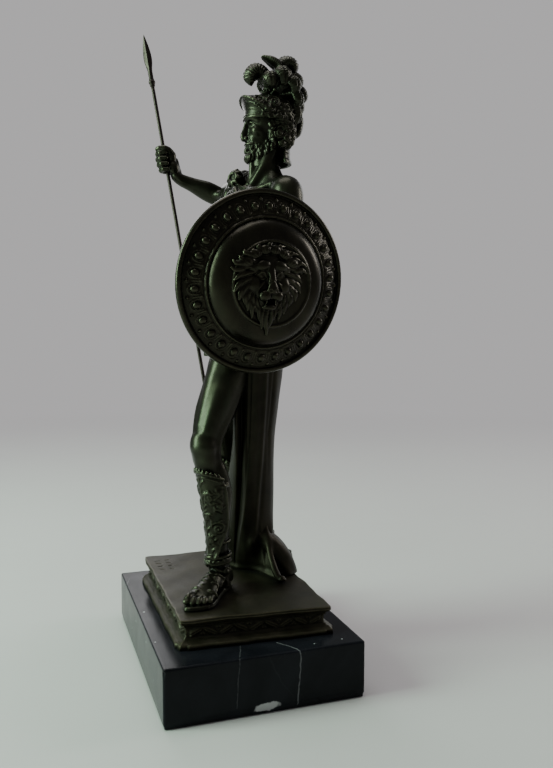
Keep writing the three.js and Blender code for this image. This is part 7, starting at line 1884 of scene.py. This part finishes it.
MARBLE_VEINS = [([(0.0715, 0.0095, 0.034), (0.0785, 0.0150, 0.034), (0.0860, 0.0190, 0.0338), (0.0860, 0.0194, 0.0300), (0.0860, 0.0186, 0.0160), (0.0860, 0.0177, 0.0010)], 0.00055, 0.5),
                ([(0.0690, -0.0115, 0.034), (0.0860, -0.0170, 0.0338), (0.0860, -0.0180, 0.0200), (0.0860, -0.0188, 0.0060)], 0.00045, 0.17),
                ([(-0.0860, 0.0300, 0.0338), (-0.0860, 0.0220, 0.0150), (-0.0860, 0.0250, 0.0010)], 0.0006, 0.5), ([(0.0100, 0.0600, 0.0338), (0.0040, 0.0600, 0.0180), (0.0120, 0.0600, 0.0010)], 0.0006, 0.5),
                ([(-0.0700, -0.0560, 0.034), (-0.0560, -0.0600, 0.0338), (-0.0520, -0.0600, 0.0120)], 0.0005, 0.3)]
MARBLE_OVAL = ((-0.0008, 0.0040), (0.0078, 0.0028))
MARBLE_FLECKS = [(-0.0012, -0.0562, 0.034, 0.0013), (-0.0111, -0.0600, 0.0248, 0.0012), (0.0297, -0.0600, 0.0270, 0.0011), (0.0860, -0.0600, 0.0318, 0.0016), (0.0480, -0.0575, 0.034, 0.0008), (0.0800, 0.0300, 0.034, 0.0007), (0.0790, 0.0480, 0.034, 0.0008), (-0.0300, -0.0600, 0.0130, 0.0009), (0.0560, -0.0600, 0.0150, 0.0008)]

STYLE = {
    "figure": bronze("bronze_figure", (0.0105, 0.0100, 0.0056), (0.0262, 0.0262, 0.0155), (0.150, 0.155, 0.096), wear=0.62),
    "cloth": bronze("bronze_cloth", (0.0100, 0.0082, 0.0052), (0.0230, 0.0196, 0.0125), (0.100, 0.090, 0.058), rough=(0.44, 0.58), coat=0.03, painted_shade_strength=0.5),
    "shield": bronze("bronze_shield", (0.0108, 0.0090, 0.0052), (0.0262, 0.0232, 0.0136), (0.145, 0.138, 0.086), rough=(0.27, 0.37), green=0.2, wear=0.8),
    "spear": bronze("bronze_spear", (0.022, 0.017, 0.0145), (0.046, 0.036, 0.031), (0.10, 0.08, 0.07), rough=(0.40, 0.48), green=0.0, grain=0.0, wear=0.0, coat=0.0, speck=0.01),
    "plinth": bronze("bronze_plinth", (0.0160, 0.0135, 0.0072), (0.0380, 0.0325, 0.0180), (0.120, 0.105, 0.062), rough=(0.42, 0.56), green=0.25, grain=1.6, metal=0.7, coat=0.05),
    "marble": marble_material("black_marble"),
}


def part(name, kind, style, node, slot, faces=None, h=None):
    X, Q = PIECES[kind](h)
    me = bpy.data.meshes.new(name)
    k = Q.shape[1]
    me.vertices.add(len(X))
    me.vertices.foreach_set("co", (X * 0.001).astype(np.float32).ravel())
    me.loops.add(k * len(Q))
    me.loops.foreach_set("vertex_index", Q.astype(np.int32).ravel())
    me.polygons.add(len(Q))
    me.polygons.foreach_set("loop_start", np.arange(0, k * len(Q), k, dtype=np.int32))
    me.polygons.foreach_set("loop_total", np.full(len(Q), k, np.int32))
    me.update(calc_edges=True)
    me.validate()
    o = bpy.data.objects.new(name, me)
    scene.collection.objects.link(o)
    n = len(Q) * (k - 2)
    if faces and n > faces:
        mod = o.modifiers.new("thin", "DECIMATE")
        mod.ratio = faces / n
        dg = bpy.context.evaluated_depsgraph_get()
        me2 = bpy.data.meshes.new_from_object(o.evaluated_get(dg))
        o.modifiers.clear()
        o.data = me2
        bpy.data.meshes.remove(me)
        me = me2
        me.name = name
    me.polygons.foreach_set("use_smooth", np.ones(len(me.polygons), bool))
    me.materials.clear()
    me.materials.append(STYLE[style])
    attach(o, "root")
    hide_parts(node)
    return o


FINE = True
part("figure_head", "head", "figure", "warrior", "bronze_figure", 195000, None if FINE else 0.6)
part("figure_upper", "upper", "figure", "warrior", "bronze_figure", 195000, 0.66 if FINE else 1.0)
part("figure_legs", "legs", "figure", "warrior", "bronze_figure", 175000, 0.62 if FINE else 1.0)
part("figure_cloak", "cloak", "cloth", "warrior", "bronze_figure", 90000, 0.8 if FINE else 1.2)
part("shield_dish", "shield", "shield", "shield", "bronze_shield", 135000, 0.5 if FINE else 0.8)
part("shield_lion", "lion", "shield", "shield", "bronze_shield", 98000, 0.34 if FINE else 0.5)
part("bronze_step", "plinth", "plinth", "bronze_plinth", "bronze_plinth", 70000)
part("marble_block", "marble", "marble", "marble_base", "black_marble")
part("spear_shaft", "spear", "spear", "spear", "bronze_spear")

# plain pale floor
WALL = 0.60


def floor():
    me = bpy.data.meshes.new("floor")
    n, s = 60, 7.5
    ax = np.linspace(-s, s, n + 1)
    X, Y = np.meshgrid(ax, ax, indexing="ij")
    V = np.stack([X, Y, -0.0002 + 0 * X], -1).reshape(-1, 3)
    i = np.arange((n + 1) ** 2).reshape(n + 1, n + 1)
    q = np.stack([i[:-1, :-1], i[1:, :-1], i[1:, 1:], i[:-1, 1:]], -1).reshape(-1, 4)
    me.from_pydata(V.tolist(), [], q.tolist())
    o = bpy.data.objects.new("floor", me)
    scene.collection.objects.link(o)
    g = Graph("floor_paper")
    c = g.mix(g.noise(6, 4), (0.52, 0.507, 0.512), (0.555, 0.542, 0.547))
    m = g.done(Base_Color=c, Roughness=0.70, Specular_IOR_Level=0.25)
    # far from the object the paper runs out into the wall without an edge
    far = g.t.nodes.new("ShaderNodeVectorMath")
    far.operation = "LENGTH"
    g.link(g.pos, far.inputs[0])
    fade = g.ramp(g.math("MULTIPLY", far.outputs["Value"], 0.5), (0.16, 0.0), (0.80, 1.0), ease="EASE")
    glow = g.t.nodes.new("ShaderNodeEmission")
    glow.inputs[0].default_value = (0.80, 0.785, 0.79, 1)
    glow.inputs[1].default_value = WALL
    both = g.t.nodes.new("ShaderNodeMixShader")
    g.link(g.math("MULTIPLY", fade, g.t.nodes.new("ShaderNodeLightPath").outputs["Is Camera Ray"]), both.inputs[0])
    g.link(g.b.outputs[0], both.inputs[1])
    g.link(glow.outputs[0], both.inputs[2])
    g.link(both.outputs[0], g.out.inputs[0])
    me.materials.append(m)
    return o


floor()

# ---------------------------------------------------------------- light and camera
world = bpy.data.worlds.new("studio")
scene.world = world
world.use_nodes = True
bg = world.node_tree.nodes["Background"]
bg.inputs[0].default_value = (0.80, 0.80, 0.80, 1)
bg.inputs[1].default_value = 0.22
# the studio wall seen behind the object is as pale as the floor
wt = world.node_tree
wall = wt.nodes.new("ShaderNodeBackground")
wall.inputs[0].default_value = (0.80, 0.785, 0.79, 1)
wall.inputs[1].default_value = WALL
pick = wt.nodes.new("ShaderNodeMixShader")
wt.links.new(wt.nodes.new("ShaderNodeLightPath").outputs["Is Camera Ray"], pick.inputs[0])
wt.links.new(bg.outputs[0], pick.inputs[1])
wt.links.new(wall.outputs[0], pick.inputs[2])
wt.links.new(pick.outputs[0], next(n for n in wt.nodes if n.type == "OUTPUT_WORLD").inputs[0])

AZ, PITCH, ROLL = 1.2369, 0.06904, 0.00272
FWD = Vector((-math.sin(AZ) * math.cos(PITCH), math.cos(AZ) * math.cos(PITCH), -math.sin(PITCH)))
RIGHT = Vector((math.cos(AZ), math.sin(AZ), 0))
UP = RIGHT.cross(FWD)
right = RIGHT * math.cos(ROLL) + UP * math.sin(ROLL)
up = UP * math.cos(ROLL) - RIGHT * math.sin(ROLL)
cam = bpy.data.objects.new("camera", bpy.data.cameras.new("camera"))
scene.collection.objects.link(cam)
cam.matrix_world = Matrix(((right.x, up.x, -FWD.x, 0.47180), (right.y, up.y, -FWD.y, -0.12974), (right.z, up.z, -FWD.z, 0.21509), (0, 0, 0, 1)))
cam.data.sensor_fit = "AUTO"
cam.data.sensor_width = 36
cam.data.lens = 743.43745 / 768 * 36
cam.data.clip_start = 0.01
cam.data.clip_end = 20
scene.camera = cam


def area(name, at, to, size, power, color=(1, 1, 1)):
    l = bpy.data.lights.new(name, "AREA")
    l.shape = "RECTANGLE"
    l.size, l.size_y = size
    l.energy = power
    l.color = color
    o = bpy.data.objects.new(name, l)
    scene.collection.objects.link(o)
    o.location = at
    o.rotation_euler = (Vector(to) - Vector(at)).to_track_quat("-Z", "Y").to_euler()
    return o


mid = Vector((0, 0, 0.24))
area("window", mid - RIGHT * 1.12 + UP * 0.34 - FWD * 0.36, mid, (0.46, 1.0), 31, (0.68, 1.0, 0.76))
area("top", mid + Vector((0, 0, 1.3)) + FWD * 0.1 - RIGHT * 0.2, mid, (0.9, 0.9), 9, (1.0, 0.97, 0.96))
area("lamp", mid + RIGHT * 1.20 + UP * 0.46 + FWD * 0.34, mid, (0.26, 0.45), 4.4, (1.0, 0.95, 0.92))
area("rim", mid - RIGHT * 0.5 + FWD * 1.1 + UP * 0.7, mid, (0.7, 0.9), 5, (1, 1, 1))
area("back", mid + RIGHT * 0.8 + FWD * 1.1 + UP * 0.4, mid, (0.8, 0.9), 3, (1, 1, 1))
